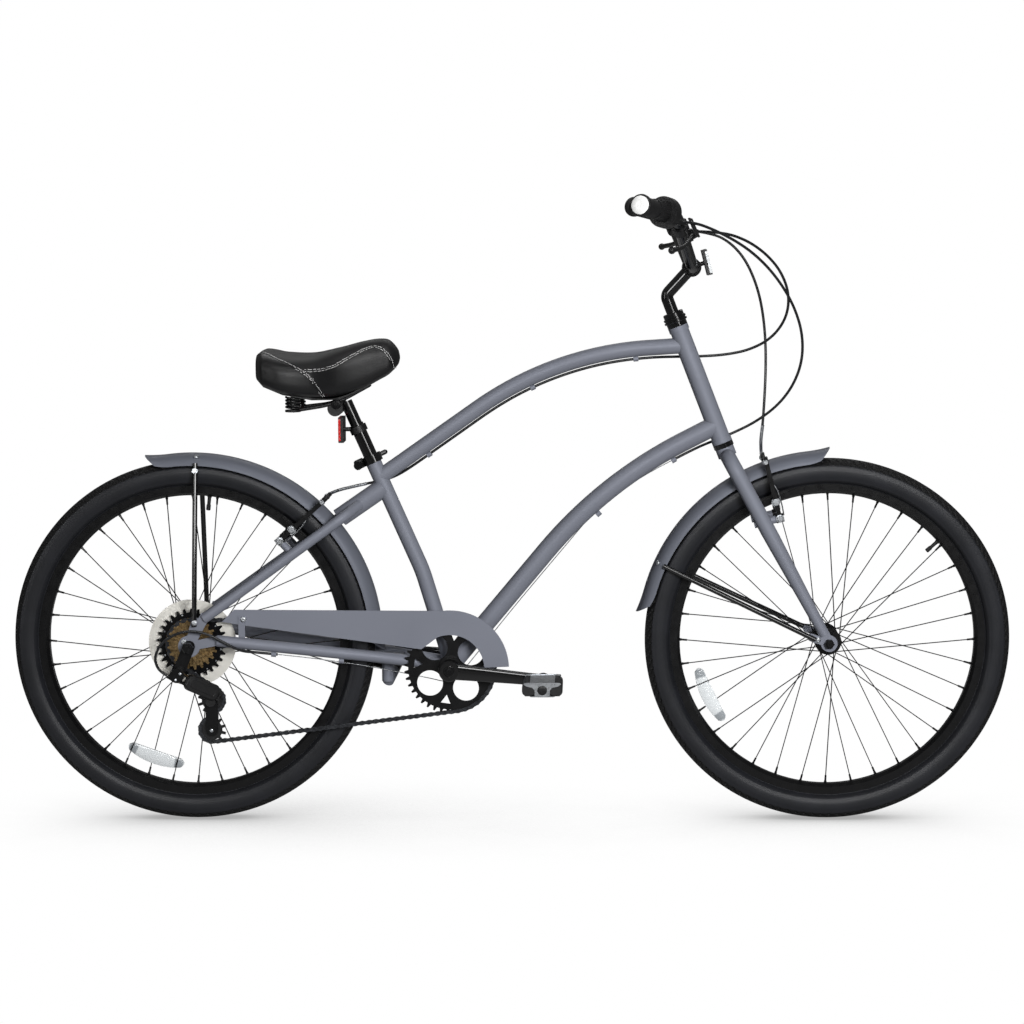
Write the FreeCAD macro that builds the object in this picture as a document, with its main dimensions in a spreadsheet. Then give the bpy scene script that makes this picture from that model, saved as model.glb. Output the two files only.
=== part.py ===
import FreeCAD, Part
import math
import os
import re
import Sketcher

# Beach cruiser bicycle in millimetres: +X forward, +Y to the rider's left, +Z up.
# The origin lies on the ground, midway between the two axles.

SIZES = {
    # Main geometry
    "wheelbase": 1158,
    "chain_stay_length": 474,
    "bracket_drop": 45,
    "head_angle": 69,
    "axle_to_race": 405,
    "fork_rake": 49,
    "head_tube_length": 226,
    "seat_lower_angle": 73.3,
    "seat_lower_length": 180,
    "seat_upper_angle": 66.3,
    "seat_upper_length": 232,
    # Shared fits
    "bearing_gap": 0.05,
    "fit_gap": 0.3,
    "cut_overrun": 2,
    # Tyres and rims
    "tyre_radius": 332,
    "tyre_width": 53,
    "tyre_bead_depth": 5.5,
    "rim_radius": 286,
    "rim_depth": 18,
    "rim_width": 27,
    "rim_wall": 2,
    "rim_well_depth": 9,
    "rim_bed_width": 13,
    # Hubs and spokes
    "spoke_count": 36,
    "spoke_radius": 1,
    "spoke_lean": 60,
    "spoke_rim_offset": 4,
    "spoke_hole_inset": 3,
    "flange_thickness": 3,
    "hub_shell_radius": 15,
    "hub_end_radius": 10,
    "axle_radius": 5,
    "axle_nut_radius": 9,
    "axle_nut_height": 9,
    "axle_tip": 5,
    "cone_radius": 8,
    "cone_length": 10,
    "rear_spacing": 142,
    "rear_flange_radius": 31,
    "rear_flange_left": 34,
    "rear_flange_right": 27,
    "front_spacing": 100,
    "front_flange_radius": 24,
    "front_flange_offset": 33,
    "guard_disc_radius": 80,
    "guard_disc_thickness": 1.5,
    # Freewheel and chain
    "freewheel_seat_radius": 14,
    "freewheel_radius": 22,
    "sprocket_pitch": 4.6,
    "sprocket_thickness": 1.9,
    "sprocket_teeth_1": 30,
    "sprocket_teeth_2": 22,
    "sprocket_teeth_3": 20,
    "sprocket_teeth_4": 18,
    "sprocket_teeth_5": 16,
    "sprocket_teeth_6": 14,
    "sprocket_teeth_7": 13,
    "tooth_height": 3.2,
    "tooth_seat_depth": 3.95,
    "tooth_seat_half": 2.6,
    "tooth_mouth_half": 5.9,
    "chain_pitch": 12.7,
    "chain_line": 45,
    "roller_radius": 3.7,
    "roller_width": 2.6,
    "link_plate": 0.9,
    "link_height": 7.6,
    "link_gap": 0.15,
    # Cranks, chainring and bottom bracket
    "chainring_teeth": 40,
    "chainring_thickness": 2.2,
    "chainring_bore": 12,
    "chainring_hole_radius": 23.5,
    "chainring_hole_place": 33,
    "chainring_window_inner": 50,
    "chainring_window_outer": 66,
    "chainring_window_half": 9,
    "crank_length": 170,
    "crank_angle": 5.6,
    "crank_inset": 76,
    "crank_thickness": 12,
    "crank_root_width": 30,
    "crank_tip_width": 22,
    "crank_boss_radius": 19,
    "crank_boss_depth": 14,
    "crank_eye_radius": 13,
    "spindle_radius": 8.5,
    "bracket_shell_radius": 20,
    "bracket_shell_length": 68,
    "bracket_bore": 17,
    "bracket_cup_depth": 12,
    "bracket_cup_rim": 4,
    "bracket_cup_flange": 19,
    # Pedals
    "pedal_axle_radius": 5,
    "pedal_axle_length": 98,
    "pedal_gap": 5,
    "pedal_width": 92,
    "pedal_length": 84,
    "pedal_height": 24,
    "pedal_rail": 13,
    "pedal_end": 8,
    "pedal_barrel_radius": 11,
    # Frame tubes
    "head_tube_radius": 17,
    "head_tube_bore": 15,
    "head_collar_lip": 1.5,
    "head_collar_height": 9,
    "top_tube_radius": 14.3,
    "top_tube_bend": 600,
    "top_tube_drop": 37,
    "top_tube_seat_drop": 43.5,
    "top_tube_head_angle": 3.5,
    "top_tube_seat_angle": 34.9,
    "down_tube_radius": 17.5,
    "down_tube_bend": 800,
    "down_tube_rise": 34,
    "down_tube_head_angle": 27,
    "down_tube_angle": 50,
    "seat_tube_radius": 14.3,
    "seat_tube_bend": 260,
    "wishbone_radius": 17.5,
    "wishbone_drop": 63,
    "wishbone_angle": 34.5,
    "wishbone_fender_gap": 6,
    "seat_stay_radius": 9.5,
    "seat_stay_start": 45,
    "seat_stay_shoulder": 44,
    "seat_stay_bend": 42,
    "seat_stay_spread": 46,
    "chain_stay_radius": 10.5,
    "chain_stay_bend": 380,
    "chain_stay_root": 20,
    "chain_stay_elbow_back": 155,
    "chain_stay_elbow_rise": 22,
    "chain_stay_elbow_spread": 42,
    "chain_stay_end_ahead": 50,
    "chain_stay_end_rise": 10,
    "dropout_thickness": 6,
    "dropout_radius": 20,
    "dropout_neck": 17,
    "seat_stay_end_ahead": 27,
    "seat_stay_end_rise": 50,
    "eyelet_ahead": 11,
    "eyelet_rise": 44,
    "eyelet_radius": 7,
    "cable_clip_radius": 5,
    "cable_clip_length": 9,
    "cable_clip_gap": 0.8,
    "cable_clip_lift": 0.2,
    "cable_clip_web": 3,
    # Headset, fork and stem
    "headset_cup_radius": 18.5,
    "upper_cup_height": 8,
    "lower_cup_height": 9,
    "steerer_radius": 12.7,
    "steerer_bore": 11.2,
    "steerer_bore_depth": 125,
    "steerer_top": 14,
    "locknut_radius": 16.5,
    "locknut_height": 18,
    "crown_drop": 17,
    "fork_leg_radius": 14,
    "fork_leg_tip_radius": 9.5,
    "fork_leg_spread": 49,
    "fork_leg_bend": 33,
    "fork_taper_share": 0.45,
    "fork_tip_rise": 18,
    "fork_plate": 6,
    "fork_plate_radius": 15,
    "fork_eyelet_back": 32,
    "fork_eyelet_rise": 11,
    "stem_radius": 11.1,
    "stem_quill": 105,
    "stem_rise": 60,
    "stem_bend": 14,
    "stem_reach": 46,
    "stem_lift": 50,
    "stem_clamp_radius": 17,
    "stem_clamp_width": 38,
    # Handlebar and controls
    "bar_radius": 11.1,
    "bar_centre_radius": 12.7,
    "bar_centre_half": 30,
    "bar_flat_half": 42,
    "bar_flat_bend": 55,
    "bar_knee_back": 34,
    "bar_knee_half": 178,
    "bar_knee_rise": 92,
    "bar_knee_bend": 60,
    "bar_end_back": 97,
    "bar_end_half": 312,
    "bar_end_rise": 110,
    "grip_radius": 16,
    "grip_length": 120,
    "plug_radius": 13.5,
    "plug_height": 5,
    "right_grip_length": 49,
    "twist_radius": 17.5,
    "twist_length": 41,
    "shifter_radius": 27,
    "shifter_length": 20,
    "lever_mount_back": 38,
    "lever_mount_radius": 15,
    "lever_mount_length": 18,
    "lever_pivot_reach": 29,
    "lever_pivot_drop": 40,
    "lever_pin_radius": 2.5,
    "lever_barrel_radius": 7,
    "lever_barrel_height": 10,
    "lever_ear": 3,
    "lever_tip_back": 45,
    "lever_tip_half": 288,
    "lever_tip_rise": 34,
    "lever_radius": 4.5,
    "lever_ball_radius": 6.3,
    "lever_bow": 8,
    "adjuster_radius": 4,
    "adjuster_length": 26,
    "shifter_spout_radius": 6,
    "shifter_spout_place": 20,
    "shifter_spout_length": 30,
    # Brakes
    "brake_post_radius": 4,
    "brake_boss_radius": 7,
    "brake_arm_length": 114,
    "brake_arm_width": 13,
    "brake_arm_thickness": 8,
    "brake_arm_spread": 43,
    "brake_eye_radius": 8,
    "brake_eye_length": 14,
    "brake_pad_gap": 2,
    "brake_pad_depth": 9,
    "brake_pad_length": 56,
    "brake_pad_height": 10,
    "brake_stud_radius": 3.5,
    "front_post_height": 244,
    "front_post_angle": 111.5,
    "front_post_offset": 40,
    "front_brake_tilt": 13.8,
    "rear_post_height": 250,
    "rear_post_angle": 49,
    "rear_post_offset": 27,
    "rear_brake_tilt": 132,
    # Fenders, stays and chain guard
    "fender_radius": 346,
    "fender_skirt": 22,
    "fender_half_width": 30,
    "fender_wall": 1.2,
    "rear_fender_sweep": 107,
    "rear_fender_tip": 104,
    "front_fender_sweep": 82,
    "front_fender_tip": 171.5,
    "fender_bracket_radius": 5,
    "fender_stay_radius": 4,
    "fender_stay_foot": 18,
    "fender_stay_bend": 30,
    "rear_stay_angle": 88,
    "front_stay_angle": 155,
    "chain_guard_outer": 107,
    "chain_guard_inner": 62,
    "chain_guard_side": 56,
    "chain_guard_thickness": 2,
    "chain_guard_back": 414,
    "chain_guard_tail": 22,
    "chain_guard_tail_rise": 109,
    "chain_guard_heel_rise": 87,
    "chain_guard_point_back": 52,
    "chain_guard_point_rise": 36,
    "chain_guard_foot_back": 371,
    "chain_guard_foot_rise": 80,
    "chain_guard_tab": 12,
    "chain_guard_tab_back": 378,
    "chain_guard_strap_back": 33,
    "chain_guard_strap_rise": 98,
    # Kickstand and quick release
    "kickstand_back": 108,
    "kickstand_drop": 15,
    "kickstand_side": 50,
    "kickstand_length": 300,
    "kickstand_radius": 8,
    "kickstand_eye_radius": 11,
    "kickstand_eye_length": 18,
    "kickstand_pin_radius": 5,
    "kickstand_plate": 6,
    "kickstand_plate_width": 40,
    "collar_radius": 18.5,
    "collar_height": 15,
    "collar_ear_back": 26,
    "collar_ear_width": 14,
    "collar_nut_radius": 8,
    "collar_nut_length": 14,
    "quick_pivot_side": 23,
    "quick_barrel_radius": 7,
    "quick_barrel_height": 11,
    "quick_pin_radius": 2.5,
    "quick_plate": 2.5,
    "quick_lever_length": 52,
    "quick_lever_radius": 4.5,
    # Derailleur
    "hanger_thickness": 3,
    "hanger_width": 22,
    "upper_knuckle_back": 21,
    "upper_knuckle_drop": 51,
    "upper_knuckle_radius": 13,
    "upper_knuckle_length": 15,
    "link_pivot_reach": 22,
    "link_angle": 30.3,
    "link_length": 60,
    "link_swing": 27,
    "link_thickness": 10,
    "link_eye_radius": 6,
    "link_eye_height": 11,
    "link_pin_radius": 2,
    "link_ear": 3,
    "lower_knuckle_radius": 9,
    "lower_knuckle_length": 14,
    "lower_knuckle_drop": 17.6,
    "pulley_teeth": 11,
    "pulley_thickness": 2,
    "pulley_bolt_radius": 3,
    "cage_length": 55,
    "cage_angle": 266,
    "cage_half_gap": 5.2,
    "cage_plate": 1.5,
    "cage_width": 22,
    "cage_pivot_radius": 4,
    "cage_pivot_length": 9,
    # Seat post and saddle
    "post_radius": 12.7,
    "post_insert": 100,
    "post_spare": 40,
    "post_rise": 62,
    "post_neck_radius": 11,
    "post_neck_rise": 107,
    "post_lug_rise": 104,
    "post_lug_back": 21,
    "post_lug_radius": 9,
    "post_lug_width": 24,
    "post_web_width": 18,
    "post_web_height": 14.4,
    "saddle_pin_radius": 4,
    "saddle_cheek_radius": 14,
    "saddle_cheek_width": 12,
    "rail_radius": 3.5,
    "rail_front_ahead": 62,
    "rail_front_rise": 31,
    "rail_back": 74,
    "rail_back_rise": 0,
    "rail_rise": 8,
    "saddle_length": 258,
    "saddle_width": 214,
    "saddle_height": 102,
    "saddle_tail_back": 141,
    "saddle_base_rise": 20,
    "saddle_pan": 5,
    "spring_radius": 12,
    "spring_wire_radius": 2,
    "spring_turns": 3.5,
    "spring_spread": 46,
    "spring_seat": 4,
    "reflector_width": 52,
    "reflector_height": 46,
    "reflector_depth": 9,
    "rear_reflector_rise": 52,
    "rear_reflector_back": 30,
    "reflector_arm_radius": 4,
    "reflector_band_radius": 16,
    "reflector_band_height": 12,
    "front_reflector_ahead": 27,
    "front_reflector_tilt": 14,
    "front_reflector_rise": 9,
    # Cables
    "cable_radius": 2.5,
    "wire_radius": 0.8,
    "wire_long_bend": 80,
    "wire_guide_bend": 24,
}

FORWARD = FreeCAD.Vector(1, 0, 0)
LEFT = FreeCAD.Vector(0, 1, 0)
UP = FreeCAD.Vector(0, 0, 1)

doc = FreeCAD.newDocument("Cruiser")
sheet = doc.addObject("Spreadsheet::Sheet", "Sizes")
for row, (alias, number) in enumerate(SIZES.items(), 1):
    sheet.set("A%d" % row, alias)
    sheet.set("B%d" % row, str(number))
    sheet.setAlias("B%d" % row, alias)
doc.recompute()


class Sizes:
    """Reads a driving dimension from the sheet by its name."""

    def __getattr__(self, alias):
        return float(sheet.get(alias))


S = Sizes()
NODES = {}


def vec(x, y, z):
    return FreeCAD.Vector(x, y, z)


def ray(degrees):
    """Unit direction in the wheel plane, counted from forward towards up."""
    turn = math.radians(degrees)
    return vec(math.cos(turn), 0, math.sin(turn))


def unit(direction):
    return FreeCAD.Vector(direction).normalize()


def bind(text):
    """Puts the sheet's name before each size in an expression."""
    return re.sub(r"[a-z_]\w*", lambda word: "Sizes." + word[0] if word[0] in SIZES else word[0], text)


def value(text):
    """The number that an expression of sizes gives."""
    result = sheet.evalExpression(bind(text))
    return float(getattr(result, "Value", result))


def place(origin, along, across=None):
    """Placement whose Z axis lies along one direction and whose X axis leans to another."""
    along = unit(along)
    if across is None:
        across = FORWARD if abs(along.dot(LEFT)) > abs(along.dot(FORWARD)) else LEFT
    return FreeCAD.Placement(origin, FreeCAD.Rotation(across, FreeCAD.Vector(), along, "ZXY"))


def node(label, piece):
    """Names a finished sub-part after its file."""
    piece.Label = label
    NODES[label] = piece
    return piece


def primitive(kind, where, **sizes):
    piece = doc.addObject("Part::" + kind, kind.lower())
    for name, text in sizes.items():
        piece.setExpression(name, bind(text))
    piece.Placement = where
    return piece


def rod(radius, length, origin, along):
    """Round bar whose axis starts at the origin."""
    return primitive("Cylinder", place(origin, along), Radius=radius, Height=length)


def rod_about(radius, length, middle, along):
    """Round bar whose axis is centred on a point."""
    return rod(radius, length, middle - unit(along) * (value(length) / 2), along)


def block(sizes, middle, along=UP, across=FORWARD):
    """Box of three sizes centred on a point: across, sideways, along."""
    length, width, height = sizes
    where = place(middle, along, across)
    corner = vec(value(length), value(width), value(height)) * -0.5
    where.Base = middle + where.Rotation.multVec(corner)
    return primitive("Box", where, Length=length, Width=width, Height=height)


def solid(shape):
    piece = doc.addObject("Part::Feature", "form")
    piece.Shape = shape
    return piece


def fused(*pieces):
    piece = doc.addObject("Part::MultiFuse", "joined")
    piece.Shapes = list(pieces)
    return piece


def cut(base, *tools):
    piece = doc.addObject("Part::Cut", "trimmed")
    piece.Base = base
    piece.Tool = tools[0] if len(tools) == 1 else fused(*tools)
    return piece


def grouped(*pieces):
    piece = doc.addObject("Part::Compound", "group")
    piece.Links = list(pieces)
    return piece


def sketch(piece, role):
    plane = [feature for feature in piece.Origin.OriginFeatures if feature.Role == role][0]
    outline = piece.newObject("Sketcher::SketchObject", "outline")
    outline.AttachmentSupport = (plane, [""])
    outline.MapMode = "FlatFace"
    return outline


def pin_point(outline, shape, spot, x, y):
    """Ties a sketch point to two expressions."""
    for kind, text, axis in (("DistanceX", x, -2), ("DistanceY", y, -1)):
        if text == "0":
            outline.addConstraint(Sketcher.Constraint("PointOnObject", shape, spot, axis))
            continue
        index = outline.addConstraint(Sketcher.Constraint(kind, -1, 1, shape, spot, value(text)))
        outline.setExpression("Constraints[%d]" % index, bind(text))


def polygon(outline, rows):
    corners = [vec(value(x), value(y), 0) for x, y in rows]
    count = len(rows)
    for index in range(count):
        outline.addGeometry(Part.LineSegment(corners[index], corners[(index + 1) % count]))
    for index in range(count):
        joint = Sketcher.Constraint("Coincident", index, 2, (index + 1) % count, 1)
        outline.addConstraint(joint)
    for index, (x, y) in enumerate(rows):
        pin_point(outline, index, 1, x, y)


def circle(outline, x, y, radius):
    ring = Part.Circle(vec(value(x), value(y), 0), UP, value(radius))
    shape = outline.addGeometry(ring)
    pin_point(outline, shape, 3, x, y)
    index = outline.addConstraint(Sketcher.Constraint("Radius", shape, value(radius)))
    outline.setExpression("Constraints[%d]" % index, bind(radius))


def turned(rows, origin, axis=LEFT, sweep="360", tip=0):
    """Turned piece: rows give radius and place along the axis."""
    piece = doc.addObject("PartDesign::Body", "turned")
    outline = sketch(piece, "XY_Plane")
    polygon(outline, rows)
    spin = piece.newObject("PartDesign::Revolution", "spin")
    spin.Profile = outline
    spin.ReferenceAxis = (outline, ["V_Axis"])
    spin.setExpression("Angle", bind(sweep))
    turn = FreeCAD.Rotation(LEFT, axis).multiply(FreeCAD.Rotation(LEFT, -tip))
    piece.Placement = FreeCAD.Placement(origin, turn)
    return piece


def plate(rows, thickness, origin, tip=0):
    """Flat piece in the wheel plane, as thick to each side of the origin."""
    piece = doc.addObject("PartDesign::Body", "plate")
    outline = sketch(piece, "XZ_Plane")
    polygon(outline, rows)
    pad = piece.newObject("PartDesign::Pad", "pad")
    pad.Profile = outline
    pad.setExpression("Length", bind(thickness))
    pad.Midplane = True
    piece.Placement = FreeCAD.Placement(origin, FreeCAD.Rotation(LEFT, -tip))
    return piece


def pitch_radius(teeth):
    """Expression for the circle on which chain pins ride."""
    return "(chain_pitch / (2 * sin(180 deg / %s)))" % teeth


def pocket_round(piece, draw, count):
    """Cuts one opening through a plate and repeats it round the centre."""
    outline = sketch(piece, "XZ_Plane")
    draw(outline)
    pocket = piece.newObject("PartDesign::Pocket", "opening")
    pocket.Profile = outline
    pocket.Type = "ThroughAll"
    pocket.Midplane = True
    repeat = piece.newObject("PartDesign::PolarPattern", "repeat")
    repeat.Originals = [pocket]
    repeat.Axis = (outline, ["N_Axis"])
    repeat.Angle = 360
    repeat.setExpression("Occurrences", bind(count))
    piece.Tip = repeat


def toothed(teeth, thickness, bore, origin, gap_angle):
    """Chain wheel with straight-sided tooth gaps, one of them at the given angle."""
    piece = doc.addObject("PartDesign::Body", "chain_wheel")
    outline = sketch(piece, "XZ_Plane")
    circle(outline, "0", "0", pitch_radius(teeth) + " + tooth_height")
    circle(outline, "0", "0", bore)
    pad = piece.newObject("PartDesign::Pad", "blank")
    pad.Profile = outline
    pad.setExpression("Length", bind(thickness))
    pad.Midplane = True
    seat = pitch_radius(teeth) + " - tooth_seat_depth"
    mouth = pitch_radius(teeth) + " + tooth_height + cut_overrun"
    gap = [(seat, "-tooth_seat_half"), (mouth, "-tooth_mouth_half"),
           (mouth, "tooth_mouth_half"), (seat, "tooth_seat_half")]
    pocket_round(piece, lambda outline: polygon(outline, gap), teeth)
    piece.Placement = FreeCAD.Placement(origin, FreeCAD.Rotation(LEFT, -gap_angle))
    return piece


def route(points, bends=None):
    """Wire of straight runs joined by tangent arcs, as large as the runs allow or as given."""
    edges = []
    start = points[0]
    for index in range(1, len(points) - 1):
        corner = points[index]
        back = points[index - 1] - corner
        ahead = points[index + 1] - corner
        half = (math.pi - back.getAngle(ahead)) / 2
        shorter = min(back.Length, ahead.Length)
        bend = bends[index - 1] if bends else ROUTE_BEND_SHARE * shorter / math.tan(half)
        reach = bend * math.tan(half)
        entry = corner + unit(back) * reach
        leave = corner + unit(ahead) * reach
        middle = corner + unit(unit(back) + unit(ahead)) * (bend / math.cos(half) - bend)
        edges.append(Part.LineSegment(start, entry).toShape())
        edges.append(Part.Arc(entry, middle, leave).toShape())
        start = leave
    edges.append(Part.LineSegment(start, points[-1]).toShape())
    return Part.Wire(edges)


ROUTE_BEND_SHARE = 0.45


def tube(points, radius, bends=None):
    """Round bar along a route; its volume is compared with section times length."""
    path = route(points, bends)
    ring = Part.Wire(Part.makeCircle(radius, points[0], points[1] - points[0]))
    shape = path.makePipeShell([ring], True, False)
    expected = math.pi * radius ** 2 * path.Length
    if abs(shape.Volume / expected - 1) > TUBE_VOLUME_SHARE:
        raise ValueError("a tube's volume is off: %.0f for %.0f" % (shape.Volume, expected))
    return shape


TUBE_VOLUME_SHARE = 0.02


def prism(start, end, radius, sides=6):
    """Slender bar with flat sides between two points."""
    where = place(start, end - start)
    steps = [math.radians(360 * step / sides) for step in range(sides + 1)]
    corners = [where.multVec(vec(radius * math.cos(a), radius * math.sin(a), 0)) for a in steps]
    return Part.Face(Part.makePolygon(corners)).extrude(end - start)


def bar(radius, start, end):
    """Cylinder between two points."""
    return Part.makeCylinder(radius, (end - start).Length, start, end - start)


# Main points of the layout

rear = vec(-S.wheelbase / 2, 0, S.tyre_radius)
front = vec(S.wheelbase / 2, 0, S.tyre_radius)
bracket_run = math.sqrt(S.chain_stay_length ** 2 - S.bracket_drop ** 2)
bracket = rear + FORWARD * bracket_run - UP * S.bracket_drop
head_down = ray(-S.head_angle)
head_ahead = ray(90 - S.head_angle)
race = front - head_down * S.axle_to_race - head_ahead * S.fork_rake
head_top = race - head_down * S.head_tube_length
seat_lower = ray(180 - S.seat_lower_angle)
seat_upper = ray(180 - S.seat_upper_angle)
seat_knee = bracket + seat_lower * S.seat_lower_length
seat_top = seat_knee + seat_upper * S.seat_upper_length
DROPOUT_SIDE = S.rear_spacing / 2 + S.dropout_thickness / 2
FORK_SIDE = S.front_spacing / 2 + S.fork_plate / 2


def meet(point, direction, other, heading):
    """Where two lines of the frame's middle plane cross."""
    gap = other - point
    spread = direction.x * heading.z - direction.z * heading.x
    run = (gap.x * heading.z - gap.z * heading.x) / spread
    return point + direction * run


# Wheels

TYRE_SHARES = ((0.03, 0.6), (0.28, 0.95), (0.5, 1), (0.75, 0.87), (0.93, 0.5))
RIM_SHOULDER_SHARE = 0.72


def tyre(centre):
    bead = "rim_width / 2 - rim_wall - fit_gap"
    side = [("rim_radius - tyre_bead_depth", bead), ("rim_radius + fit_gap", bead)]
    for height_share, width_share in TYRE_SHARES:
        height = "rim_radius + fit_gap + (tyre_radius - rim_radius - fit_gap) * %s" % height_share
        side.append((height, "tyre_width / 2 * %s" % width_share))
    far = [(radius, "-(%s)" % along) for radius, along in side]
    return turned(side + [("tyre_radius", "0")] + far[::-1], centre)


def rim(centre):
    shoulder = "rim_radius - rim_depth * %s" % RIM_SHOULDER_SHARE
    side = [("rim_radius - rim_depth", "rim_bed_width / 2"), (shoulder, "rim_width / 2"),
            ("rim_radius", "rim_width / 2"), ("rim_radius", "rim_width / 2 - rim_wall"),
            ("rim_radius - rim_well_depth", "rim_width / 2 - rim_wall"),
            ("rim_radius - rim_well_depth - rim_wall", "rim_bed_width / 2")]
    far = [(radius, "-(%s)" % along) for radius, along in side]
    return turned(side + far[::-1], centre)


def spokes(centre, hole_radius, left, right):
    """Crossed spokes that lie beside the flanges and end at the rim's bed."""
    count = int(S.spoke_count)
    beside = S.flange_thickness / 2 + S.spoke_radius + S.bearing_gap
    shapes = []
    for index in range(count):
        side = 1 if index % 2 else -1
        lean = 1 if index // 2 % 2 else -1
        flange = (left if side > 0 else right) * side
        turn = 360 * index / count
        foot = centre + ray(turn + lean * S.spoke_lean) * hole_radius
        foot = foot + LEFT * (flange + lean * beside)
        head = centre + ray(turn) * (S.rim_radius - S.rim_depth - S.fit_gap)
        shapes.append(prism(foot, head + LEFT * (side * S.spoke_rim_offset), S.spoke_radius))
    return solid(Part.makeCompound(shapes))


def hub_rows(flange, left, right, left_end, right_end, right_radius):
    """Hub shell between its two ends, as expressions."""
    half = "flange_thickness / 2"
    bore = "axle_radius + bearing_gap"
    return [(bore, left_end), ("hub_end_radius", left_end), ("hub_end_radius", "%s + %s" % (left, half)),
            (flange, "%s + %s" % (left, half)), (flange, "%s - %s" % (left, half)),
            ("hub_shell_radius", "%s - %s" % (left, half)),
            ("hub_shell_radius", "-(%s - %s)" % (right, half)),
            (flange, "-(%s - %s)" % (right, half)), (flange, "-(%s + %s)" % (right, half)),
            (right_radius, "-(%s + %s)" % (right, half)), (right_radius, "-(%s)" % right_end),
            (bore, "-(%s)" % right_end)]


def axle(centre, spacing, plate_size, extra):
    """Axle with cones inside the dropouts and nuts outside them."""
    half = "%s / 2" % spacing
    outside = "%s + %s + %s" % (half, plate_size, extra)
    reach = "2 * (%s + axle_nut_height + axle_tip)" % outside
    pieces = [rod_about("axle_radius", reach, centre, LEFT)]
    for side in (1, -1):
        way = LEFT * side
        seat = centre + way * value(outside if side < 0 else "%s + %s" % (half, plate_size))
        nut = primitive("Prism", place(seat, way), Circumradius="axle_nut_radius", Height="axle_nut_height")
        nut.Polygon = 6
        pieces.append(nut)
    return pieces


freewheel_end = "chain_line + 5 * sprocket_pitch + sprocket_thickness / 2"
rear_hub_left = "rear_spacing / 2 - cone_length - fit_gap"
node("rear_tyre", tyre(rear))
node("front_tyre", tyre(front))
node("rear_rim", rim(rear))
node("front_rim", rim(front))

rear_rows = hub_rows("rear_flange_radius", "rear_flange_left", "rear_flange_right", rear_hub_left,
                     freewheel_end, "freewheel_seat_radius")
rear_spokes = spokes(rear, S.rear_flange_radius - S.spoke_hole_inset, S.rear_flange_left, S.rear_flange_right)
node("rear_hub", grouped(turned(rear_rows, rear), rear_spokes))

front_end = "front_spacing / 2 - cone_length / 2 - fit_gap"
front_rows = hub_rows("front_flange_radius", "front_flange_offset", "front_flange_offset", front_end,
                      front_end, "hub_end_radius")
front_spokes = spokes(front, S.front_flange_radius - S.spoke_hole_inset, S.front_flange_offset,
                      S.front_flange_offset)
node("front_hub", grouped(turned(front_rows, front), front_spokes))

rear_axle = axle(rear, "rear_spacing", "dropout_thickness", "hanger_thickness")
rear_axle.append(rod("cone_radius", "cone_length", rear + LEFT * (S.rear_spacing / 2), -LEFT))
cone_start = value(freewheel_end) + S.fit_gap
right_cone = "rear_spacing / 2 - (%s + fit_gap)" % freewheel_end
rear_axle.append(rod("cone_radius", right_cone, rear - LEFT * cone_start, -LEFT))
node("rear_axle", fused(*rear_axle))

front_axle = axle(front, "front_spacing", "fork_plate", "0")
for side in (1, -1):
    face = front + LEFT * (side * S.front_spacing / 2)
    front_axle.append(rod("cone_radius", "cone_length / 2", face, LEFT * -side))
node("front_axle", fused(*front_axle))

disc_side = "(rear_flange_right + flange_thickness + 2 * spoke_radius + guard_disc_thickness)"
disc_rows = [("freewheel_seat_radius", "-guard_disc_thickness / 2"),
             ("guard_disc_radius", "-guard_disc_thickness / 2"),
             ("guard_disc_radius", "guard_disc_thickness / 2"),
             ("freewheel_seat_radius", "guard_disc_thickness / 2")]
node("spoke_protector", turned(disc_rows, rear - LEFT * value(disc_side)))

# Chain loop: sprocket, chainring, tension pulley and guide pulley joined by tangents

upper_knuckle = rear - FORWARD * S.upper_knuckle_back - UP * S.upper_knuckle_drop
link_way = ray(-S.link_angle)
link_rise = ray(90 - S.link_angle)
link_swing = math.radians(S.link_swing)
KNUCKLE_SIDE = -(S.rear_spacing / 2 + S.dropout_thickness + S.hanger_thickness + S.upper_knuckle_length / 2)
upper_pivot = upper_knuckle + link_way * S.link_pivot_reach + LEFT * KNUCKLE_SIDE
link_run = link_way * math.cos(link_swing) + LEFT * math.sin(link_swing)
lower_pivot = upper_pivot + link_run * S.link_length
guide = lower_pivot - link_rise * S.lower_knuckle_drop
guide = vec(guide.x, -S.chain_line, guide.z)
drive = bracket - LEFT * S.chain_line
cog = rear - LEFT * S.chain_line

DRIVE_TEETH = int(S.chainring_teeth)
COG_TEETH = int(S.sprocket_teeth_2)
PULLEY_TEETH = int(S.pulley_teeth)


def pin_circle(teeth):
    return S.chain_pitch / (2 * math.sin(math.pi / teeth))


def tension_pulley(angle):
    return guide + ray(angle) * S.cage_length


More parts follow.
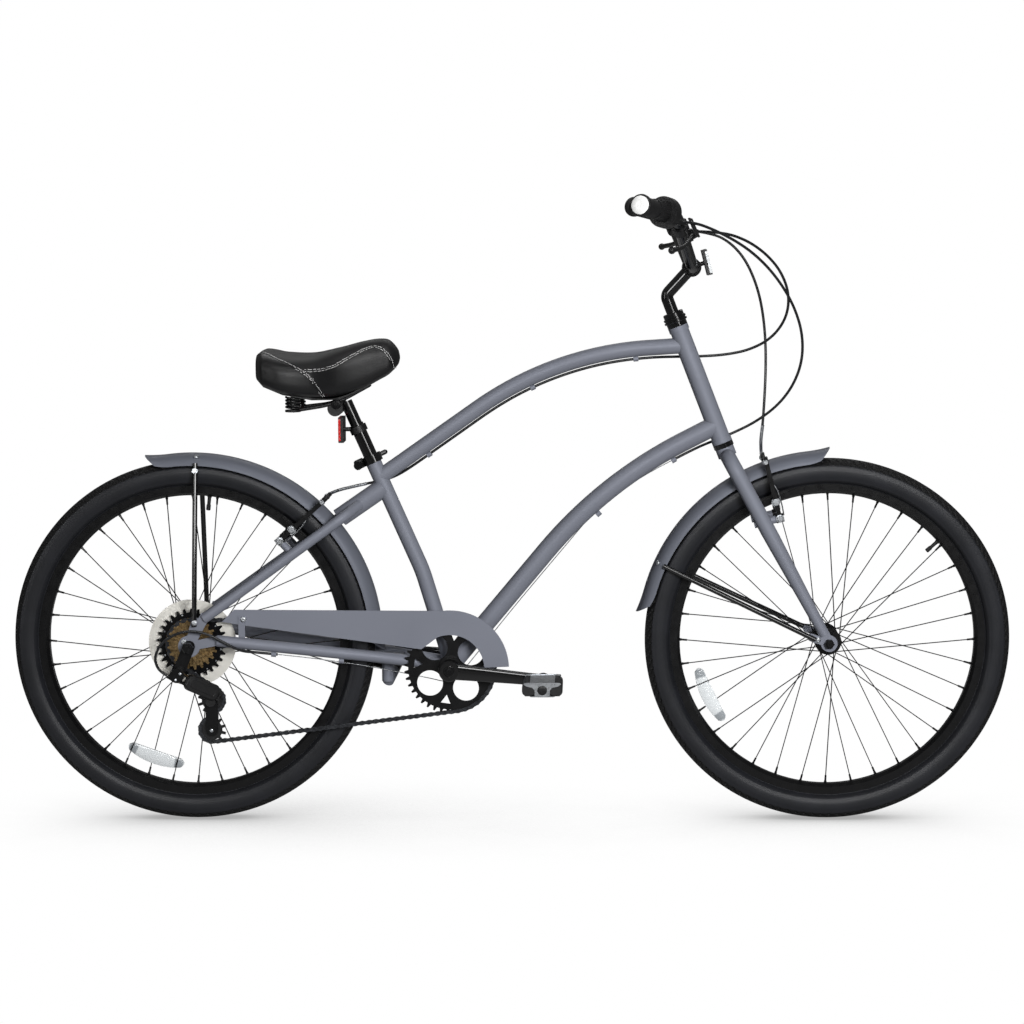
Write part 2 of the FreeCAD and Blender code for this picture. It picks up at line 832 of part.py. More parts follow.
def chain_loop(cage_angle):
    """Straight and round stretches of the chain: kind, length in links, and what places a pin on it."""
    wheels = [(cog, COG_TEETH, 1), (drive, DRIVE_TEETH, 1),
              (tension_pulley(cage_angle), PULLEY_TEETH, 1), (guide, PULLEY_TEETH, -1)]
    lines = []
    for index, (centre, teeth, turn) in enumerate(wheels):
        other, other_teeth, other_turn = wheels[(index + 1) % len(wheels)]
        span = other - centre
        lead = math.atan2(span.z, span.x)
        offset = other_turn * pin_circle(other_teeth) - turn * pin_circle(teeth)
        lead += math.asin(offset / span.Length)
        normal = vec(math.sin(lead), 0, -math.cos(lead))
        lines.append((centre - normal * (turn * pin_circle(teeth)),
                      other - normal * (other_turn * pin_circle(other_teeth))))
    stretches = []
    for index, (centre, teeth, turn) in enumerate(wheels):
        arrive = lines[index - 1][1] - centre
        depart = lines[index][0] - centre
        begin = math.atan2(arrive.z, arrive.x)
        sweep = (begin - math.atan2(depart.z, depart.x)) * turn % (2 * math.pi)
        stretches.append(("round", sweep * teeth / (2 * math.pi), (centre, teeth, turn, begin)))
        begin_line, end_line = lines[index]
        stretches.append(("run", (end_line - begin_line).Length / S.chain_pitch, (begin_line, end_line)))
    return stretches


def loop_links(cage_angle):
    return sum(length for kind, length, data in chain_loop(cage_angle))


def settle_cage(wanted):
    """Cage angle nearest the wanted one at which the loop holds an even number of links."""
    goal = 2 * round(loop_links(wanted) / 2)
    low = wanted - CAGE_SEARCH
    high = wanted + CAGE_SEARCH
    rising = loop_links(high) > loop_links(low)
    for step in range(CAGE_STEPS):
        middle = (low + high) / 2
        if (loop_links(middle) > goal) == rising:
            high = middle
        else:
            low = middle
    return (low + high) / 2, goal


CAGE_SEARCH = 28
CAGE_STEPS = 60
cage_angle, LINK_COUNT = settle_cage(S.cage_angle)
tension = tension_pulley(cage_angle)
stretches = chain_loop(cage_angle)


def chain_pin(step):
    """Place of one chain pin, counted in links from the sprocket's rear."""
    for kind, length, data in stretches:
        if step <= length:
            if kind == "run":
                return data[0] + (data[1] - data[0]) * (step / length)
            centre, teeth, turn, begin = data
            angle = begin - turn * step * 2 * math.pi / teeth
            return centre + ray(math.degrees(angle)) * pin_circle(teeth)
        step -= length
    return chain_pin(step)


def first_gap(stretch):
    """Angle of the first chain pin that lies on a wheel."""
    before = sum(length for kind, length, data in stretches[:stretch])
    step = math.ceil(before)
    offset = chain_pin(step) - stretches[stretch][2][0]
    return math.degrees(math.atan2(offset.z, offset.x))


LINK_SHOULDER_SHARE = 0.62


def link_plate(start, end, inner, outer):
    """Long six-sided plate between two pins, from one side of the chain line to another."""
    along = unit(end - start)
    upward = along.cross(LEFT)
    half = S.link_height / 2
    tip = half * LINK_SHOULDER_SHARE
    corners = [start - along * half, start - along * (half - tip) + upward * half,
               end + along * (half - tip) + upward * half, end + along * half,
               end + along * (half - tip) - upward * half, start - along * (half - tip) - upward * half]
    corners = [corner + LEFT * inner for corner in corners]
    return Part.Face(Part.makePolygon(corners + corners[:1])).extrude(LEFT * (outer - inner))


def chain():
    """Inner links carry two rollers between two plates, outer plates lie over them."""
    pins = [chain_pin(step) for step in range(LINK_COUNT)]
    clear = S.roller_width / 2
    skin = clear + S.link_plate
    over = skin + S.link_gap
    shapes = []
    for step in range(LINK_COUNT):
        start = pins[step]
        end = pins[(step + 1) % LINK_COUNT]
        if step % 2:
            for side in (1, -1):
                shapes.append(link_plate(start, end, side * over, side * (over + S.link_plate)))
            continue
        link = link_plate(start, end, clear, skin)
        rest = [link_plate(start, end, -clear, -skin)]
        for pin in (start, end):
            rest.append(prism(pin - LEFT * clear, pin + LEFT * clear, S.roller_radius))
        shapes.append(link.multiFuse(rest))
    return solid(Part.makeCompound(shapes))


node("chain", chain())

cogs = []
for index in range(7):
    alias = "sprocket_teeth_%d" % (index + 1)
    side = S.chain_line + (index - 1) * S.sprocket_pitch
    gap_angle = first_gap(0) if index == 1 else 0
    cogs.append(toothed(alias, "sprocket_thickness", "freewheel_radius", rear - LEFT * side, gap_angle))
carrier_start = "-(chain_line - sprocket_pitch - sprocket_thickness / 2)"
carrier_end = "-(%s)" % freewheel_end
carrier_rows = [("freewheel_seat_radius + bearing_gap", carrier_start), ("freewheel_radius", carrier_start),
                ("freewheel_radius", carrier_end), ("freewheel_seat_radius + bearing_gap", carrier_end)]
node("sprockets", grouped(turned(carrier_rows, rear), *cogs))

# Cranks, chainring and pedals

chainring = toothed("chainring_teeth", "chainring_thickness", "chainring_bore", drive, first_gap(2))
pocket_round(chainring, lambda outline: circle(outline, "chainring_hole_place", "chainring_hole_place",
                                               "chainring_hole_radius"), "4")
window = [("chainring_window_inner", "0"), ("chainring_window_outer", "-chainring_window_half"),
          ("chainring_window_outer", "chainring_window_half")]
pocket_round(chainring, lambda outline: polygon(outline, window), "4")
node("chainring", chainring)

spindle_reach = "2 * (crank_inset + crank_thickness / 2)"
node("crank_spindle", rod_about("spindle_radius", spindle_reach, bracket, LEFT))

PEDAL_INNER = S.crank_inset + S.crank_thickness + S.pedal_gap


def crank(side, angle, boss):
    """Crank arm with its boss and the pedal axle screwed into its eye."""
    way = ray(angle)
    middle = bracket + LEFT * (side * (S.crank_inset + S.crank_thickness / 2))
    arm = [("0", "-crank_root_width / 2"), ("crank_length", "-crank_tip_width / 2"),
           ("crank_length", "crank_tip_width / 2"), ("0", "crank_root_width / 2")]
    outer = bracket + LEFT * (side * (S.crank_inset + S.crank_thickness))
    eye = outer + way * S.crank_length
    pieces = [plate(arm, "crank_thickness", middle, angle),
              rod("crank_boss_radius", boss, outer, LEFT * -side),
              rod("crank_eye_radius", "crank_thickness", eye, LEFT * -side),
              rod("pedal_axle_radius", "pedal_axle_length", eye, LEFT * side)]
    bore = rod_about("spindle_radius", spindle_reach, bracket, LEFT)
    return cut(fused(*pieces), bore)


right_boss = "crank_inset + crank_thickness - chain_line - chainring_thickness / 2"
node("right_crank", crank(-1, -S.crank_angle, right_boss))
node("left_crank", crank(1, 180 - S.crank_angle, "crank_thickness + crank_boss_depth"))


def pedal(side, angle):
    """Cage pedal: a barrel on the axle, two treads and two end plates."""
    centre = bracket + ray(angle) * S.crank_length + LEFT * (side * (PEDAL_INNER + S.pedal_width / 2))
    pieces = [rod_about("pedal_barrel_radius", "pedal_width", centre, LEFT)]
    for edge in (1, -1):
        tread = centre + FORWARD * (edge * (S.pedal_length - S.pedal_rail) / 2)
        pieces.append(block(("pedal_rail", "pedal_width", "pedal_height"), tread))
        end = centre + LEFT * (edge * (S.pedal_width - S.pedal_end) / 2)
        pieces.append(block(("pedal_length", "pedal_end", "pedal_height"), end))
    bore = rod_about("pedal_axle_radius + bearing_gap", "pedal_width + 2 * cut_overrun", centre, LEFT)
    return cut(fused(*pieces), bore)


node("right_pedal", pedal(-1, -S.crank_angle))
node("left_pedal", pedal(1, 180 - S.crank_angle))

# Frame tubes

head_rows = [("head_tube_bore", "0"), ("head_tube_radius + head_collar_lip", "0"),
             ("head_tube_radius + head_collar_lip", "head_collar_height"),
             ("head_tube_radius", "head_collar_height"),
             ("head_tube_radius", "head_tube_length - head_collar_height"),
             ("head_tube_radius + head_collar_lip", "head_tube_length - head_collar_height"),
             ("head_tube_radius + head_collar_lip", "head_tube_length"),
             ("head_tube_bore", "head_tube_length")]
node("head_tube", turned(head_rows, race, -head_down))

head_core = Part.makeCylinder(S.head_tube_radius, S.head_tube_length, race, -head_down)
seat_path = [bracket, seat_knee, seat_top]
seat_core = tube(seat_path, S.seat_tube_radius, [S.seat_tube_bend])
shell_core = Part.makeCylinder(S.bracket_shell_radius, S.bracket_shell_length,
                               bracket - LEFT * (S.bracket_shell_length / 2), LEFT)
shell_bore = Part.makeCylinder(S.bracket_bore, S.bracket_shell_length,
                               bracket - LEFT * (S.bracket_shell_length / 2), LEFT)
post_bore = Part.makeCylinder(S.post_radius + S.bearing_gap, S.post_insert + S.post_spare,
                              seat_top + seat_upper * S.cut_overrun, -seat_upper)
node("seat_tube", solid(seat_core.fuse(shell_core).cut(shell_bore).cut(post_bore)))
seat_outer = seat_core.fuse(shell_core)

top_start = seat_top - seat_upper * S.top_tube_seat_drop
top_end = head_top + head_down * S.top_tube_drop
top_knee = meet(top_start, ray(S.top_tube_seat_angle), top_end, ray(S.top_tube_head_angle))
down_end = race - head_down * S.down_tube_rise
down_knee = meet(bracket, ray(S.down_tube_angle), down_end, ray(S.down_tube_head_angle))

CLIP_BORE = S.cable_radius + S.cable_clip_gap


def clip_seat(path, bend, share, radius):
    """Place under a bent tube at a share of its length, the tube's direction and its axis there."""
    spots = route(path, [bend]).discretize(CLIP_STEPS)
    index = int(share * (CLIP_STEPS - 2))
    along = unit(spots[index + 1] - spots[index])
    below = unit(along.cross(LEFT))
    if below.z > 0:
        below = below * -1
    return spots[index] + below * (radius + CLIP_BORE + S.cable_clip_lift), along, spots[index]


def clipped(shape, path, bend, radius, shares):
    """Adds the cable clips under a tube, each a ring on a short web."""
    for share in shares:
        seat, along, axis = clip_seat(path, bend, share, radius)
        start = seat - along * (S.cable_clip_length / 2)
        ring = Part.makeCylinder(S.cable_clip_radius, S.cable_clip_length, start, along)
        ring = ring.fuse(bar(S.cable_clip_web, axis, seat))
        start = start - along * S.cut_overrun
        passage = Part.makeCylinder(CLIP_BORE, S.cable_clip_length + 2 * S.cut_overrun, start, along)
        shape = shape.fuse(ring.cut(passage))
        print("clip at %.1f %.1f %.1f along %.3f %.3f %.3f" % (tuple(seat) + tuple(along)))
    return shape


CLIP_STEPS = 401
TOP_CLIP_SHARES = (0.158, 0.53, 0.857)
DOWN_CLIP_SHARES = (0.592, 0.857)
CHAIN_STAY_CLIP_SHARES = (0.471, 0.757)
top_path = [top_start, top_knee, top_end]
down_path = [bracket, down_knee, down_end]


def main_tube(path, bend, radius, clip_shares, *neighbours):
    """Bent main tube trimmed to its neighbours, with cable clips under it."""
    shape = clipped(tube(path, radius, [bend]), path, bend, radius, clip_shares)
    for neighbour in neighbours:
        shape = shape.cut(neighbour)
    return shape


top_shape = main_tube(top_path, S.top_tube_bend, S.top_tube_radius, TOP_CLIP_SHARES, head_core, seat_core)
down_shape = main_tube(down_path, S.down_tube_bend, S.down_tube_radius, DOWN_CLIP_SHARES, head_core,
                       seat_outer)

# Rear triangle

wishbone_start = seat_top - seat_upper * S.wishbone_drop
wishbone_way = ray(180 + S.wishbone_angle)
wishbone_far = wishbone_start + wishbone_way * (S.wheelbase / 4)
wishbone = bar(S.wishbone_radius, wishbone_start, wishbone_far)
wheel_room = Part.makeCylinder(S.fender_radius + S.wishbone_fender_gap, 4 * S.wishbone_radius,
                               rear - LEFT * (2 * S.wishbone_radius), LEFT)
wishbone = wishbone.cut(wheel_room).cut(seat_outer)
wishbone = min(wishbone.Solids, key=lambda part: (part.CenterOfMass - wishbone_start).Length)


def stay_path(side):
    """One seat stay, from inside the wishbone round the tyre to the dropout."""
    end = rear + FORWARD * S.seat_stay_end_ahead + UP * S.seat_stay_end_rise + LEFT * (side * DROPOUT_SIDE)
    begin = wishbone_start + wishbone_way * S.seat_stay_start
    shoulder = begin + unit(end - begin) * S.seat_stay_shoulder
    shoulder = vec(shoulder.x, side * S.seat_stay_spread, shoulder.z)
    return [begin, shoulder, end]


rear_brake_axis = ray(S.rear_brake_tilt)
rear_pivot = rear + ray(S.rear_post_angle) * S.rear_post_height


def boss_and_post(pivot, axis, room):
    """Brake boss that starts in the tube behind the arm, and the post that the arm turns on."""
    back = S.brake_eye_length / 2 + S.fit_gap
    boss = bar(S.brake_boss_radius, pivot - axis * (back + room), pivot - axis * back)
    post = bar(S.brake_post_radius, pivot - axis * back, pivot + axis * (S.brake_eye_length / 2))
    return boss.fuse(post)


def seat_stays():
    shape = wishbone
    for side in (1, -1):
        stay = tube(stay_path(side), S.seat_stay_radius, [S.seat_stay_bend])
        pivot = rear_pivot + LEFT * (side * S.brake_arm_spread)
        shape = shape.fuse(stay).fuse(boss_and_post(pivot, rear_brake_axis, S.rear_post_offset))
    return shape.cut(seat_outer)


seat_stay_shape = seat_stays()


def dropout(side):
    """Plate that holds the axle, with the fender eyelet above it."""
    middle = rear + LEFT * (side * DROPOUT_SIDE)
    face = middle - LEFT * (S.dropout_thickness / 2)

    def disc(offset, radius):
        return Part.makeCylinder(radius, S.dropout_thickness, face + offset, LEFT)

    def strap(offset, width):
        length = offset.Length + S.dropout_neck / 2
        turn = math.degrees(math.atan2(offset.z, offset.x))
        shape = Part.makeBox(length, S.dropout_thickness, width, vec(0, 0, -width / 2))
        shape.Placement = FreeCAD.Placement(face, FreeCAD.Rotation(LEFT, -turn))
        return shape

    stay_end = FORWARD * S.chain_stay_end_ahead + UP * S.chain_stay_end_rise
    seat_end = FORWARD * S.seat_stay_end_ahead + UP * S.seat_stay_end_rise
    eyelet = FORWARD * S.eyelet_ahead + UP * S.eyelet_rise
    shape = disc(vec(0, 0, 0), S.dropout_radius).fuse(strap(stay_end, S.dropout_neck))
    shape = shape.fuse(strap(seat_end, S.dropout_neck)).fuse(strap(eyelet, 2 * S.eyelet_radius))
    return shape.cut(Part.makeCylinder(S.axle_radius + S.bearing_gap, S.dropout_thickness, face, LEFT))


def chain_stay_path(side):
    root = bracket + LEFT * (side * S.chain_stay_root)
    elbow = bracket - FORWARD * S.chain_stay_elbow_back + UP * S.chain_stay_elbow_rise
    elbow = elbow + LEFT * (side * S.chain_stay_elbow_spread)
    end = rear + FORWARD * S.chain_stay_end_ahead + UP * S.chain_stay_end_rise
    return [root, elbow, end + LEFT * (side * DROPOUT_SIDE)]


kick_pivot = bracket - FORWARD * S.kickstand_back - UP * S.kickstand_drop + LEFT * S.kickstand_side
KICK_ROOT_SHARE = 0.7
KICK_FOLDED_SHARES = (-0.967, 0.155, 0.2)
KICK_DOWN_SHARES = (-0.1, 0.45, -0.887)
kick_folded = unit(vec(*KICK_FOLDED_SHARES))
kick_down = unit(vec(*KICK_DOWN_SHARES))
kick_axis = unit(kick_folded.cross(kick_down))
kick_angle = math.degrees(kick_folded.getAngle(kick_down))


def kickstand_mount():
    """Plate between the chain stays with the block and pin that the leg turns on."""
    stays = [chain_stay_path(1)[0], chain_stay_path(1)[1]]
    share = S.kickstand_back / S.chain_stay_elbow_back
    middle = stays[0] + (stays[1] - stays[0]) * share
    width = 2 * middle.y
    corner = vec(middle.x - S.kickstand_plate_width / 2, -width / 2, middle.z - S.kickstand_plate / 2)
    shape = Part.makeBox(S.kickstand_plate_width, width, S.kickstand_plate, corner)
    outward = kick_axis * (1 if kick_axis.y > 0 else -1)
    back = S.kickstand_eye_length / 2 + S.fit_gap
    seat = kick_pivot - outward * back
    root = seat - outward * (S.kickstand_side * KICK_ROOT_SHARE)
    shape = shape.fuse(bar(S.kickstand_eye_radius, root, seat))
    lift = vec(root.x, root.y, middle.z)
    shape = shape.fuse(bar(S.kickstand_eye_radius, root, lift))
    return shape.fuse(bar(S.kickstand_pin_radius, seat, kick_pivot + outward * (S.kickstand_eye_length / 2)))


def chain_stays():
    shape = kickstand_mount()
    for side in (1, -1):
        path = chain_stay_path(side)
        stay = tube(path, S.chain_stay_radius, [S.chain_stay_bend])
        if side < 0:
            stay = clipped(stay, path, S.chain_stay_bend, S.chain_stay_radius, CHAIN_STAY_CLIP_SHARES)
        shape = shape.fuse(stay).fuse(dropout(side))
    hole = Part.makeCylinder(S.axle_radius + S.bearing_gap, 2 * S.rear_spacing,
                             rear - LEFT * S.rear_spacing, LEFT)
    return shape.cut(seat_outer).cut(hole)


chain_stay_shape = chain_stays()
node("top_tube", solid(top_shape))
node("down_tube", solid(down_shape))
node("chain_stays", solid(chain_stay_shape))
seat_stay_shape = seat_stay_shape.cut(chain_stay_shape).cut(top_shape)
seat_stay_shape = max(seat_stay_shape.Solids, key=lambda part: part.Volume)
node("seat_stays", solid(seat_stay_shape))

# Bearing cups

journal = "steerer_radius + bearing_gap"
upper_cup = [(journal, "head_tube_length"), ("headset_cup_radius", "head_tube_length"),
             ("headset_cup_radius", "head_tube_length + upper_cup_height"),
             (journal, "head_tube_length + upper_cup_height")]
lower_cup = [(journal, "0"), ("headset_cup_radius", "0"), ("headset_cup_radius", "-lower_cup_height"),
             (journal, "-lower_cup_height")]
cups = [turned(upper_cup, race, -head_down), turned(lower_cup, race, -head_down)]
shell_half = "bracket_shell_length / 2"
spindle_bore = "spindle_radius + bearing_gap"
for side in (1, -1):
    cup = [(spindle_bore, shell_half + " - bracket_cup_depth"),
           ("bracket_bore", shell_half + " - bracket_cup_depth"),
           ("bracket_bore", shell_half), ("bracket_cup_flange", shell_half),
           ("bracket_cup_flange", shell_half + " + bracket_cup_rim"),
           (spindle_bore, shell_half + " + bracket_cup_rim")]
    cups.append(turned(cup, bracket, LEFT * side))
node("bearing_cups", grouped(*cups))

# Fork, headset locknut and stem

crown = race + head_down * (S.lower_cup_height + S.fit_gap + S.crown_drop)


def fork_leg(side):
    """Unicrown leg that bends out of the steerer, tapers, and ends in a plate."""
    shoulder = crown + LEFT * (side * S.fork_leg_spread)
    tip = front + LEFT * (side * FORK_SIDE) - unit(front - crown) * S.fork_tip_rise
    middle = shoulder + (tip - shoulder) * S.fork_taper_share
    upper = tube([crown, shoulder, middle], S.fork_leg_radius, [S.fork_leg_bend])
    lower = Part.makeCone(S.fork_leg_radius, S.fork_leg_tip_radius, (tip - middle).Length, middle,
                          tip - middle)
    face = front + LEFT * (side * FORK_SIDE - S.fork_plate / 2)
    disc = Part.makeCylinder(S.fork_plate_radius, S.fork_plate, face, LEFT)
    lug = vec(-S.fork_eyelet_back, 0, S.fork_eyelet_rise)
    eyelet = Part.makeCylinder(S.eyelet_radius, S.fork_plate, face + lug, LEFT)
    turn = math.degrees(math.atan2(lug.z, lug.x))
    strap = Part.makeBox(lug.Length, S.fork_plate, 2 * S.eyelet_radius, vec(0, 0, -S.eyelet_radius))
    strap.Placement = FreeCAD.Placement(face, FreeCAD.Rotation(LEFT, -turn))
    rise = front - crown
    neck_turn = math.degrees(math.atan2(-rise.z, -rise.x))
    neck = Part.makeBox(S.fork_tip_rise + S.fork_leg_tip_radius, S.fork_plate, 2 * S.fork_leg_tip_radius,
                        vec(0, 0, -S.fork_leg_tip_radius))
    neck.Placement = FreeCAD.Placement(face, FreeCAD.Rotation(LEFT, -neck_turn))
    return [upper, lower, disc, eyelet, strap, neck]


front_brake_axis = ray(S.front_brake_tilt)
front_pivot = front + ray(S.front_post_angle) * S.front_post_height
STEERER_TOP = S.head_tube_length + S.upper_cup_height + S.steerer_top


def fork():
    top = race - head_down * STEERER_TOP
    shape = bar(S.steerer_radius, crown, top)
    for side in (1, -1):
        for piece in fork_leg(side):
            shape = shape.fuse(piece)
        pivot = front_pivot + LEFT * (side * S.brake_arm_spread)
        shape = shape.fuse(boss_and_post(pivot, front_brake_axis, S.front_post_offset))
    seat = bar(S.headset_cup_radius - S.head_collar_lip, crown,
               race + head_down * (S.lower_cup_height + S.fit_gap))
    shape = shape.fuse(seat)
    hole = Part.makeCylinder(S.axle_radius + S.bearing_gap, 2 * S.front_spacing,
                             front - LEFT * S.front_spacing, LEFT)
    quill_hole = Part.makeCylinder(S.steerer_bore, S.steerer_bore_depth, top, head_down)
    return shape.cut(hole).cut(quill_hole)


fork_shape = fork()
node("fork", solid(fork_shape))
nut_base = "head_tube_length + upper_cup_height + fit_gap"
nut_rows = [("steerer_radius", nut_base), ("locknut_radius", nut_base),
            ("locknut_radius", nut_base + " + locknut_height"),
            ("stem_radius", nut_base + " + locknut_height"),
            ("stem_radius", "head_tube_length + upper_cup_height + steerer_top"),
            ("steerer_radius", "head_tube_length + upper_cup_height + steerer_top")]
node("headset_locknut", turned(nut_rows, race, -head_down))

stem_elbow = head_top - head_down * S.stem_rise
clamp = stem_elbow + vec(S.stem_reach, 0, S.stem_lift)
quill_end = race - head_down * STEERER_TOP + head_down * S.stem_quill
stem_shape = tube([quill_end, stem_elbow, clamp], S.stem_radius, [S.stem_bend])
clamp_face = clamp - LEFT * (S.stem_clamp_width / 2)
stem_shape = stem_shape.fuse(Part.makeCylinder(S.stem_clamp_radius, S.stem_clamp_width, clamp_face, LEFT))
stem_shape = stem_shape.cut(Part.makeCylinder(S.bar_centre_radius, S.stem_clamp_width, clamp_face, LEFT))
node("stem", solid(stem_shape))

# Handlebar, grips and controls


def bar_side(side):
    """Middle, flat end, knee and grip end of one half of the handlebar."""
    flat = clamp + LEFT * (side * S.bar_flat_half)
    knee = clamp + vec(-S.bar_knee_back, side * S.bar_knee_half, S.bar_knee_rise)
    end = clamp + vec(-S.bar_end_back, side * S.bar_end_half, S.bar_end_rise)
    return flat, knee, end


right_flat, right_knee, right_end = bar_side(-1)
left_flat, left_knee, left_end = bar_side(1)
bar_bends = [S.bar_knee_bend, S.bar_flat_bend, S.bar_flat_bend, S.bar_knee_bend]
handlebar = tube([right_end, right_knee, right_flat, left_flat, left_knee, left_end], S.bar_radius, bar_bends)
sleeve = Part.makeCylinder(S.bar_centre_radius, 2 * S.bar_centre_half, clamp - LEFT * S.bar_centre_half, LEFT)
node("handlebar", solid(handlebar.fuse(sleeve)))
bar_core = handlebar

right_way = unit(right_end - right_knee)
left_way = unit(left_end - left_knee)


def sleeve_on(end, way, back, length, radius, bore):
    """Hollow sleeve on a grip end, set back from its tip."""
    start = end - way * (back + length)
    return Part.makeCylinder(radius, length, start, way).cut(Part.makeCylinder(bore, length, start, way))


def end_plug(end, way):
    return Part.makeCylinder(S.plug_radius, S.plug_height, end, way)


twist_back = S.right_grip_length + S.fit_gap
shifter_back = twist_back + S.twist_length + S.fit_gap
left_grip = sleeve_on(left_end, left_way, 0, S.grip_length, S.grip_radius, S.bar_radius)
right_grip = sleeve_on(right_end, right_way, 0, S.right_grip_length, S.grip_radius, S.bar_radius)
plugs = [end_plug(left_end, left_way), end_plug(right_end, right_way)]
node("grips", solid(Part.makeCompound([left_grip.fuse(plugs[0]), right_grip.fuse(plugs[1])])))
node("twist_grip", solid(sleeve_on(right_end, right_way, twist_back, S.twist_length, S.twist_radius,
                                   S.bar_radius + S.bearing_gap)))


def lever_frame(side):
    """Mount centre, pivot, tip and hinge axis of one brake lever."""
    flat, knee, end = bar_side(side)
    rise = unit(knee - flat)
    mount = knee - rise * S.lever_mount_back
    tip = clamp + vec(-S.lever_tip_back, side * S.lever_tip_half, S.lever_tip_rise)
    aim = unit(vec(1, 0, -math.tan(math.radians(S.lever_pivot_drop))))
    aim = unit(aim - rise * aim.dot(rise))
    pivot = mount + aim * S.lever_pivot_reach
    blade = unit(tip - pivot)
    grip_middle = end - unit(end - knee) * (S.grip_length / 2)
    towards = grip_middle - (pivot + tip) * 0.5
    hinge = unit(blade.cross(towards))
    return mount, rise, pivot, tip, hinge


def lever_mount(side):
    """Band round the bar with two ears and the pin that the lever turns on."""
    mount, rise, pivot, tip, hinge = lever_frame(side)
    start = mount - rise * (S.lever_mount_length / 2)
    shape = Part.makeCylinder(S.lever_mount_radius, S.lever_mount_length, start, rise)
    gap = S.lever_barrel_height / 2 + S.fit_gap
    where = place(pivot, hinge, mount - pivot)
    for level in (gap, -gap - S.lever_ear):
        corner = vec(-S.lever_barrel_radius, -S.lever_barrel_radius, level)
        ear = Part.makeBox(S.lever_pivot_reach + S.lever_barrel_radius, 2 * S.lever_barrel_radius,
                           S.lever_ear, corner)
        ear.Placement = where
        shape = shape.fuse(ear)
    shape = shape.fuse(bar(S.lever_pin_radius, pivot - hinge * gap, pivot + hinge * gap))
    aim = unit(pivot - mount)
    exit_way = unit(vec(ADJUSTER_SHARES[0], -side * ADJUSTER_SHARES[1], 0))
    base = mount + aim * S.lever_mount_radius
    shape = shape.fuse(bar(S.adjuster_radius, base, base + exit_way * S.adjuster_length))
    print("adjuster ends at %.1f %.1f %.1f" % tuple(base + exit_way * S.adjuster_length))
    return shape.cut(bar_core)


ADJUSTER_SHARES = (0.75, 0.66)


def shifter_body():
    """Round housing beside the twist grip, with the spout that the cable leaves by."""
    shape = sleeve_on(right_end, right_way, shifter_back, S.shifter_length, S.shifter_radius, S.bar_radius)
    middle = right_end - right_way * (shifter_back + S.shifter_length / 2)
    aim = vec(1, 0, -math.tan(math.radians(S.lever_pivot_drop)))
    aim = unit(aim - right_way * aim.dot(right_way))
    base = middle + aim * S.shifter_spout_place
    tip = base - right_way * S.shifter_spout_length
    print("spout ends at %.1f %.1f %.1f" % tuple(tip))
    return shape.fuse(bar(S.shifter_spout_radius, base, tip))


def lever(side):
    """Blade with a slight bow, a barrel at the pivot and a ball at the tip."""
    mount, rise, pivot, tip, hinge = lever_frame(side)
    away = unit((tip - pivot).cross(hinge))
    bow = (pivot + tip) * 0.5 + away * S.lever_bow
    ball = Part.makeSphere(S.lever_ball_radius, tip)
    start = pivot - hinge * (S.lever_barrel_height / 2)
    barrel = Part.makeCylinder(S.lever_barrel_radius, S.lever_barrel_height, start, hinge)
    bore = Part.makeCylinder(S.lever_pin_radius + S.bearing_gap, S.lever_barrel_height, start, hinge)
    return tube([pivot, bow, tip], S.lever_radius).fuse(barrel).fuse(ball).cut(bore)


node("control_clamps", solid(Part.makeCompound([shifter_body(), lever_mount(1), lever_mount(-1)])))
node("right_brake_lever", solid(lever(-1)))
node("left_brake_lever", solid(lever(1)))

# Reflectors


def reflector(middle, normal, anchor):
    """Lens block facing one way, on a short arm."""
    lens = Part.makeBox(S.reflector_depth, S.reflector_width, S.reflector_height,
                        vec(-S.reflector_depth / 2, -S.reflector_width / 2, -S.reflector_height / 2))
    lens.Placement = FreeCAD.Placement(middle, FreeCAD.Rotation(FORWARD, normal))
    return lens.fuse(bar(S.reflector_arm_radius, anchor, middle))


lamp_middle = clamp + vec(S.front_reflector_ahead, 0, S.front_reflector_rise)
lamp_anchor = clamp + unit(lamp_middle - clamp) * S.stem_clamp_radius
stem_outer = Part.makeCylinder(S.stem_clamp_radius, S.stem_clamp_width, clamp_face, LEFT)
lamp = reflector(lamp_middle, ray(S.front_reflector_tilt), clamp).cut(stem_outer)
node("front_reflector", solid(lamp))

# Brake arms


def brake_arm(pivot, axis, side, centre):
    """Arm with an eye on its post, and a pad that faces the rim."""
    rise = unit(axis.cross(LEFT))
    if rise.z < 0:
        rise = rise * -1
    start = pivot - axis * (S.brake_eye_length / 2)
    eye = Part.makeCylinder(S.brake_eye_radius, S.brake_eye_length, start, axis)
    arm = Part.makeBox(S.brake_arm_width, S.brake_arm_thickness, S.brake_arm_length,
                       vec(-S.brake_arm_width / 2, -S.brake_arm_thickness / 2, 0))
    arm.Placement = place(pivot, rise, LEFT)
    track = S.rim_radius - S.rim_depth / 2
    reach = pivot - centre
    reach = vec(reach.x, 0, reach.z)
    lift = -reach.dot(rise) + math.sqrt(reach.dot(rise) ** 2 - reach.dot(reach) + track ** 2)
    shoe = pivot + rise * lift
    inner = side * (S.rim_width / 2 + S.brake_pad_gap)
    pad = Part.makeBox(S.brake_pad_length, S.brake_pad_depth, S.brake_pad_height,
                       vec(-S.brake_pad_length / 2, -S.brake_pad_depth / 2, -S.brake_pad_height / 2))
    radial = unit(vec(shoe.x, 0, shoe.z) - vec(centre.x, 0, centre.z))
    middle = vec(shoe.x, inner + side * S.brake_pad_depth / 2, shoe.z)
    pad.Placement = place(middle, radial, radial.cross(LEFT))
    stud = bar(S.brake_stud_radius, middle, vec(shoe.x, pivot.y, shoe.z))
    bore = Part.makeCylinder(S.brake_post_radius + S.bearing_gap, S.brake_eye_length, start, axis)
    return eye.fuse(arm).fuse(pad).fuse(stud).cut(bore)


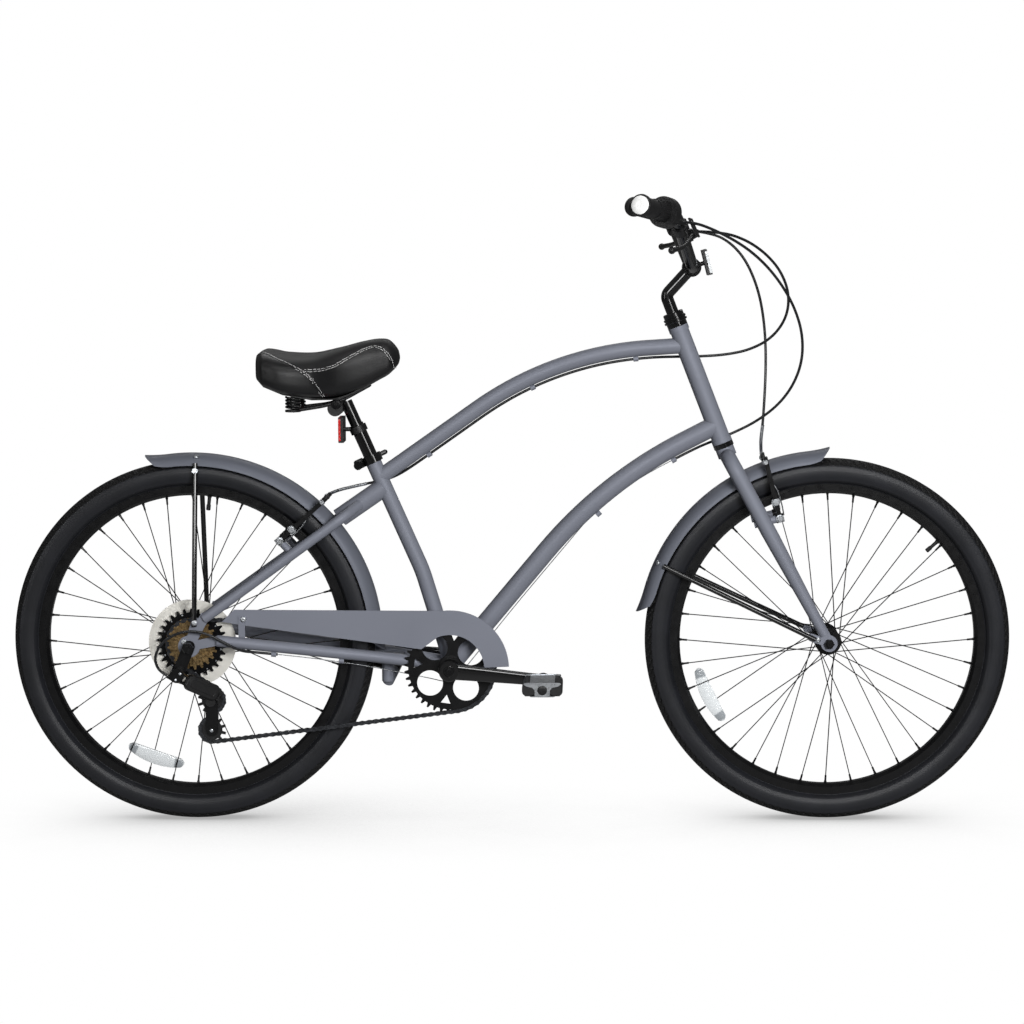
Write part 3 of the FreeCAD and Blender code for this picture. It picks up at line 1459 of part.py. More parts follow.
for name, pivot, axis, centre in (("front", front_pivot, front_brake_axis, front),
                                  ("rear", rear_pivot, rear_brake_axis, rear)):
    for word, side in (("left", 1), ("right", -1)):
        seat = pivot + LEFT * (side * S.brake_arm_spread)
        node("%s_brake_arm_%s" % (name, word), solid(brake_arm(seat, axis, side, centre)))

# Fenders and their stays

FENDER_SHARES = ((0.04, 0.4), (0.27, 0.8))


def fender(centre, sweep, tip):
    """Crowned strip with side skirts, swept round the wheel."""
    outer = [("fender_radius - fender_skirt", "fender_half_width")]
    for drop_share, width_share in FENDER_SHARES[::-1]:
        drop = "fender_radius - fender_skirt * %s" % drop_share
        outer.append((drop, "fender_half_width * %s" % width_share))
    outer.append(("fender_radius", "0"))
    outer += [(radius, "-(%s)" % along) for radius, along in outer[-2::-1]]
    inner = []
    for index, (radius, along) in enumerate(outer):
        share = FENDER_INNER_SHARES[index]
        inner.append(("%s - fender_wall * %s" % (radius, share[0]),
                      "0" if along == "0" else "%s + fender_wall * %s" % (along, share[1])))
    return turned(outer + inner[::-1], centre, LEFT, sweep, tip)


FENDER_INNER_SHARES = ((0, -1), (0.4, -0.9), (0.9, -0.4), (1, 0), (0.9, 0.4), (0.4, 0.9), (0, 1))

rear_fender = fender(rear, "rear_fender_sweep", S.rear_fender_tip)
front_fender = fender(front, "front_fender_sweep", S.front_fender_tip)
STRAP_BITE_SHARE = 0.5


def strap_to(centre, target_angle, end_radius):
    """Round bracket from a fender's crown outwards to what carries it."""
    way = ray(target_angle)
    begin = centre + way * (S.fender_radius - S.fender_wall * STRAP_BITE_SHARE)
    return bar(S.fender_bracket_radius, begin, centre + way * end_radius)


crown_offset = crown - front
crown_angle = math.degrees(math.atan2(crown_offset.z, crown_offset.x))
front_strap = strap_to(front, crown_angle, crown_offset.Length).cut(fork_shape)
wish_offset = wishbone.CenterOfMass - rear
wish_angle = math.degrees(math.atan2(wish_offset.z, wish_offset.x))
rear_strap = strap_to(rear, wish_angle, wish_offset.Length).cut(seat_stay_shape)
front_strap = min(front_strap.Solids, key=lambda part: (part.CenterOfMass - front).Length)
rear_strap = min(rear_strap.Solids, key=lambda part: (part.CenterOfMass - rear).Length)
node("front_fender", fused(front_fender, solid(front_strap)))
node("rear_fender", fused(rear_fender, solid(rear_strap)))


def fender_stays(centre, angle, foot, foot_side):
    """A pair of bars from the fender's skirts to the eyelets beside the axle."""
    radius = S.fender_radius - S.fender_skirt * STAY_HEAD_SHARE
    head_side = S.fender_half_width + S.fender_stay_radius + S.fit_gap
    shapes = []
    for side in (1, -1):
        head = centre + ray(angle) * radius + LEFT * (side * head_side)
        eye = foot + LEFT * (side * foot_side)
        rise = unit(vec(head.x, eye.y, head.z) - eye)
        points = [eye - rise * S.eyelet_radius, eye + rise * S.fender_stay_foot, head]
        shapes.append(tube(points, S.fender_stay_radius, [S.fender_stay_bend]))
    return solid(Part.makeCompound(shapes))


STAY_HEAD_SHARE = 0.75
rear_foot = rear + FORWARD * S.eyelet_ahead + UP * S.eyelet_rise
rear_foot_side = S.rear_spacing / 2 + S.dropout_thickness + S.fender_stay_radius + S.fit_gap
front_foot = front - FORWARD * S.fork_eyelet_back + UP * S.fork_eyelet_rise
front_foot_side = S.front_spacing / 2 + S.fork_plate + S.fender_stay_radius + S.fit_gap
node("rear_fender_stays", fender_stays(rear, S.rear_stay_angle, rear_foot, rear_foot_side))
node("front_fender_stays", fender_stays(front, S.front_stay_angle, front_foot, front_foot_side))

# Chain guard

GUARD_END_ANGLE = 2
GUARD_TOP_ANGLE = 97
GUARD_NOTCH_ANGLE = 111


def chain_guard():
    """Flat guard: two arcs round the bottom bracket run into a long tail over the chain."""

    def around(radius, angle):
        return bracket + ray(angle) * radius

    def behind(back, rise):
        return bracket - FORWARD * back + UP * rise

    outer = S.chain_guard_outer
    inner = S.chain_guard_inner
    corners = [around(outer, GUARD_TOP_ANGLE),
               behind(S.chain_guard_back - S.chain_guard_tail, S.chain_guard_tail_rise),
               behind(S.chain_guard_back, S.chain_guard_heel_rise),
               behind(S.chain_guard_foot_back, S.chain_guard_foot_rise),
               behind(S.chain_guard_point_back, S.chain_guard_point_rise),
               around(inner, GUARD_NOTCH_ANGLE)]
    edges = [Part.LineSegment(a, b).toShape() for a, b in zip(corners, corners[1:])]
    middle = (GUARD_END_ANGLE + GUARD_NOTCH_ANGLE) / 2
    edges.append(Part.Arc(corners[-1], around(inner, middle), around(inner, GUARD_END_ANGLE)).toShape())
    edges.append(Part.LineSegment(around(inner, GUARD_END_ANGLE), around(outer, GUARD_END_ANGLE)).toShape())
    middle = (GUARD_END_ANGLE + GUARD_TOP_ANGLE) / 2
    edges.append(Part.Arc(around(outer, GUARD_END_ANGLE), around(outer, middle), corners[0]).toShape())
    sheet_face = Part.Face(Part.Wire(edges))
    sheet_face.translate(LEFT * (S.chain_guard_thickness / 2 - S.chain_guard_side))
    guard = sheet_face.extrude(LEFT * -S.chain_guard_thickness)
    tab_foot = behind(S.chain_guard_tab_back, 0)
    stay_line = chain_stay_path(-1)
    share = (tab_foot.x - stay_line[1].x) / (stay_line[2].x - stay_line[1].x)
    stay = stay_line[1] + (stay_line[2] - stay_line[1]) * share
    tab_side = -S.chain_guard_side - S.chain_guard_thickness - S.chain_guard_thickness / 2
    tab_rise = S.chain_guard_tail_rise - S.chain_guard_tab
    tab_height = bracket.z + tab_rise - stay.z
    tab = Part.makeBox(S.chain_guard_tab, S.chain_guard_thickness, tab_height,
                       vec(stay.x - S.chain_guard_tab / 2, tab_side, stay.z))
    tab = tab.cut(chain_stay_shape)
    tab = max(tab.Solids, key=lambda part: part.CenterOfMass.z)
    hook = behind(S.chain_guard_strap_back, S.chain_guard_strap_rise)
    inner = S.chain_guard_side - S.chain_guard_thickness / 2
    strap = Part.makeBox(S.chain_guard_tab, inner, S.chain_guard_thickness,
                         vec(hook.x - S.chain_guard_tab / 2, -inner, hook.z))
    strap = strap.cut(seat_outer)
    strap = min(strap.Solids, key=lambda part: part.CenterOfMass.y)
    return solid(Part.makeCompound([guard, tab, strap]))


node("chain_guard", chain_guard())

# Kickstand


def kickstand_leg():
    outward = kick_axis * (1 if kick_axis.y > 0 else -1)
    start = kick_pivot - outward * (S.kickstand_eye_length / 2)
    eye = Part.makeCylinder(S.kickstand_eye_radius, S.kickstand_eye_length, start, outward)
    leg = bar(S.kickstand_radius, kick_pivot, kick_pivot + kick_folded * S.kickstand_length)
    foot = Part.makeSphere(S.kickstand_radius, kick_pivot + kick_folded * S.kickstand_length)
    bore = Part.makeCylinder(S.kickstand_pin_radius + S.bearing_gap, S.kickstand_eye_length, start, outward)
    return eye.fuse(leg).fuse(foot).cut(bore)


node("kickstand_leg", solid(kickstand_leg()))

# Seat collar and quick-release lever

collar_base = seat_top - seat_upper * S.collar_height
collar_rear = unit(LEFT.cross(seat_upper))
if collar_rear.x > 0:
    collar_rear = collar_rear * -1
collar_middle = seat_top - seat_upper * (S.collar_height / 2)
quick_pivot = collar_middle + collar_rear * S.collar_ear_back + LEFT * S.quick_pivot_side


def seat_collar():
    """Clamp band with rear ears, a knurled nut on the right and a forked lever seat on the left."""
    band = Part.makeCylinder(S.collar_radius, S.collar_height, collar_base, seat_upper)
    ear = Part.makeBox(S.collar_ear_back + S.quick_barrel_radius, S.collar_ear_width, S.collar_height,
                       vec(0, -S.collar_ear_width / 2, -S.collar_height / 2))
    ear.Placement = place(collar_middle, seat_upper, collar_rear)
    nut_seat = collar_middle + collar_rear * S.collar_ear_back - LEFT * (S.collar_ear_width / 2)
    nut = Part.makeCylinder(S.collar_nut_radius, S.collar_nut_length, nut_seat, -LEFT)
    shape = band.fuse(ear).fuse(nut)
    gap = S.quick_barrel_height / 2 + S.fit_gap
    for level in (gap, -gap - S.quick_plate):
        fork_plate = Part.makeBox(2 * S.quick_barrel_radius, S.quick_pivot_side + S.quick_pin_radius * 2,
                                  S.quick_plate, vec(-S.quick_barrel_radius, 0, level))
        where = place(collar_middle + collar_rear * S.collar_ear_back, seat_upper, collar_rear)
        if where.Rotation.multVec(LEFT).y < 0:
            fork_plate.translate(vec(0, -S.quick_pivot_side - S.quick_pin_radius * 2, 0))
        fork_plate.Placement = where.multiply(fork_plate.Placement)
        shape = shape.fuse(fork_plate)
    pin_foot = quick_pivot - seat_upper * gap
    shape = shape.fuse(bar(S.quick_pin_radius, pin_foot, quick_pivot + seat_upper * gap))
    bore = Part.makeCylinder(S.seat_tube_radius, S.collar_height + 2 * S.cut_overrun,
                             collar_base - seat_upper * S.cut_overrun, seat_upper)
    return shape.cut(bore)


node("seat_collar", solid(seat_collar()))
QUICK_AIM_SHARES = (0.94, 0.34)


def quick_release():
    start = quick_pivot - seat_upper * (S.quick_barrel_height / 2)
    barrel = Part.makeCylinder(S.quick_barrel_radius, S.quick_barrel_height, start, seat_upper)
    aim = unit(collar_rear * -QUICK_AIM_SHARES[0] + LEFT * QUICK_AIM_SHARES[1])
    tip = quick_pivot + aim * S.quick_lever_length
    arm = bar(S.quick_lever_radius, quick_pivot, tip)
    bore = Part.makeCylinder(S.quick_pin_radius + S.bearing_gap, S.quick_barrel_height, start, seat_upper)
    return barrel.fuse(arm).fuse(Part.makeSphere(S.quick_lever_radius, tip)).cut(bore)


node("quick_release_lever", solid(quick_release()))

# Derailleur

hanger_face = -(S.rear_spacing / 2 + S.dropout_thickness)
SPOUT_AIM_SHARES = (-0.86, 0, 0.5)
SPOUT_SEAT_SHARES = (-0.3, 0, -0.7)


def hanger():
    """Claw plate under the axle nut, with the upper knuckle and the ears of the link's pin."""
    offset = upper_knuckle - rear
    turn = math.degrees(math.atan2(offset.z, offset.x))
    face = rear + LEFT * (hanger_face - S.hanger_thickness)
    strap = Part.makeBox(offset.Length, S.hanger_thickness, S.hanger_width, vec(0, 0, -S.hanger_width / 2))
    strap.Placement = FreeCAD.Placement(face, FreeCAD.Rotation(LEFT, -turn))
    shape = strap.fuse(Part.makeCylinder(S.hanger_width / 2, S.hanger_thickness, face, LEFT))
    barrel = Part.makeCylinder(S.upper_knuckle_radius, S.upper_knuckle_length + S.hanger_thickness,
                               upper_knuckle + LEFT * hanger_face, -LEFT)
    shape = shape.fuse(barrel)
    spout = upper_knuckle + LEFT * KNUCKLE_SIDE + vec(*SPOUT_SEAT_SHARES) * S.upper_knuckle_radius
    spout_tip = spout + unit(vec(*SPOUT_AIM_SHARES)) * (S.upper_knuckle_radius + S.hanger_thickness)
    print("derailleur spout ends at %.1f %.1f %.1f" % tuple(spout_tip))
    shape = shape.fuse(bar(S.adjuster_radius, spout, spout_tip))
    gap = S.link_eye_height / 2 + S.fit_gap
    for level in (gap, -gap - S.link_ear):
        ear = Part.makeBox(S.link_pivot_reach + S.link_eye_radius, 2 * S.link_eye_radius, S.link_ear,
                           vec(-S.link_pivot_reach, -S.link_eye_radius, level))
        ear.Placement = place(upper_pivot, link_rise, link_way)
        shape = shape.fuse(ear)
    shape = shape.fuse(bar(S.link_pin_radius, upper_pivot - link_rise * gap, upper_pivot + link_rise * gap))
    return shape.cut(Part.makeCylinder(S.axle_radius + S.bearing_gap, S.hanger_thickness, face, LEFT))


def link_eye(pivot):
    start = pivot - link_rise * (S.link_eye_height / 2)
    return Part.makeCylinder(S.link_eye_radius, S.link_eye_height, start, link_rise)


def derailleur_link():
    """Broad link that swings the cage across the sprockets."""
    body = Part.makeBox(S.link_length, S.link_thickness, S.link_eye_height,
                        vec(0, -S.link_thickness / 2, -S.link_eye_height / 2))
    body.Placement = place(upper_pivot, link_rise, link_run)
    shape = body.fuse(link_eye(upper_pivot)).fuse(link_eye(lower_pivot))
    for pivot in (upper_pivot, lower_pivot):
        start = pivot - link_rise * S.link_eye_height
        shape = shape.cut(Part.makeCylinder(S.link_pin_radius + S.bearing_gap, 2 * S.link_eye_height, start,
                                            link_rise))
    return shape


CAGE_OUTER = -(S.chain_line + S.cage_half_gap + S.cage_plate)


def lower_knuckle():
    """Knuckle that carries the cage, with ears for the link's lower pin."""
    face = guide + LEFT * (CAGE_OUTER - S.fit_gap + S.chain_line)
    barrel = Part.makeCylinder(S.lower_knuckle_radius, S.lower_knuckle_length, face, -LEFT)
    gap = S.link_eye_height / 2 + S.fit_gap
    shape = barrel
    for level in (gap, -gap - S.link_ear):
        ear = Part.makeCylinder(S.link_eye_radius, S.link_ear, lower_pivot + link_rise * level, link_rise)
        shape = shape.fuse(ear)
    back = Part.makeBox(S.link_ear, 2 * S.link_eye_radius, 2 * (gap + S.link_ear),
                        vec(S.link_eye_radius + S.fit_gap * 4, -S.link_eye_radius, -gap - S.link_ear))
    back.Placement = place(lower_pivot, link_rise, link_way)
    shape = shape.fuse(back)
    for level in (gap, -gap - S.link_ear):
        bridge = Part.makeBox(S.link_eye_radius * 2, 2 * S.link_eye_radius, S.link_ear,
                              vec(0, -S.link_eye_radius, level))
        bridge.Placement = place(lower_pivot, link_rise, link_way)
        shape = shape.fuse(bridge)
    shape = shape.fuse(bar(S.link_pin_radius, lower_pivot - link_rise * gap, lower_pivot + link_rise * gap))
    hole = Part.makeCylinder(S.cage_pivot_radius + S.bearing_gap, S.cage_pivot_length + S.fit_gap, face,
                             -LEFT)
    return shape.cut(hole)


def cage():
    """Two plates on either side of the chain, joined by the pulley bolts, and the stub that it swings on."""
    run = tension - guide
    turn = math.degrees(math.atan2(run.z, run.x))
    half = S.cage_width / 2
    shape = None
    for side in (1, -1):
        inner = -S.chain_line + side * S.cage_half_gap
        start = inner if side > 0 else inner - S.cage_plate
        face = vec(guide.x, start, guide.z)
        strap = Part.makeBox(run.Length, S.cage_plate, S.cage_width, vec(0, 0, -half))
        strap.Placement = FreeCAD.Placement(face, FreeCAD.Rotation(LEFT, -turn))
        form = strap.fuse(Part.makeCylinder(half, S.cage_plate, face, LEFT))
        form = form.fuse(Part.makeCylinder(half, S.cage_plate, face + run, LEFT))
        shape = form if shape is None else shape.fuse(form)
    for wheel in (guide, tension):
        start = wheel - LEFT * S.cage_half_gap
        shape = shape.fuse(Part.makeCylinder(S.pulley_bolt_radius, 2 * S.cage_half_gap, start, LEFT))
    stub_foot = vec(guide.x, CAGE_OUTER, guide.z)
    stub = Part.makeCylinder(S.cage_pivot_radius, S.cage_pivot_length, stub_foot, -LEFT)
    return shape.fuse(stub)


node("derailleur_hanger", solid(hanger()))
node("derailleur_link", solid(derailleur_link()))
node("derailleur_knuckle", solid(lower_knuckle()))
node("derailleur_cage", solid(cage()))
pulley_bore = "pulley_bolt_radius + bearing_gap"
node("tension_pulley", toothed("pulley_teeth", "pulley_thickness", pulley_bore, tension, first_gap(4)))
node("guide_pulley", toothed("pulley_teeth", "pulley_thickness", pulley_bore, guide, first_gap(6)))

# Seat post and rear reflector

lug = seat_top + seat_upper * S.post_lug_rise + collar_rear * S.post_lug_back


def seat_post():
    """Post with a narrower neck and the serrated head that the saddle clamps to."""
    shape = bar(S.post_radius, seat_top - seat_upper * S.post_insert, seat_top + seat_upper * S.post_rise)
    shape = shape.fuse(bar(S.post_neck_radius, seat_top, seat_top + seat_upper * S.post_neck_rise))
    head = Part.makeCylinder(S.post_lug_radius, S.post_lug_width, lug - LEFT * (S.post_lug_width / 2), LEFT)
    web = Part.makeBox(S.post_lug_back, S.post_web_width, S.post_web_height,
                       vec(0, -S.post_web_width / 2, -S.post_web_height / 2))
    web.Placement = place(seat_top + seat_upper * S.post_lug_rise, seat_upper, collar_rear)
    hole = Part.makeCylinder(S.saddle_pin_radius + S.bearing_gap, 2 * S.post_lug_width,
                             lug - LEFT * S.post_lug_width, LEFT)
    return shape.fuse(head).fuse(web).cut(hole)


node("seat_post", solid(seat_post()))
band_middle = seat_top + seat_upper * S.rear_reflector_rise
band_start = band_middle - seat_upper * (S.reflector_band_height / 2)
band = Part.makeCylinder(S.reflector_band_radius, S.reflector_band_height, band_start, seat_upper)
lens_middle = band_middle - FORWARD * S.rear_reflector_back
rear_lens = reflector(lens_middle, -FORWARD, band_middle).fuse(band)
post_core = bar(S.post_radius, seat_top - seat_upper * S.post_rise, seat_top + seat_upper * S.post_neck_rise)
node("rear_reflector", solid(rear_lens.cut(post_core)))

# Saddle: each row gives its station, half width, underside and crown as shares of the saddle's sizes

SADDLE_SHARES = ((0, 0.62, 0.36, 0.78), (0.06, 0.88, 0.27, 0.87), (0.2, 1, 0.13, 0.83),
                 (0.4, 0.88, 0.03, 0.76), (0.58, 0.56, 0.02, 0.8), (0.76, 0.37, 0.22, 0.94),
                 (0.92, 0.3, 0.47, 1), (1, 0.17, 0.66, 0.86))
SADDLE_TUCK_SHARE = 0.8
SADDLE_SHOULDER_SHARE = 0.72
PAN_WIDTH_SHARE = 0.7
saddle_tail = vec(lug.x - S.saddle_tail_back, 0, lug.z + S.saddle_base_rise)


def saddle_section(row):
    """Outline across the saddle: flat underside, drawn-in sides, crowned top."""
    station, width, low, high = row
    half = S.saddle_width / 2 * width
    x = saddle_tail.x + S.saddle_length * station
    bottom = saddle_tail.z + S.saddle_height * low
    top = saddle_tail.z + S.saddle_height * high
    side = bottom + (top - bottom) * 0.5
    shoulder = bottom + (top - bottom) * SADDLE_SHOULDER_SHARE
    tuck = half * SADDLE_TUCK_SHARE
    edge = half * SADDLE_SHOULDER_SHARE
    edges = [Part.LineSegment(vec(x, -tuck, bottom), vec(x, tuck, bottom)).toShape(),
             Part.Arc(vec(x, tuck, bottom), vec(x, half, side), vec(x, edge, shoulder)).toShape(),
             Part.Arc(vec(x, edge, shoulder), vec(x, 0, top), vec(x, -edge, shoulder)).toShape(),
             Part.Arc(vec(x, -edge, shoulder), vec(x, -half, side), vec(x, -tuck, bottom)).toShape()]
    return Part.Wire(edges)


def saddle_cushion():
    return Part.makeLoft([saddle_section(row) for row in SADDLE_SHARES], True, False)


def pan_section(row):
    station, width, low, high = row
    half = S.saddle_width / 2 * width * PAN_WIDTH_SHARE
    x = saddle_tail.x + S.saddle_length * station
    top = saddle_tail.z + S.saddle_height * low + S.saddle_pan
    bottom = top - 2 * S.saddle_pan
    corners = [vec(x, -half, bottom), vec(x, half, bottom), vec(x, half, top), vec(x, -half, top)]
    return Part.makePolygon(corners + corners[:1])


def saddle_underside(x):
    """Height of the pan's underside at a station."""
    share = (x - saddle_tail.x) / S.saddle_length
    for (a, wa, low_a, ta), (b, wb, low_b, tb) in zip(SADDLE_SHARES, SADDLE_SHARES[1:]):
        if share <= b:
            low = low_a + (low_b - low_a) * (share - a) / (b - a)
            return saddle_tail.z + S.saddle_height * low - S.saddle_pan
    return saddle_tail.z + S.saddle_height - S.saddle_pan


SADDLE_SHAPE = saddle_cushion()
node("saddle_cushion", solid(SADDLE_SHAPE))
rail_middle = lug + UP * S.rail_rise
RAIL_SIDE = S.post_lug_width / 2 + S.fit_gap + S.saddle_cheek_width / 2
spring_x = lug.x - S.rail_back
spring_low = lug.z + S.rail_back_rise
spring_high = saddle_underside(spring_x)


def saddle_frame():
    """Pan, two rails, the clamp cheeks with their bolt, and the plates that the springs stand on."""
    rows = SADDLE_SHARES[1:-1]
    seat = SADDLE_SHAPE.copy()
    seat.translate(UP * -S.fit_gap)
    pan = Part.makeLoft([pan_section(row) for row in rows], True, True).cut(seat)
    pan = max(pan.Solids, key=lambda part: part.Volume)
    shape = Part.makeCylinder(S.saddle_pin_radius, S.post_lug_width + 2 * S.saddle_cheek_width,
                              lug - LEFT * (S.post_lug_width / 2 + S.saddle_cheek_width), LEFT)
    for side in (1, -1):
        face = lug + LEFT * (side * (S.post_lug_width / 2 + S.fit_gap))
        shape = shape.fuse(Part.makeCylinder(S.saddle_cheek_radius, S.saddle_cheek_width, face, LEFT * side))
        nose = lug + FORWARD * S.rail_front_ahead
        nose = vec(nose.x, side * RAIL_SIDE * 0.5, saddle_underside(nose.x))
        grip = rail_middle + LEFT * (side * RAIL_SIDE)
        tail = vec(spring_x, side * S.spring_spread, spring_low - S.spring_seat / 2)
        shape = shape.fuse(tube([nose, grip, tail], S.rail_radius))
        seat = Part.makeCylinder(S.spring_radius + S.spring_wire_radius, S.spring_seat,
                                 vec(spring_x, side * S.spring_spread, spring_low - S.spring_seat), UP)
        shape = shape.fuse(seat)
    return shape.fuse(pan)


node("saddle_frame", solid(saddle_frame()))


def bend_through(start, heading, end):
    """Arc that leaves a point in a given direction and reaches another."""
    chord = end - start
    along = unit(chord)
    aside = heading - along * heading.dot(along)
    tilt = heading.getAngle(chord)
    middle = start + chord * 0.5 + unit(aside) * (chord.Length / 2 * math.tan(tilt / 2))
    return Part.Arc(start, middle, end).toShape()


def biarc(start, heading, end, leaving):
    """Two arcs that join two points with given directions."""
    span = end - start
    both = heading + leaving
    spread = 2 * (1 - heading.dot(leaving))
    dot = span.dot(both)
    reach = (-dot + math.sqrt(dot ** 2 + spread * span.dot(span))) / spread
    joint = (start + end + (heading - leaving) * reach) * 0.5
    first = bend_through(start, heading, joint)
    second = bend_through(end, leaving * -1, joint)
    second.reverse()
    halfway = second.valueAt((second.FirstParameter + second.LastParameter) / 2)
    return first, Part.Arc(joint, halfway, end).toShape()


def coil_spring(side):
    """One unbroken wire wound in a helix, made of quarter-turn arcs."""
    base = spring_low + S.spring_wire_radius + S.fit_gap
    rise = spring_high - spring_low - 2 * (S.spring_wire_radius + S.fit_gap)
    middle = vec(spring_x, side * S.spring_spread, base)
    quarters = int(round(S.spring_turns * 4))
    climb = rise / quarters
    slope = climb / (math.pi / 2)

    def spot(step):
        turn = step * math.pi / 2
        aside = vec(math.cos(turn), side * math.sin(turn), 0)
        return middle + aside * S.spring_radius + UP * (climb * step)

    def heading(step):
        turn = step * math.pi / 2
        return unit(vec(-math.sin(turn), side * math.cos(turn), 0) * S.spring_radius + UP * slope)

    edges = []
    for step in range(quarters):
        edges += biarc(spot(step), heading(step), spot(step + 1), heading(step + 1))
    path = Part.Wire(edges)
    ring = Part.Wire(Part.makeCircle(S.spring_wire_radius, spot(0), heading(0)))
    print("spring gap between turns %.2f" % (climb * 4 - 2 * S.spring_wire_radius))
    return path.makePipeShell([ring], True, False)


node("saddle_springs", solid(Part.makeCompound([coil_spring(1), coil_spring(-1)])))

# Cables, each along a route chosen by hand



def cable(points):
    """Housing along a route; the bends are printed."""
    path = route(points)
    radii = [edge.Curve.Radius for edge in path.Edges if edge.Curve.TypeId == "Part::GeomCircle"]
    print("cable %.0f long, bends %s" % (path.Length, " ".join("%.0f" % radius for radius in radii)))
    return tube(points, S.cable_radius)


def points_of(rows):
    return [vec(*row) for row in rows]


REAR_BRAKE_ROUTE = ((336.7, -136.9, 1074.4), (380, -106, 1073), (422, -85, 1060), (459, -66, 1036),
                    (489, -45, 1003), (506, -24, 961), (503, -3, 918), (478, 12, 881), (438, 22, 859),
                    (392, 26, 850), (344, 26, 847.5), (298, 17, 847.8), (258.1, 0, 847.6), (207.5, 0, 842.7),
                    (157.5, 0, 833.4), (108.5, 0, 819.8), (58.9, 0, 801.2), (13.1, 0, 779.2),
                    (-30.6, 0, 753.2), (-81.5, 0, 717.4), (-128, 0, 685), (-176, 0.6, 651.3),
                    (-204, 13, 633.5), (-228, 25, 624), (-262, 27, 617), (-294, 29, 610), (-316, 34, 604))
SHIFT_FRONT_ROUTE = ((303, -202.2, 1090.7), (315, -180, 1091), (340, -159, 1087), (376, -141, 1072),
                     (418, -121, 1049), (456, -100, 1018), (488, -78, 980), (513, -56, 938), (529, -34, 891),
                     (531, -13, 842), (517, 4, 797), (490, 15, 759), (450, 24, 728), (406, 30, 706),
                     (366, 24, 691), (336, 6, 680.2), (298, 0, 660.9))
SHIFT_WIRE_ROUTE = ((298, 0, 660.9), (159, 0, 560.4), (-92, -5, 258), (-310.7, -47.6, 301.1),
                    (-420, -60.8, 314.6))
SHIFT_REAR_ROUTE = ((-420, -60.8, 314.6), (-458, -65.3, 319.3), (-486, -80, 324), (-514, -88, 341),
                    (-542, -90, 357), (-574, -92, 364), (-606, -93, 356), (-630, -93, 337), (-639, -92, 316),
                    (-637, -91, 300), (-629.5, -90, 288), (-618.2, -88, 280.5))
FRONT_BRAKE_ROUTE = ((336.7, 136.9, 1074.4), (376, 111, 1069), (404, 94, 1054), (427, 77, 1030),
                     (444, 60, 998), (457, 44, 958), (464, 30, 914), (467, 19, 867), (466.5, 10, 818),
                     (464, 4, 770), (461, 1.5, 726), (458, 4, 701), (458.5, 12, 683), (460, 25, 672),
                     (461.5, 35.4, 668))
wire_bends = [S.wire_long_bend, S.wire_guide_bend, S.wire_long_bend]
shift_wire = tube(points_of(SHIFT_WIRE_ROUTE), S.wire_radius, wire_bends)
shift_pieces = [cable(points_of(SHIFT_FRONT_ROUTE)), shift_wire, cable(points_of(SHIFT_REAR_ROUTE))]
node("rear_brake_cable", solid(cable(points_of(REAR_BRAKE_ROUTE))))
node("shift_cable", solid(Part.makeCompound(shift_pieces)))
node("front_brake_cable", solid(cable(points_of(FRONT_BRAKE_ROUTE))))

# Checks and files

doc.recompute()
for piece in doc.Objects:
    if "Invalid" in piece.State or "Error" in piece.State:
        raise ValueError("%s failed to build" % piece.Label)
for label, piece in NODES.items():
    if piece.Shape.isNull() or not piece.Shape.isValid():
        raise ValueError("%s has no valid shape" % label)
print("kickstand swings %.1f degrees about %s" % (kick_angle, kick_axis))
print("cage angle %.2f, %d links" % (cage_angle, LINK_COUNT))
os.makedirs("parts", exist_ok=True)
for label, piece in NODES.items():
    piece.Shape.exportStep("parts/%s.step" % label)
    print(label, len(piece.Shape.Solids), "solids")
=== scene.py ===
"""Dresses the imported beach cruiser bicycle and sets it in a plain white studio.

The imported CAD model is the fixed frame: +X is forward, +Y is the rider's left, +Z is up, and the
origin lies on the ground midway between the axles.  Each sub-assembly is a class whose fields are
its sizes in millimetres, and MM turns these to metres.
"""
import logging
import math
from dataclasses import dataclass
from enum import Enum
from itertools import product
from typing import Optional, Sequence

import bmesh
import bpy
import numpy as np
from mathutils import Matrix, Vector


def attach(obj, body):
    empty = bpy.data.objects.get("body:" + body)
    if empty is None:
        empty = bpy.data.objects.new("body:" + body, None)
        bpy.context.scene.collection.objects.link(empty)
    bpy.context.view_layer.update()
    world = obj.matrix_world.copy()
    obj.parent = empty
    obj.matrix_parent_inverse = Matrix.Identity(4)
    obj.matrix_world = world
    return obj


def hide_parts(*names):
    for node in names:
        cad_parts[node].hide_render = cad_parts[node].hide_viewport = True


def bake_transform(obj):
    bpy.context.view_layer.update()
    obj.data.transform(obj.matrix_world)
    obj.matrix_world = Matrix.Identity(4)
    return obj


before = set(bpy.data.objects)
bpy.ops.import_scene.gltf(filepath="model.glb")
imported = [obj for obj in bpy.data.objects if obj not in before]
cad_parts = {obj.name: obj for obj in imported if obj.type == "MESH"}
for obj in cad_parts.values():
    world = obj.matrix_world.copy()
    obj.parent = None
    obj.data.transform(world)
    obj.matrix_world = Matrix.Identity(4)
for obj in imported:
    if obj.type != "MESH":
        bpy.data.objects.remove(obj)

LOG = logging.getLogger("cruiser")
MM = 0.001
# The usual angle in degrees past which an edge is sharp.
CREASE = 35.0

Colour = tuple[float, float, float, float]
Outline = list[tuple[float, float]]
Triple = tuple[float, float, float]
Seed = tuple[Vector, Vector, Vector]
Thing = bpy.types.Object
Tree = bpy.types.NodeTree
Socket = bpy.types.NodeSocket
Sockets = bpy.types.bpy_prop_collection

# The place of a helper shape that is copied later.
HERE = Matrix.Identity(4)


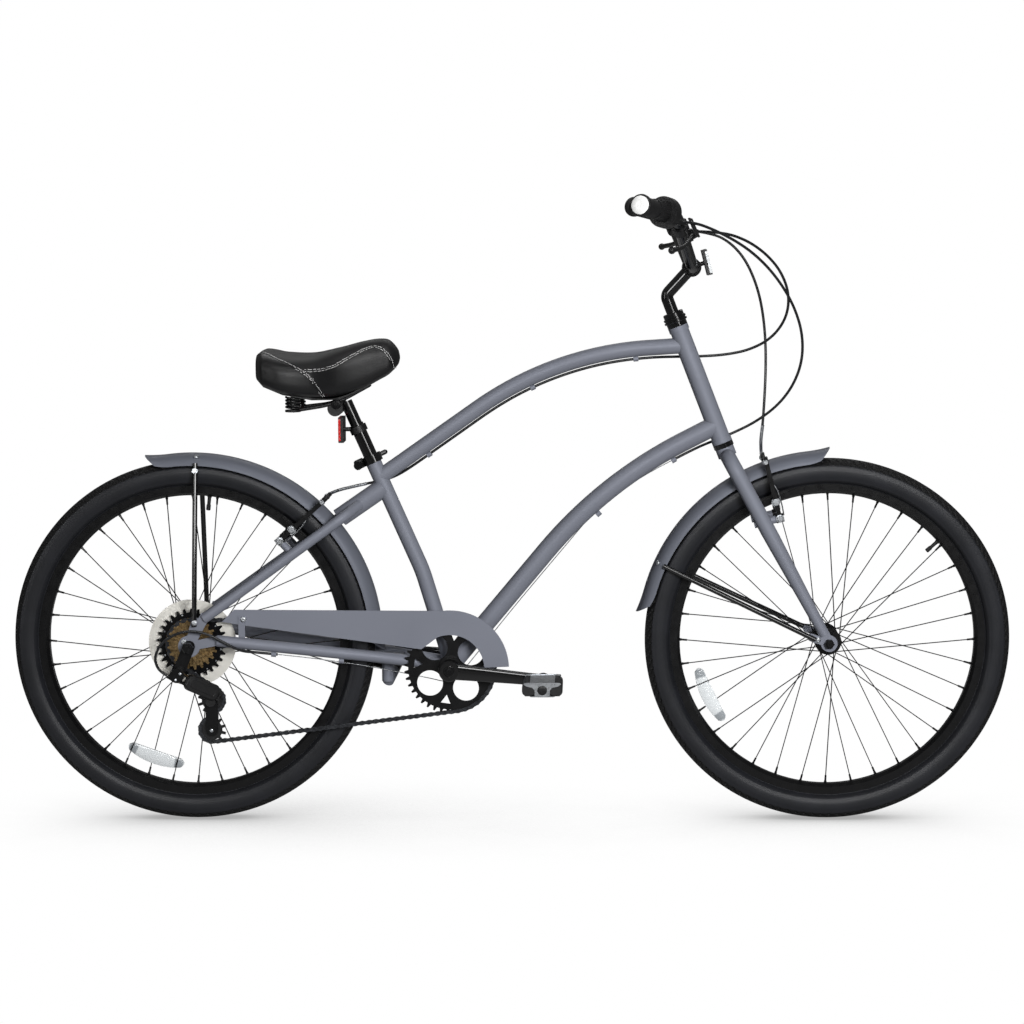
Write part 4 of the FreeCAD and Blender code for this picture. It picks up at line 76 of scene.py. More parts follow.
class Body(str, Enum):
    """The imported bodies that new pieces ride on."""

    FRAME = "frame"
    FREEWHEEL = "freewheel"
    STEERING = "steering"
    REAR_WHEEL = "rear_wheel"
    FRONT_WHEEL = "front_wheel"
    CRANK = "crank"
    RIGHT_PEDAL = "right_pedal"
    LEFT_PEDAL = "left_pedal"
    FRONT_ARM_RIGHT = "front_brake_arm_right"
    FRONT_ARM_LEFT = "front_brake_arm_left"
    REAR_ARM_RIGHT = "rear_brake_arm_right"
    REAR_ARM_LEFT = "rear_brake_arm_left"
    TWIST_GRIP = "twist_grip"
    DERAILLEUR_LINK = "derailleur_link"
    DERAILLEUR_CAGE = "derailleur_cage"
    SEAT_POST = "seat_post"
    SADDLE = "saddle"


class Side(Enum):
    """The rider's two sides, as the sign of Y."""

    RIGHT = -1
    LEFT = 1


class Shine(Enum):
    """What a lamp does: light the colours softly, or draw highlights alone."""

    DULL = "dull"
    GLOSS = "gloss"


# ---------------------------------------------------------------- small helpers


def linear(code: str) -> Colour:
    """Turns an sRGB hex code into a linear colour.

    Args:
        code: The colour as "#rrggbb".

    Returns:
        Linear red, green, blue and an alpha of 1.
    """
    parts = [int(code[i:i + 2], 16) / 255 for i in (1, 3, 5)]
    red, green, blue = (p / 12.92 if p <= 0.04045 else ((p + 0.055) / 1.055) ** 2.4 for p in parts)
    return red, green, blue, 1.0


def mm(point: Sequence[float]) -> Vector:
    """Returns a point given in millimetres as a vector in metres."""
    return Vector(point) * MM


def mirrored(point: Triple, side: int) -> Vector:
    """Returns a point with its Y multiplied by a side's sign, in the point's own unit."""
    return Vector((point[0], point[1] * side, point[2]))


def round_axle(centre: Triple, degrees: float, radius: float, lateral: float) -> Vector:
    """Finds a point round an axle.

    Args:
        centre: The axle's middle in millimetres.
        degrees: The angle from +X towards +Z.
        radius: The distance from the axle in millimetres.
        lateral: The place along Y in millimetres.

    Returns:
        The point in millimetres.
    """
    turn = math.radians(degrees)
    return Vector((centre[0] + radius * math.cos(turn), lateral, centre[2] + radius * math.sin(turn)))


def add_node(tree: Tree, kind: str, inputs: Optional[dict] = None,
             **settings: object) -> bpy.types.Node:
    """Adds one node to a tree, sets it up and links what feeds it.

    Args:
        tree: The shader or geometry tree.
        kind: The node's type name.
        inputs: Values or sockets by input name or index.
        settings: The node's own properties.

    Returns:
        The new node.
    """
    node = tree.nodes.new(kind)
    for name, value in settings.items():
        setattr(node, name, value)
    for key, value in (inputs or {}).items():
        if isinstance(value, Socket):
            tree.links.new(value, node.inputs[key])
        else:
            node.inputs[key].default_value = value
    return node


def make_piece(name: str, points: Sequence[Vector], faces: Sequence[Sequence[int]],
               crease: float = CREASE) -> Thing:
    """Makes a mesh object with merged doubles and outward faces.

    Args:
        name: The piece's name.
        points: The points in metres, in the CAD frame.
        faces: The faces as point numbers.
        crease: The angle in degrees past which an edge is sharp.

    Returns:
        The new object, linked to the scene.
    """
    mesh = bpy.data.meshes.new(name)
    mesh.from_pydata([tuple(p) for p in points], [], [tuple(f) for f in faces])
    work = bmesh.new()
    work.from_mesh(mesh)
    bmesh.ops.remove_doubles(work, verts=work.verts, dist=1e-6)
    bmesh.ops.recalc_face_normals(work, faces=work.faces)
    work.to_mesh(mesh)
    work.free()
    mesh.shade_smooth()
    mesh.set_sharp_from_angle(angle=math.radians(crease))
    piece = bpy.data.objects.new(name, mesh)
    bpy.context.scene.collection.objects.link(piece)
    return piece


def loft_faces(rings: int, across: int, closed: bool = False) -> list[list[int]]:
    """Lists the faces of a skin over rings of points.

    Args:
        rings: How many rings there are.
        across: How many points each ring has.
        closed: Whether the last ring joins the first; otherwise both ends are filled.

    Returns:
        The faces as point numbers.
    """
    faces = []
    for i in range(rings if closed else rings - 1):
        here, there = i * across, (i + 1) % rings * across
        for j in range(across):
            k = (j + 1) % across
            faces.append([here + j, here + k, there + k, there + j])
    if not closed:
        faces.append(list(range(across))[::-1])
        faces.append([(rings - 1) * across + j for j in range(across)])
    return faces


def stand(origin: Sequence[float], axis: Sequence[float], across: Sequence[float] = (1, 0, 0)) -> Matrix:
    """Builds the place of a shape whose own Z points along an axis.

    Args:
        origin: The place in millimetres.
        axis: The way that the shape's Z points.
        across: A way near which the shape's X lies.

    Returns:
        The 4 x 4 matrix, in metres.
    """
    z = Vector(axis).normalized()
    y = z.cross(Vector(across)).normalized()
    if y.length < 0.5:
        y = z.orthogonal().normalized()
    x = y.cross(z)
    turn = Matrix((x, y, z)).transposed().to_4x4()
    return Matrix.Translation(mm(origin)) @ turn


def lathe(name: str, profile: Outline, place: Matrix, steps: int = 32,
          crease: float = CREASE) -> Thing:
    """Turns a profile round its Z axis.

    Args:
        name: The piece's name.
        profile: Pairs of radius and height in millimetres, from one end to the other.
        place: Where the shape stands.
        steps: How many steps go round.
        crease: The angle in degrees past which an edge is sharp.

    Returns:
        The new object.
    """
    points = []
    for radius, height in profile:
        for j in range(steps):
            turn = math.tau * j / steps
            points.append(place @ mm((radius * math.cos(turn), radius * math.sin(turn), height)))
    return make_piece(name, points, loft_faces(len(profile), steps), crease)


def round_outline(width: float, height: float, corner: float, steps: int = 6) -> Outline:
    """Lists the points of a rectangle with round corners.

    Args:
        width: The size along the first axis.
        height: The size along the second axis.
        corner: The corners' radius.
        steps: The steps in each corner.

    Returns:
        The points in turn.
    """
    outline = []
    for k, (sx, sy) in enumerate(((1, 1), (-1, 1), (-1, -1), (1, -1))):
        for i in range(steps + 1):
            turn = math.pi / 2 * (k + i / steps)
            outline.append((sx * (width / 2 - corner) + corner * math.cos(turn),
                            sy * (height / 2 - corner) + corner * math.sin(turn)))
    return outline


def layered(name: str, layers: Sequence[tuple[Outline, float]], place: Matrix,
            crease: float = CREASE) -> Thing:
    """Skins outlines that lie over each other.

    Args:
        name: The piece's name.
        layers: Pairs of an outline and its height in millimetres.
        place: Where the shape stands.
        crease: The angle in degrees past which an edge is sharp.

    Returns:
        The new object.
    """
    points = [place @ mm((x, y, height)) for outline, height in layers for x, y in outline]
    return make_piece(name, points, loft_faces(len(layers), len(layers[0][0])), crease)


def round_layers(width: float, height: float, rows: Sequence[Sequence[float]],
                 steps: int = 6) -> list[tuple[Outline, float]]:
    """Lists round-cornered outlines that lie over each other.

    Args:
        width: The full width.
        height: The full height.
        rows: For each layer how much narrower and lower it is, its corners' radius and its level.
        steps: The steps in each corner.

    Returns:
        Pairs of an outline and its level in millimetres.
    """
    return [(round_outline(width - narrow, height - low, corner, steps), level)
            for narrow, low, corner, level in rows]


def tube(name: str, path: Sequence[Vector], radius: float, sides: int = 12) -> Thing:
    """Sweeps a round section along a path, with domed ends.

    Args:
        name: The piece's name.
        path: The points of the path in metres.
        radius: The section's radius in millimetres.
        sides: The section's sides.

    Returns:
        The new object.
    """
    ways = [(path[min(i + 1, len(path) - 1)] - path[max(i - 1, 0)]).normalized()
            for i in range(len(path))]
    across = ways[0].orthogonal().normalized()
    points = []
    for point, way in zip(path, ways):
        across = (across - way * across.dot(way)).normalized()
        other = way.cross(across)
        for j in range(sides):
            turn = math.tau * j / sides
            points.append(point + (across * math.cos(turn) + other * math.sin(turn)) * radius * MM)
    return make_piece(name, points, loft_faces(len(path), sides), 50.0)


def joined(name: str, parts: Sequence[Thing], crease: float = CREASE) -> Thing:
    """Joins helper objects into one piece.

    Args:
        name: The piece's name.
        parts: The objects, which are removed.
        crease: The angle in degrees past which an edge is sharp.

    Returns:
        The new object.
    """
    points, faces = [], []
    for part in parts:
        first = len(points)
        points += [v.co.copy() for v in part.data.vertices]
        faces += [[first + k for k in face.vertices] for face in part.data.polygons]
        drop(part)
    return make_piece(name, points, faces, crease)


def smooth_line(route: Sequence[Sequence[float]], steps: int = 8) -> list[Vector]:
    """Reads the points of a smooth line over a route.

    Args:
        route: The control points.
        steps: The steps between two control points.

    Returns:
        The points of the NURBS line, in the route's own unit.
    """
    curve = bpy.data.curves.new("route", "CURVE")
    curve.dimensions = "3D"
    spline = curve.splines.new("NURBS")
    spline.points.add(len(route) - 1)
    for point, place in zip(spline.points, route):
        point.co = (*place, 1.0)
    spline.order_u = 3
    spline.use_endpoint_u = True
    spline.resolution_u = steps
    holder = bpy.data.objects.new("route", curve)
    bpy.context.scene.collection.objects.link(holder)
    bpy.context.view_layer.update()
    mesh = bpy.data.meshes.new_from_object(holder.evaluated_get(bpy.context.evaluated_depsgraph_get()))
    points = [v.co.copy() for v in mesh.vertices]
    bpy.data.objects.remove(holder)
    bpy.data.meshes.remove(mesh)
    return points


def set_values(piece: Thing, label: str, values: Sequence[float]) -> None:
    """Stores one value for each of a piece's points.

    Args:
        piece: The piece.
        label: The attribute's name.
        values: The values in the order of the points.
    """
    piece.data.attributes.new(label, "FLOAT", "POINT").data.foreach_set("value", values)


def drop(piece: Thing) -> None:
    """Removes a helper object and its mesh from the file."""
    mesh = piece.data
    bpy.data.objects.remove(piece)
    if isinstance(mesh, bpy.types.Mesh):
        bpy.data.meshes.remove(mesh)


# ---------------------------------------------------------------- finishes

# Most values of a noise lie between these two.
NOISE_LOW, NOISE_HIGH = 0.3, 0.7
# How many finer layers the colour drift, the gloss patches and the grain have.
CLOUD_DETAIL, PATCH_DETAIL, GRAIN_DETAIL = 3.0, 4.0, 2.0


@dataclass(frozen=True)
class Finish:
    """A real material: slow colour drift, uneven gloss and a fine grain in the surface."""

    name: str
    slot: str
    colour: str
    shade: str
    roughness: float
    rough_spread: float = 0.08
    metallic: float = 0.0
    cloud_mm: float = 70.0
    grain_mm: float = 0.9
    grain_depth_mm: float = 0.02
    extras: tuple[tuple[str, float], ...] = ()

    def material(self) -> bpy.types.Material:
        """Returns the finish as a material, built once."""
        found = bpy.data.materials.get(self.name)
        if found:
            return found
        material = bpy.data.materials.new(self.name)
        material.use_nodes = True
        tree = material.node_tree
        tree.nodes.clear()
        where = add_node(tree, "ShaderNodeTexCoord").outputs["Object"]
        bump = add_node(tree, "ShaderNodeBump", {"Strength": 1.0, "Distance": self.grain_depth_mm * MM,
                                                 "Height": self.relief(tree, where)})
        shader = add_node(tree, "ShaderNodeBsdfPrincipled", {
            "Base Color": self.tint(tree, where), "Roughness": self.gloss(tree, where),
            "Metallic": self.metallic, "Normal": bump.outputs["Normal"], **dict(self.extras)})
        add_node(tree, "ShaderNodeOutputMaterial", {"Surface": shader.outputs["BSDF"]})
        return material

    def tint(self, tree: Tree, where: Socket) -> Socket:
        """Mixes the colour, drifting between the shade and the main colour.

        Args:
            tree: The shader tree.
            where: The coordinates.

        Returns:
            The colour's socket.
        """
        cloud = add_node(tree, "ShaderNodeTexNoise", {
            "Vector": where, "Scale": 1 / (self.cloud_mm * MM), "Detail": CLOUD_DETAIL})
        share = add_node(tree, "ShaderNodeMapRange", {
            "Value": cloud.outputs[0], "From Min": NOISE_LOW, "From Max": NOISE_HIGH})
        return add_node(tree, "ShaderNodeMix", {0: share.outputs[0], 6: linear(self.shade),
                                                7: linear(self.colour)}, data_type="RGBA").outputs[2]

    def gloss(self, tree: Tree, where: Socket) -> Socket:
        """Spreads the roughness, uneven as handled surfaces are.

        Args:
            tree: The shader tree.
            where: The coordinates.

        Returns:
            The roughness's socket.
        """
        patch = add_node(tree, "ShaderNodeTexNoise", {
            "Vector": where, "Scale": 1 / (self.cloud_mm / 4 * MM), "Detail": PATCH_DETAIL})
        return add_node(tree, "ShaderNodeMapRange", {
            "Value": patch.outputs[0], "From Min": NOISE_LOW, "From Max": NOISE_HIGH,
            "To Min": self.roughness - self.rough_spread,
            "To Max": self.roughness + self.rough_spread}).outputs[0]

    def relief(self, tree: Tree, where: Socket) -> Socket:
        """Returns the height of the fine grain."""
        return add_node(tree, "ShaderNodeTexNoise", {
            "Vector": where, "Scale": 1 / (self.grain_mm * MM), "Detail": GRAIN_DETAIL}).outputs[0]


@dataclass(frozen=True)
class VinylFinish(Finish):
    """Pebbled cover: rounded grains with creases between, duller on the top panel."""

    def relief(self, tree: Tree, where: Socket) -> Socket:
        """Returns the pebbles' height."""
        return add_node(tree, "ShaderNodeTexVoronoi", {
            "Vector": where, "Scale": 1 / (self.grain_mm * MM), "Smoothness": 0.6},
            feature="SMOOTH_F1").outputs["Distance"]

    def gloss(self, tree: Tree, where: Socket) -> Socket:
        """Returns the roughness, higher on the top panel."""
        panel = add_node(tree, "ShaderNodeAttribute", attribute_name="top_panel").outputs["Fac"]
        return add_node(tree, "ShaderNodeMapRange", {
            "Value": panel, "To Min": self.roughness,
            "To Max": self.roughness + self.rough_spread}).outputs[0]


@dataclass(frozen=True)
class TyreFinish(Finish):
    """Vulcanised rubber: a smooth sidewall, and a duller band where "tread" is 1, darker in colour as painted
    shade.
    """

    # The tread's colour: darker than the sidewall's, as painted shade.
    tread: str = "#0a0a0b"
    tread_dull: float = 0.2

    def tint(self, tree: Tree, where: Socket) -> Socket:
        """Returns the sidewall's colour, and where the tyre is moulded rough the tread's darker colour, which
        is painted shade.
        """
        band = add_node(tree, "ShaderNodeAttribute", attribute_name="tread").outputs["Fac"]
        return add_node(tree, "ShaderNodeMix", {0: band, 6: Finish.tint(self, tree, where),
                                                7: linear(self.tread)}, data_type="RGBA").outputs[2]

    def gloss(self, tree: Tree, where: Socket) -> Socket:
        """Returns the roughness, higher on the tread."""
        band = add_node(tree, "ShaderNodeAttribute", attribute_name="tread").outputs["Fac"]
        return add_node(tree, "ShaderNodeMapRange", {
            "Value": band, "To Min": self.roughness,
            "To Max": self.roughness + self.tread_dull}).outputs[0]


@dataclass(frozen=True)
class SprocketFinish(Finish):
    """Browned steel, with the largest sprocket black."""

    black: str = "#1a1a1b"
    largest_edge_mm: float = -42.7

    def tint(self, tree: Tree, where: Socket) -> Socket:
        """Mixes brown steel, and black inboard of the largest sprocket's outer face.

        Args:
            tree: The shader tree.
            where: The coordinates.

        Returns:
            The colour's socket.
        """
        brown = Finish.tint(self, tree, where)
        lateral = add_node(tree, "ShaderNodeSeparateXYZ", {0: where}).outputs["Y"]
        largest = add_node(tree, "ShaderNodeMath", {0: lateral, 1: self.largest_edge_mm * MM},
                           operation="GREATER_THAN").outputs[0]
        return add_node(tree, "ShaderNodeMix", {0: largest, 6: brown, 7: linear(self.black)},
                        data_type="RGBA").outputs[2]


@dataclass(frozen=True)
class LensFinish(Finish):
    """Reflector plastic: small facets behind a smooth face, with darker facets where "facet" is 1."""

    dark: str = "#8f9498"

    def relief(self, tree: Tree, where: Socket) -> Socket:
        """Returns the facets' height."""
        return add_node(tree, "ShaderNodeTexVoronoi", {"Vector": where, "Scale": 1 / (self.grain_mm * MM)},
                        feature="F1", distance="CHEBYCHEV").outputs["Distance"]

    def tint(self, tree: Tree, where: Socket) -> Socket:
        """Mixes the lens colour, darker on the facetted ends.

        Args:
            tree: The shader tree.
            where: The coordinates.

        Returns:
            The colour's socket.
        """
        facet = add_node(tree, "ShaderNodeAttribute", attribute_name="facet").outputs["Fac"]
        cell = add_node(tree, "ShaderNodeTexNoise", {
            "Vector": where, "Scale": 1 / (self.grain_mm * MM), "Detail": 1.0}).outputs[0]
        light = add_node(tree, "ShaderNodeMix", {0: cell, 6: linear(self.shade), 7: linear(self.colour)},
                         data_type="RGBA").outputs[2]
        return add_node(tree, "ShaderNodeMix", {0: facet, 6: light, 7: linear(self.dark)},
                        data_type="RGBA").outputs[2]


# Satin charcoal enamel: reads as mid grey with a soft, wide sheen and a faint orange peel.
PAINT = Finish("satin_charcoal_enamel", "frame_paint", "#777a84", "#72757f", 0.5, 0.05, 0.2,
               cloud_mm=160, grain_mm=3.0, grain_depth_mm=0.005,
               extras=(("Specular IOR Level", 0.2),))
# The same enamel over the rolled fenders, mixed a step darker as painted shade, because the fenders' crowns
# read darker under the light than the frame does.
SHADED_FENDER_PAINT = Finish("dark_charcoal_enamel", "frame_paint", "#63666f", "#5e616a", 0.48, 0.05, 0.2,
                      cloud_mm=160, grain_mm=3.0, grain_depth_mm=0.005,
                      extras=(("Specular IOR Level", 0.2),))
# Gloss black enamel: near black, with tight bright streaks along the tubes.
GLOSS_BLACK = Finish("gloss_black_enamel", "black_paint", "#080809", "#060607", 0.14, 0.04,
                     cloud_mm=90, grain_mm=2.2, grain_depth_mm=0.008,
                     extras=(("Coat Weight", 0.5), ("Coat Roughness", 0.06)))
# Satin black powder coat: dark with a broad, weak sheen that shows the facets of cranks and rims.
SATIN_BLACK = Finish("satin_black_powder_coat", "black_paint", "#0c0c0d", "#09090a", 0.3, 0.06,
                     cloud_mm=60, grain_mm=0.5, grain_depth_mm=0.008, extras=(("Specular IOR Level", 0.3),))
# Tyre rubber: blue-black, with a slow sheen on the smooth sidewall and a dull tread whose darker colour is
# painted shade.
TYRE_RUBBER = TyreFinish("black_tyre_rubber", "tyre", "#1c1d21", "#16171a", 0.42, 0.07,
                         cloud_mm=45, grain_mm=0.6, grain_depth_mm=0.03,
                         extras=(("Specular IOR Level", 0.35),))
# Grip rubber: soft dull black with fine pores.
GRIP_RUBBER = Finish("soft_grip_rubber", "grip_rubber", "#161617", "#111112", 0.58, 0.06,
                     cloud_mm=30, grain_mm=0.5, grain_depth_mm=0.05)
# Moulded nylon: dark grey black with a fine spark-eroded texture.
NYLON = Finish("moulded_black_nylon", "black_plastic", "#131314", "#0f0f10", 0.4, 0.06,
               cloud_mm=40, grain_mm=0.7, grain_depth_mm=0.03)
# Bright zinc: pale, slightly blue metal of bolts and nuts with soft reflections.
BRIGHT_STEEL = Finish("bright_zinc_plate", "bright_steel", "#d6d9dd", "#bfc3c7", 0.34, 0.08, 1.0,
                      cloud_mm=8, grain_mm=0.4, grain_depth_mm=0.006)
# Stainless wire: thin bright lines beside the dark housings.
WIRE_STEEL = Finish("drawn_stainless_wire", "bright_steel", "#b4b6b9", "#8f9194", 0.3, 0.08, 1.0,
                    cloud_mm=5, grain_mm=0.3, grain_depth_mm=0.01)
# Oiled chain steel: dark grey metal with oily bright edges.
CHAIN_STEEL = Finish("oiled_chain_steel", "chain_steel", "#56585c", "#303134", 0.34, 0.1, 0.9,
                     cloud_mm=6, grain_mm=0.5, grain_depth_mm=0.02)
# Browned sprocket steel: bronze teeth that glow between the black parts.
SPROCKET_STEEL = SprocketFinish("browned_sprocket_steel", "sprocket_steel", "#b3986c", "#6e5a3c", 0.34,
                                0.1, 0.85, cloud_mm=7, grain_mm=0.5, grain_depth_mm=0.02)
# Saddle vinyl: black pebbled skin, glossy on the sides and dull on the top panel.
VINYL = VinylFinish("pebbled_saddle_vinyl", "saddle_cover", "#0f0f10", "#0b0b0c", 0.44, 0.14,
                    cloud_mm=50, grain_mm=1.3, grain_depth_mm=0.06,
                    extras=(("Specular IOR Level", 0.5),))
# Saddle thread: pale grey twisted yarn that draws the seams.
THREAD = Finish("pale_saddle_thread", "saddle_cover", "#d2d2d2", "#b4b4b4", 0.7, 0.08,
                cloud_mm=3, grain_mm=0.3, grain_depth_mm=0.05)
# Clear reflector acrylic: pale facets that catch light in small cells.
CLEAR_LENS = LensFinish("clear_reflector_acrylic", "clear_reflector", "#e6e9ea", "#c2c7ca", 0.16, 0.05,
                        cloud_mm=10, grain_mm=2.4, grain_depth_mm=0.5,
                        extras=(("Coat Weight", 0.6), ("Coat Roughness", 0.04)))
# Red reflector acrylic: deep red with lighter facets.
RED_LENS = LensFinish("red_reflector_acrylic", "red_reflector", "#d3231f", "#a3120f", 0.16, 0.05,
                      cloud_mm=10, grain_mm=2.4, grain_depth_mm=0.5, dark="#7d0c0b",
                      extras=(("Coat Weight", 0.6), ("Coat Roughness", 0.04)))
# Milky polythene: the pale, slightly see-through disc behind the sprockets.
MILKY = Finish("milky_polythene", "clear_plastic", "#d6d4ce", "#cac8c1", 0.38, 0.06,
               cloud_mm=40, grain_mm=1.2, grain_depth_mm=0.02,
               extras=(("Transmission Weight", 0.25), ("IOR", 1.5)))
# Cable housing: smooth black sleeve with a thin bright line along it.
HOUSING = Finish("black_cable_sleeve", "cable_cover", "#17181a", "#121314", 0.3, 0.05,
                 cloud_mm=25, grain_mm=0.8, grain_depth_mm=0.01)
# White end caps of the bar: smooth bright plastic.
WHITE_CAP = Finish("white_cap_plastic", "clear_reflector", "#f1f1f0", "#e6e6e5", 0.32, 0.05,
                   cloud_mm=15, grain_mm=0.8, grain_depth_mm=0.01)


def dress(piece: Thing, finish: Finish, body: Optional[Body] = None) -> Thing:
    """Gives a new piece its finish as its one material, and lets it ride on a body.

    Args:
        piece: The piece.
        finish: Its finish.
        body: The body that it rides on, or None to leave it riding on no body.

    Returns:
        The piece.
    """
    piece.data.materials.clear()
    piece.data.materials.append(finish.material())
    if body is not None:
        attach(piece, body.value)
        LOG.info("%s rides on %s", piece.name, body.value)
    return piece


# ---------------------------------------------------------------- geometry node trees


@dataclass
class NodeTool:
    """A Geometry Nodes tree built once and run on one object at a time."""

    name: str
    inputs: tuple[tuple[str, str], ...]

    def tree(self) -> Tree:
        """Returns the tree, with its named inputs and its nodes."""
        found = bpy.data.node_groups.get(self.name)
        if found:
            return found
        tree = bpy.data.node_groups.new(self.name, "GeometryNodeTree")
        tree.interface.new_socket("Geometry", in_out="INPUT", socket_type="NodeSocketGeometry")
        for label, kind in self.inputs:
            tree.interface.new_socket(label, in_out="INPUT", socket_type="NodeSocket" + kind)
        tree.interface.new_socket("Geometry", in_out="OUTPUT", socket_type="NodeSocketGeometry")
        given = add_node(tree, "NodeGroupInput").outputs
        made = self.body(tree, given)
        real = add_node(tree, "GeometryNodeRealizeInstances", {"Geometry": made})
        dressed = add_node(tree, "GeometryNodeSetMaterial", {"Geometry": real.outputs["Geometry"],
                                                             "Material": given["Finish"]})
        add_node(tree, "NodeGroupOutput", {"Geometry": dressed.outputs["Geometry"]})
        return tree

    def body(self, tree: Tree, given: Sockets) -> Socket:
        """Returns the tree's own result; each tool builds its own."""
        raise NotImplementedError

    def run(self, piece: Thing, values: dict[str, object]) -> Thing:
        """Runs the tree on an object and leaves the result as its plain mesh.

        Args:
            piece: The object that carries the seeds or the base mesh.
            values: The inputs by name.

        Returns:
            The same object with its new mesh.
        """
        tree = self.tree()
        modifier = piece.modifiers.new(self.name, "NODES")
        modifier.node_group = tree
        for item in tree.interface.items_tree:
            if item.in_out == "INPUT" and item.name in values:
                modifier[item.identifier] = values[item.name]
        bpy.context.view_layer.update()
        result = piece.evaluated_get(bpy.context.evaluated_depsgraph_get())
        mesh = bpy.data.meshes.new_from_object(result)
        piece.modifiers.remove(modifier)
        old, piece.data = piece.data, mesh
        bpy.data.meshes.remove(old)
        mesh.name = piece.name
        return piece


@dataclass
class PlacingTool(NodeTool):
    """Sets one small shape on every seed point, turned by the seed's own ways."""

    name: str = "place_small_parts"
    inputs: tuple[tuple[str, str], ...] = (("Shape", "Object"), ("Scale", "Float"), ("Finish", "Material"))

    def body(self, tree: Tree, given: Sockets) -> Socket:
        """Sets the shape on the seeds.

        Args:
            tree: The tool's tree.
            given: The tree's inputs.

        Returns:
            The instances.
        """
        aim = add_node(tree, "GeometryNodeInputNamedAttribute", {"Name": "aim"}, data_type="FLOAT_VECTOR")
        along = add_node(tree, "GeometryNodeInputNamedAttribute", {"Name": "along"}, data_type="FLOAT_VECTOR")
        up = add_node(tree, "FunctionNodeAlignRotationToVector", {"Vector": aim.outputs["Attribute"]},
                      axis="Z")
        turn = add_node(tree, "FunctionNodeAlignRotationToVector", {
            "Rotation": up.outputs["Rotation"], "Vector": along.outputs["Attribute"]},
            axis="X", pivot_axis="Z")
        shape = add_node(tree, "GeometryNodeObjectInfo", {"Object": given["Shape"]})
        return add_node(tree, "GeometryNodeInstanceOnPoints", {
            "Points": given["Geometry"], "Instance": shape.outputs["Geometry"],
            "Rotation": turn.outputs["Rotation"], "Scale": given["Scale"]}).outputs["Instances"]

    def place(self, name: str, shape: Thing, seeds: Sequence[Seed],
              finish: Finish, body: Body, scale: float = 1.0) -> Thing:
        """Places a shape on seeds as one piece of one body.

        Args:
            name: The piece's name.
            shape: The shape at the origin, its Z being its axis; it is kept for further use.
            seeds: For each copy its place in metres, the way of its Z and the way of its X.
            finish: The copies' finish.
            body: The body that they ride on.
            scale: How much larger the copies are.

        Returns:
            The new piece.
        """
        mesh = bpy.data.meshes.new(name)
        mesh.from_pydata([tuple(s[0]) for s in seeds], [], [])
        for label, index in (("aim", 1), ("along", 2)):
            ways = mesh.attributes.new(label, "FLOAT_VECTOR", "POINT")
            ways.data.foreach_set("vector", [c for s in seeds for c in s[index]])
        piece = bpy.data.objects.new(name, mesh)
        bpy.context.scene.collection.objects.link(piece)
        self.run(piece, {"Shape": shape, "Scale": scale, "Finish": finish.material()})
        piece.data.set_sharp_from_angle(angle=math.radians(CREASE))
        for label in ("aim", "along"):
            if label in piece.data.attributes:
                piece.data.attributes.remove(piece.data.attributes[label])
        return dress(piece, finish, body)


@dataclass
class TreadTool(NodeTool):
    """Cuts slanted grooves into the shoulders of a tyre."""

    name: str = "cut_tread_grooves"
    inputs: tuple[tuple[str, str], ...] = (
        ("Groove Count", "Float"), ("Groove Depth", "Float"), ("Groove Share", "Float"),
        ("Slant", "Float"), ("Inner", "Float"), ("Outer", "Float"), ("Finish", "Material"))
    sums: tuple[tuple[str, str, str, str], ...] = (
        ("turns", "MULTIPLY", "around", "Groove Count"), ("lean", "MULTIPLY", "across", "Slant"),
        ("wound", "ADD", "turns", "lean"), ("phase", "FRACT", "wound", "nothing"),
        ("past", "GREATER_THAN", "across", "Inner"), ("before", "LESS_THAN", "across", "Outer"),
        ("inside", "MULTIPLY", "past", "before"), ("open", "LESS_THAN", "phase", "Groove Share"),
        ("cut", "MULTIPLY", "open", "inside"), ("deep", "MULTIPLY", "cut", "Groove Depth"),
        ("shift", "MULTIPLY", "deep", "inward"))

    def body(self, tree: Tree, given: Sockets) -> Socket:
        """Pushes the tyre's points in along the grooves.

        Args:
            tree: The tool's tree.
            given: The tree's inputs.

        Returns:
            The grooved tyre.
        """
        made = {label: given[label] for label, kind in self.inputs if kind == "Float"}
        made.update(nothing=0.0, inward=-1.0)
        for label in ("around", "across"):
            made[label] = add_node(tree, "GeometryNodeInputNamedAttribute", {"Name": label},
                                   data_type="FLOAT").outputs["Attribute"]
        for label, operation, first, second in self.sums:
            made[label] = add_node(tree, "ShaderNodeMath", {0: made[first], 1: made[second]},
                                   operation=operation).outputs[0]
        normal = add_node(tree, "GeometryNodeInputNormal").outputs[0]
        shift = add_node(tree, "ShaderNodeVectorMath", {0: normal, "Scale": made["shift"]},
                         operation="SCALE")
        return add_node(tree, "GeometryNodeSetPosition", {
            "Geometry": given["Geometry"], "Offset": shift.outputs["Vector"]}).outputs["Geometry"]


PLACING = PlacingTool()
TREAD = TreadTool()


# ---------------------------------------------------------------- studio


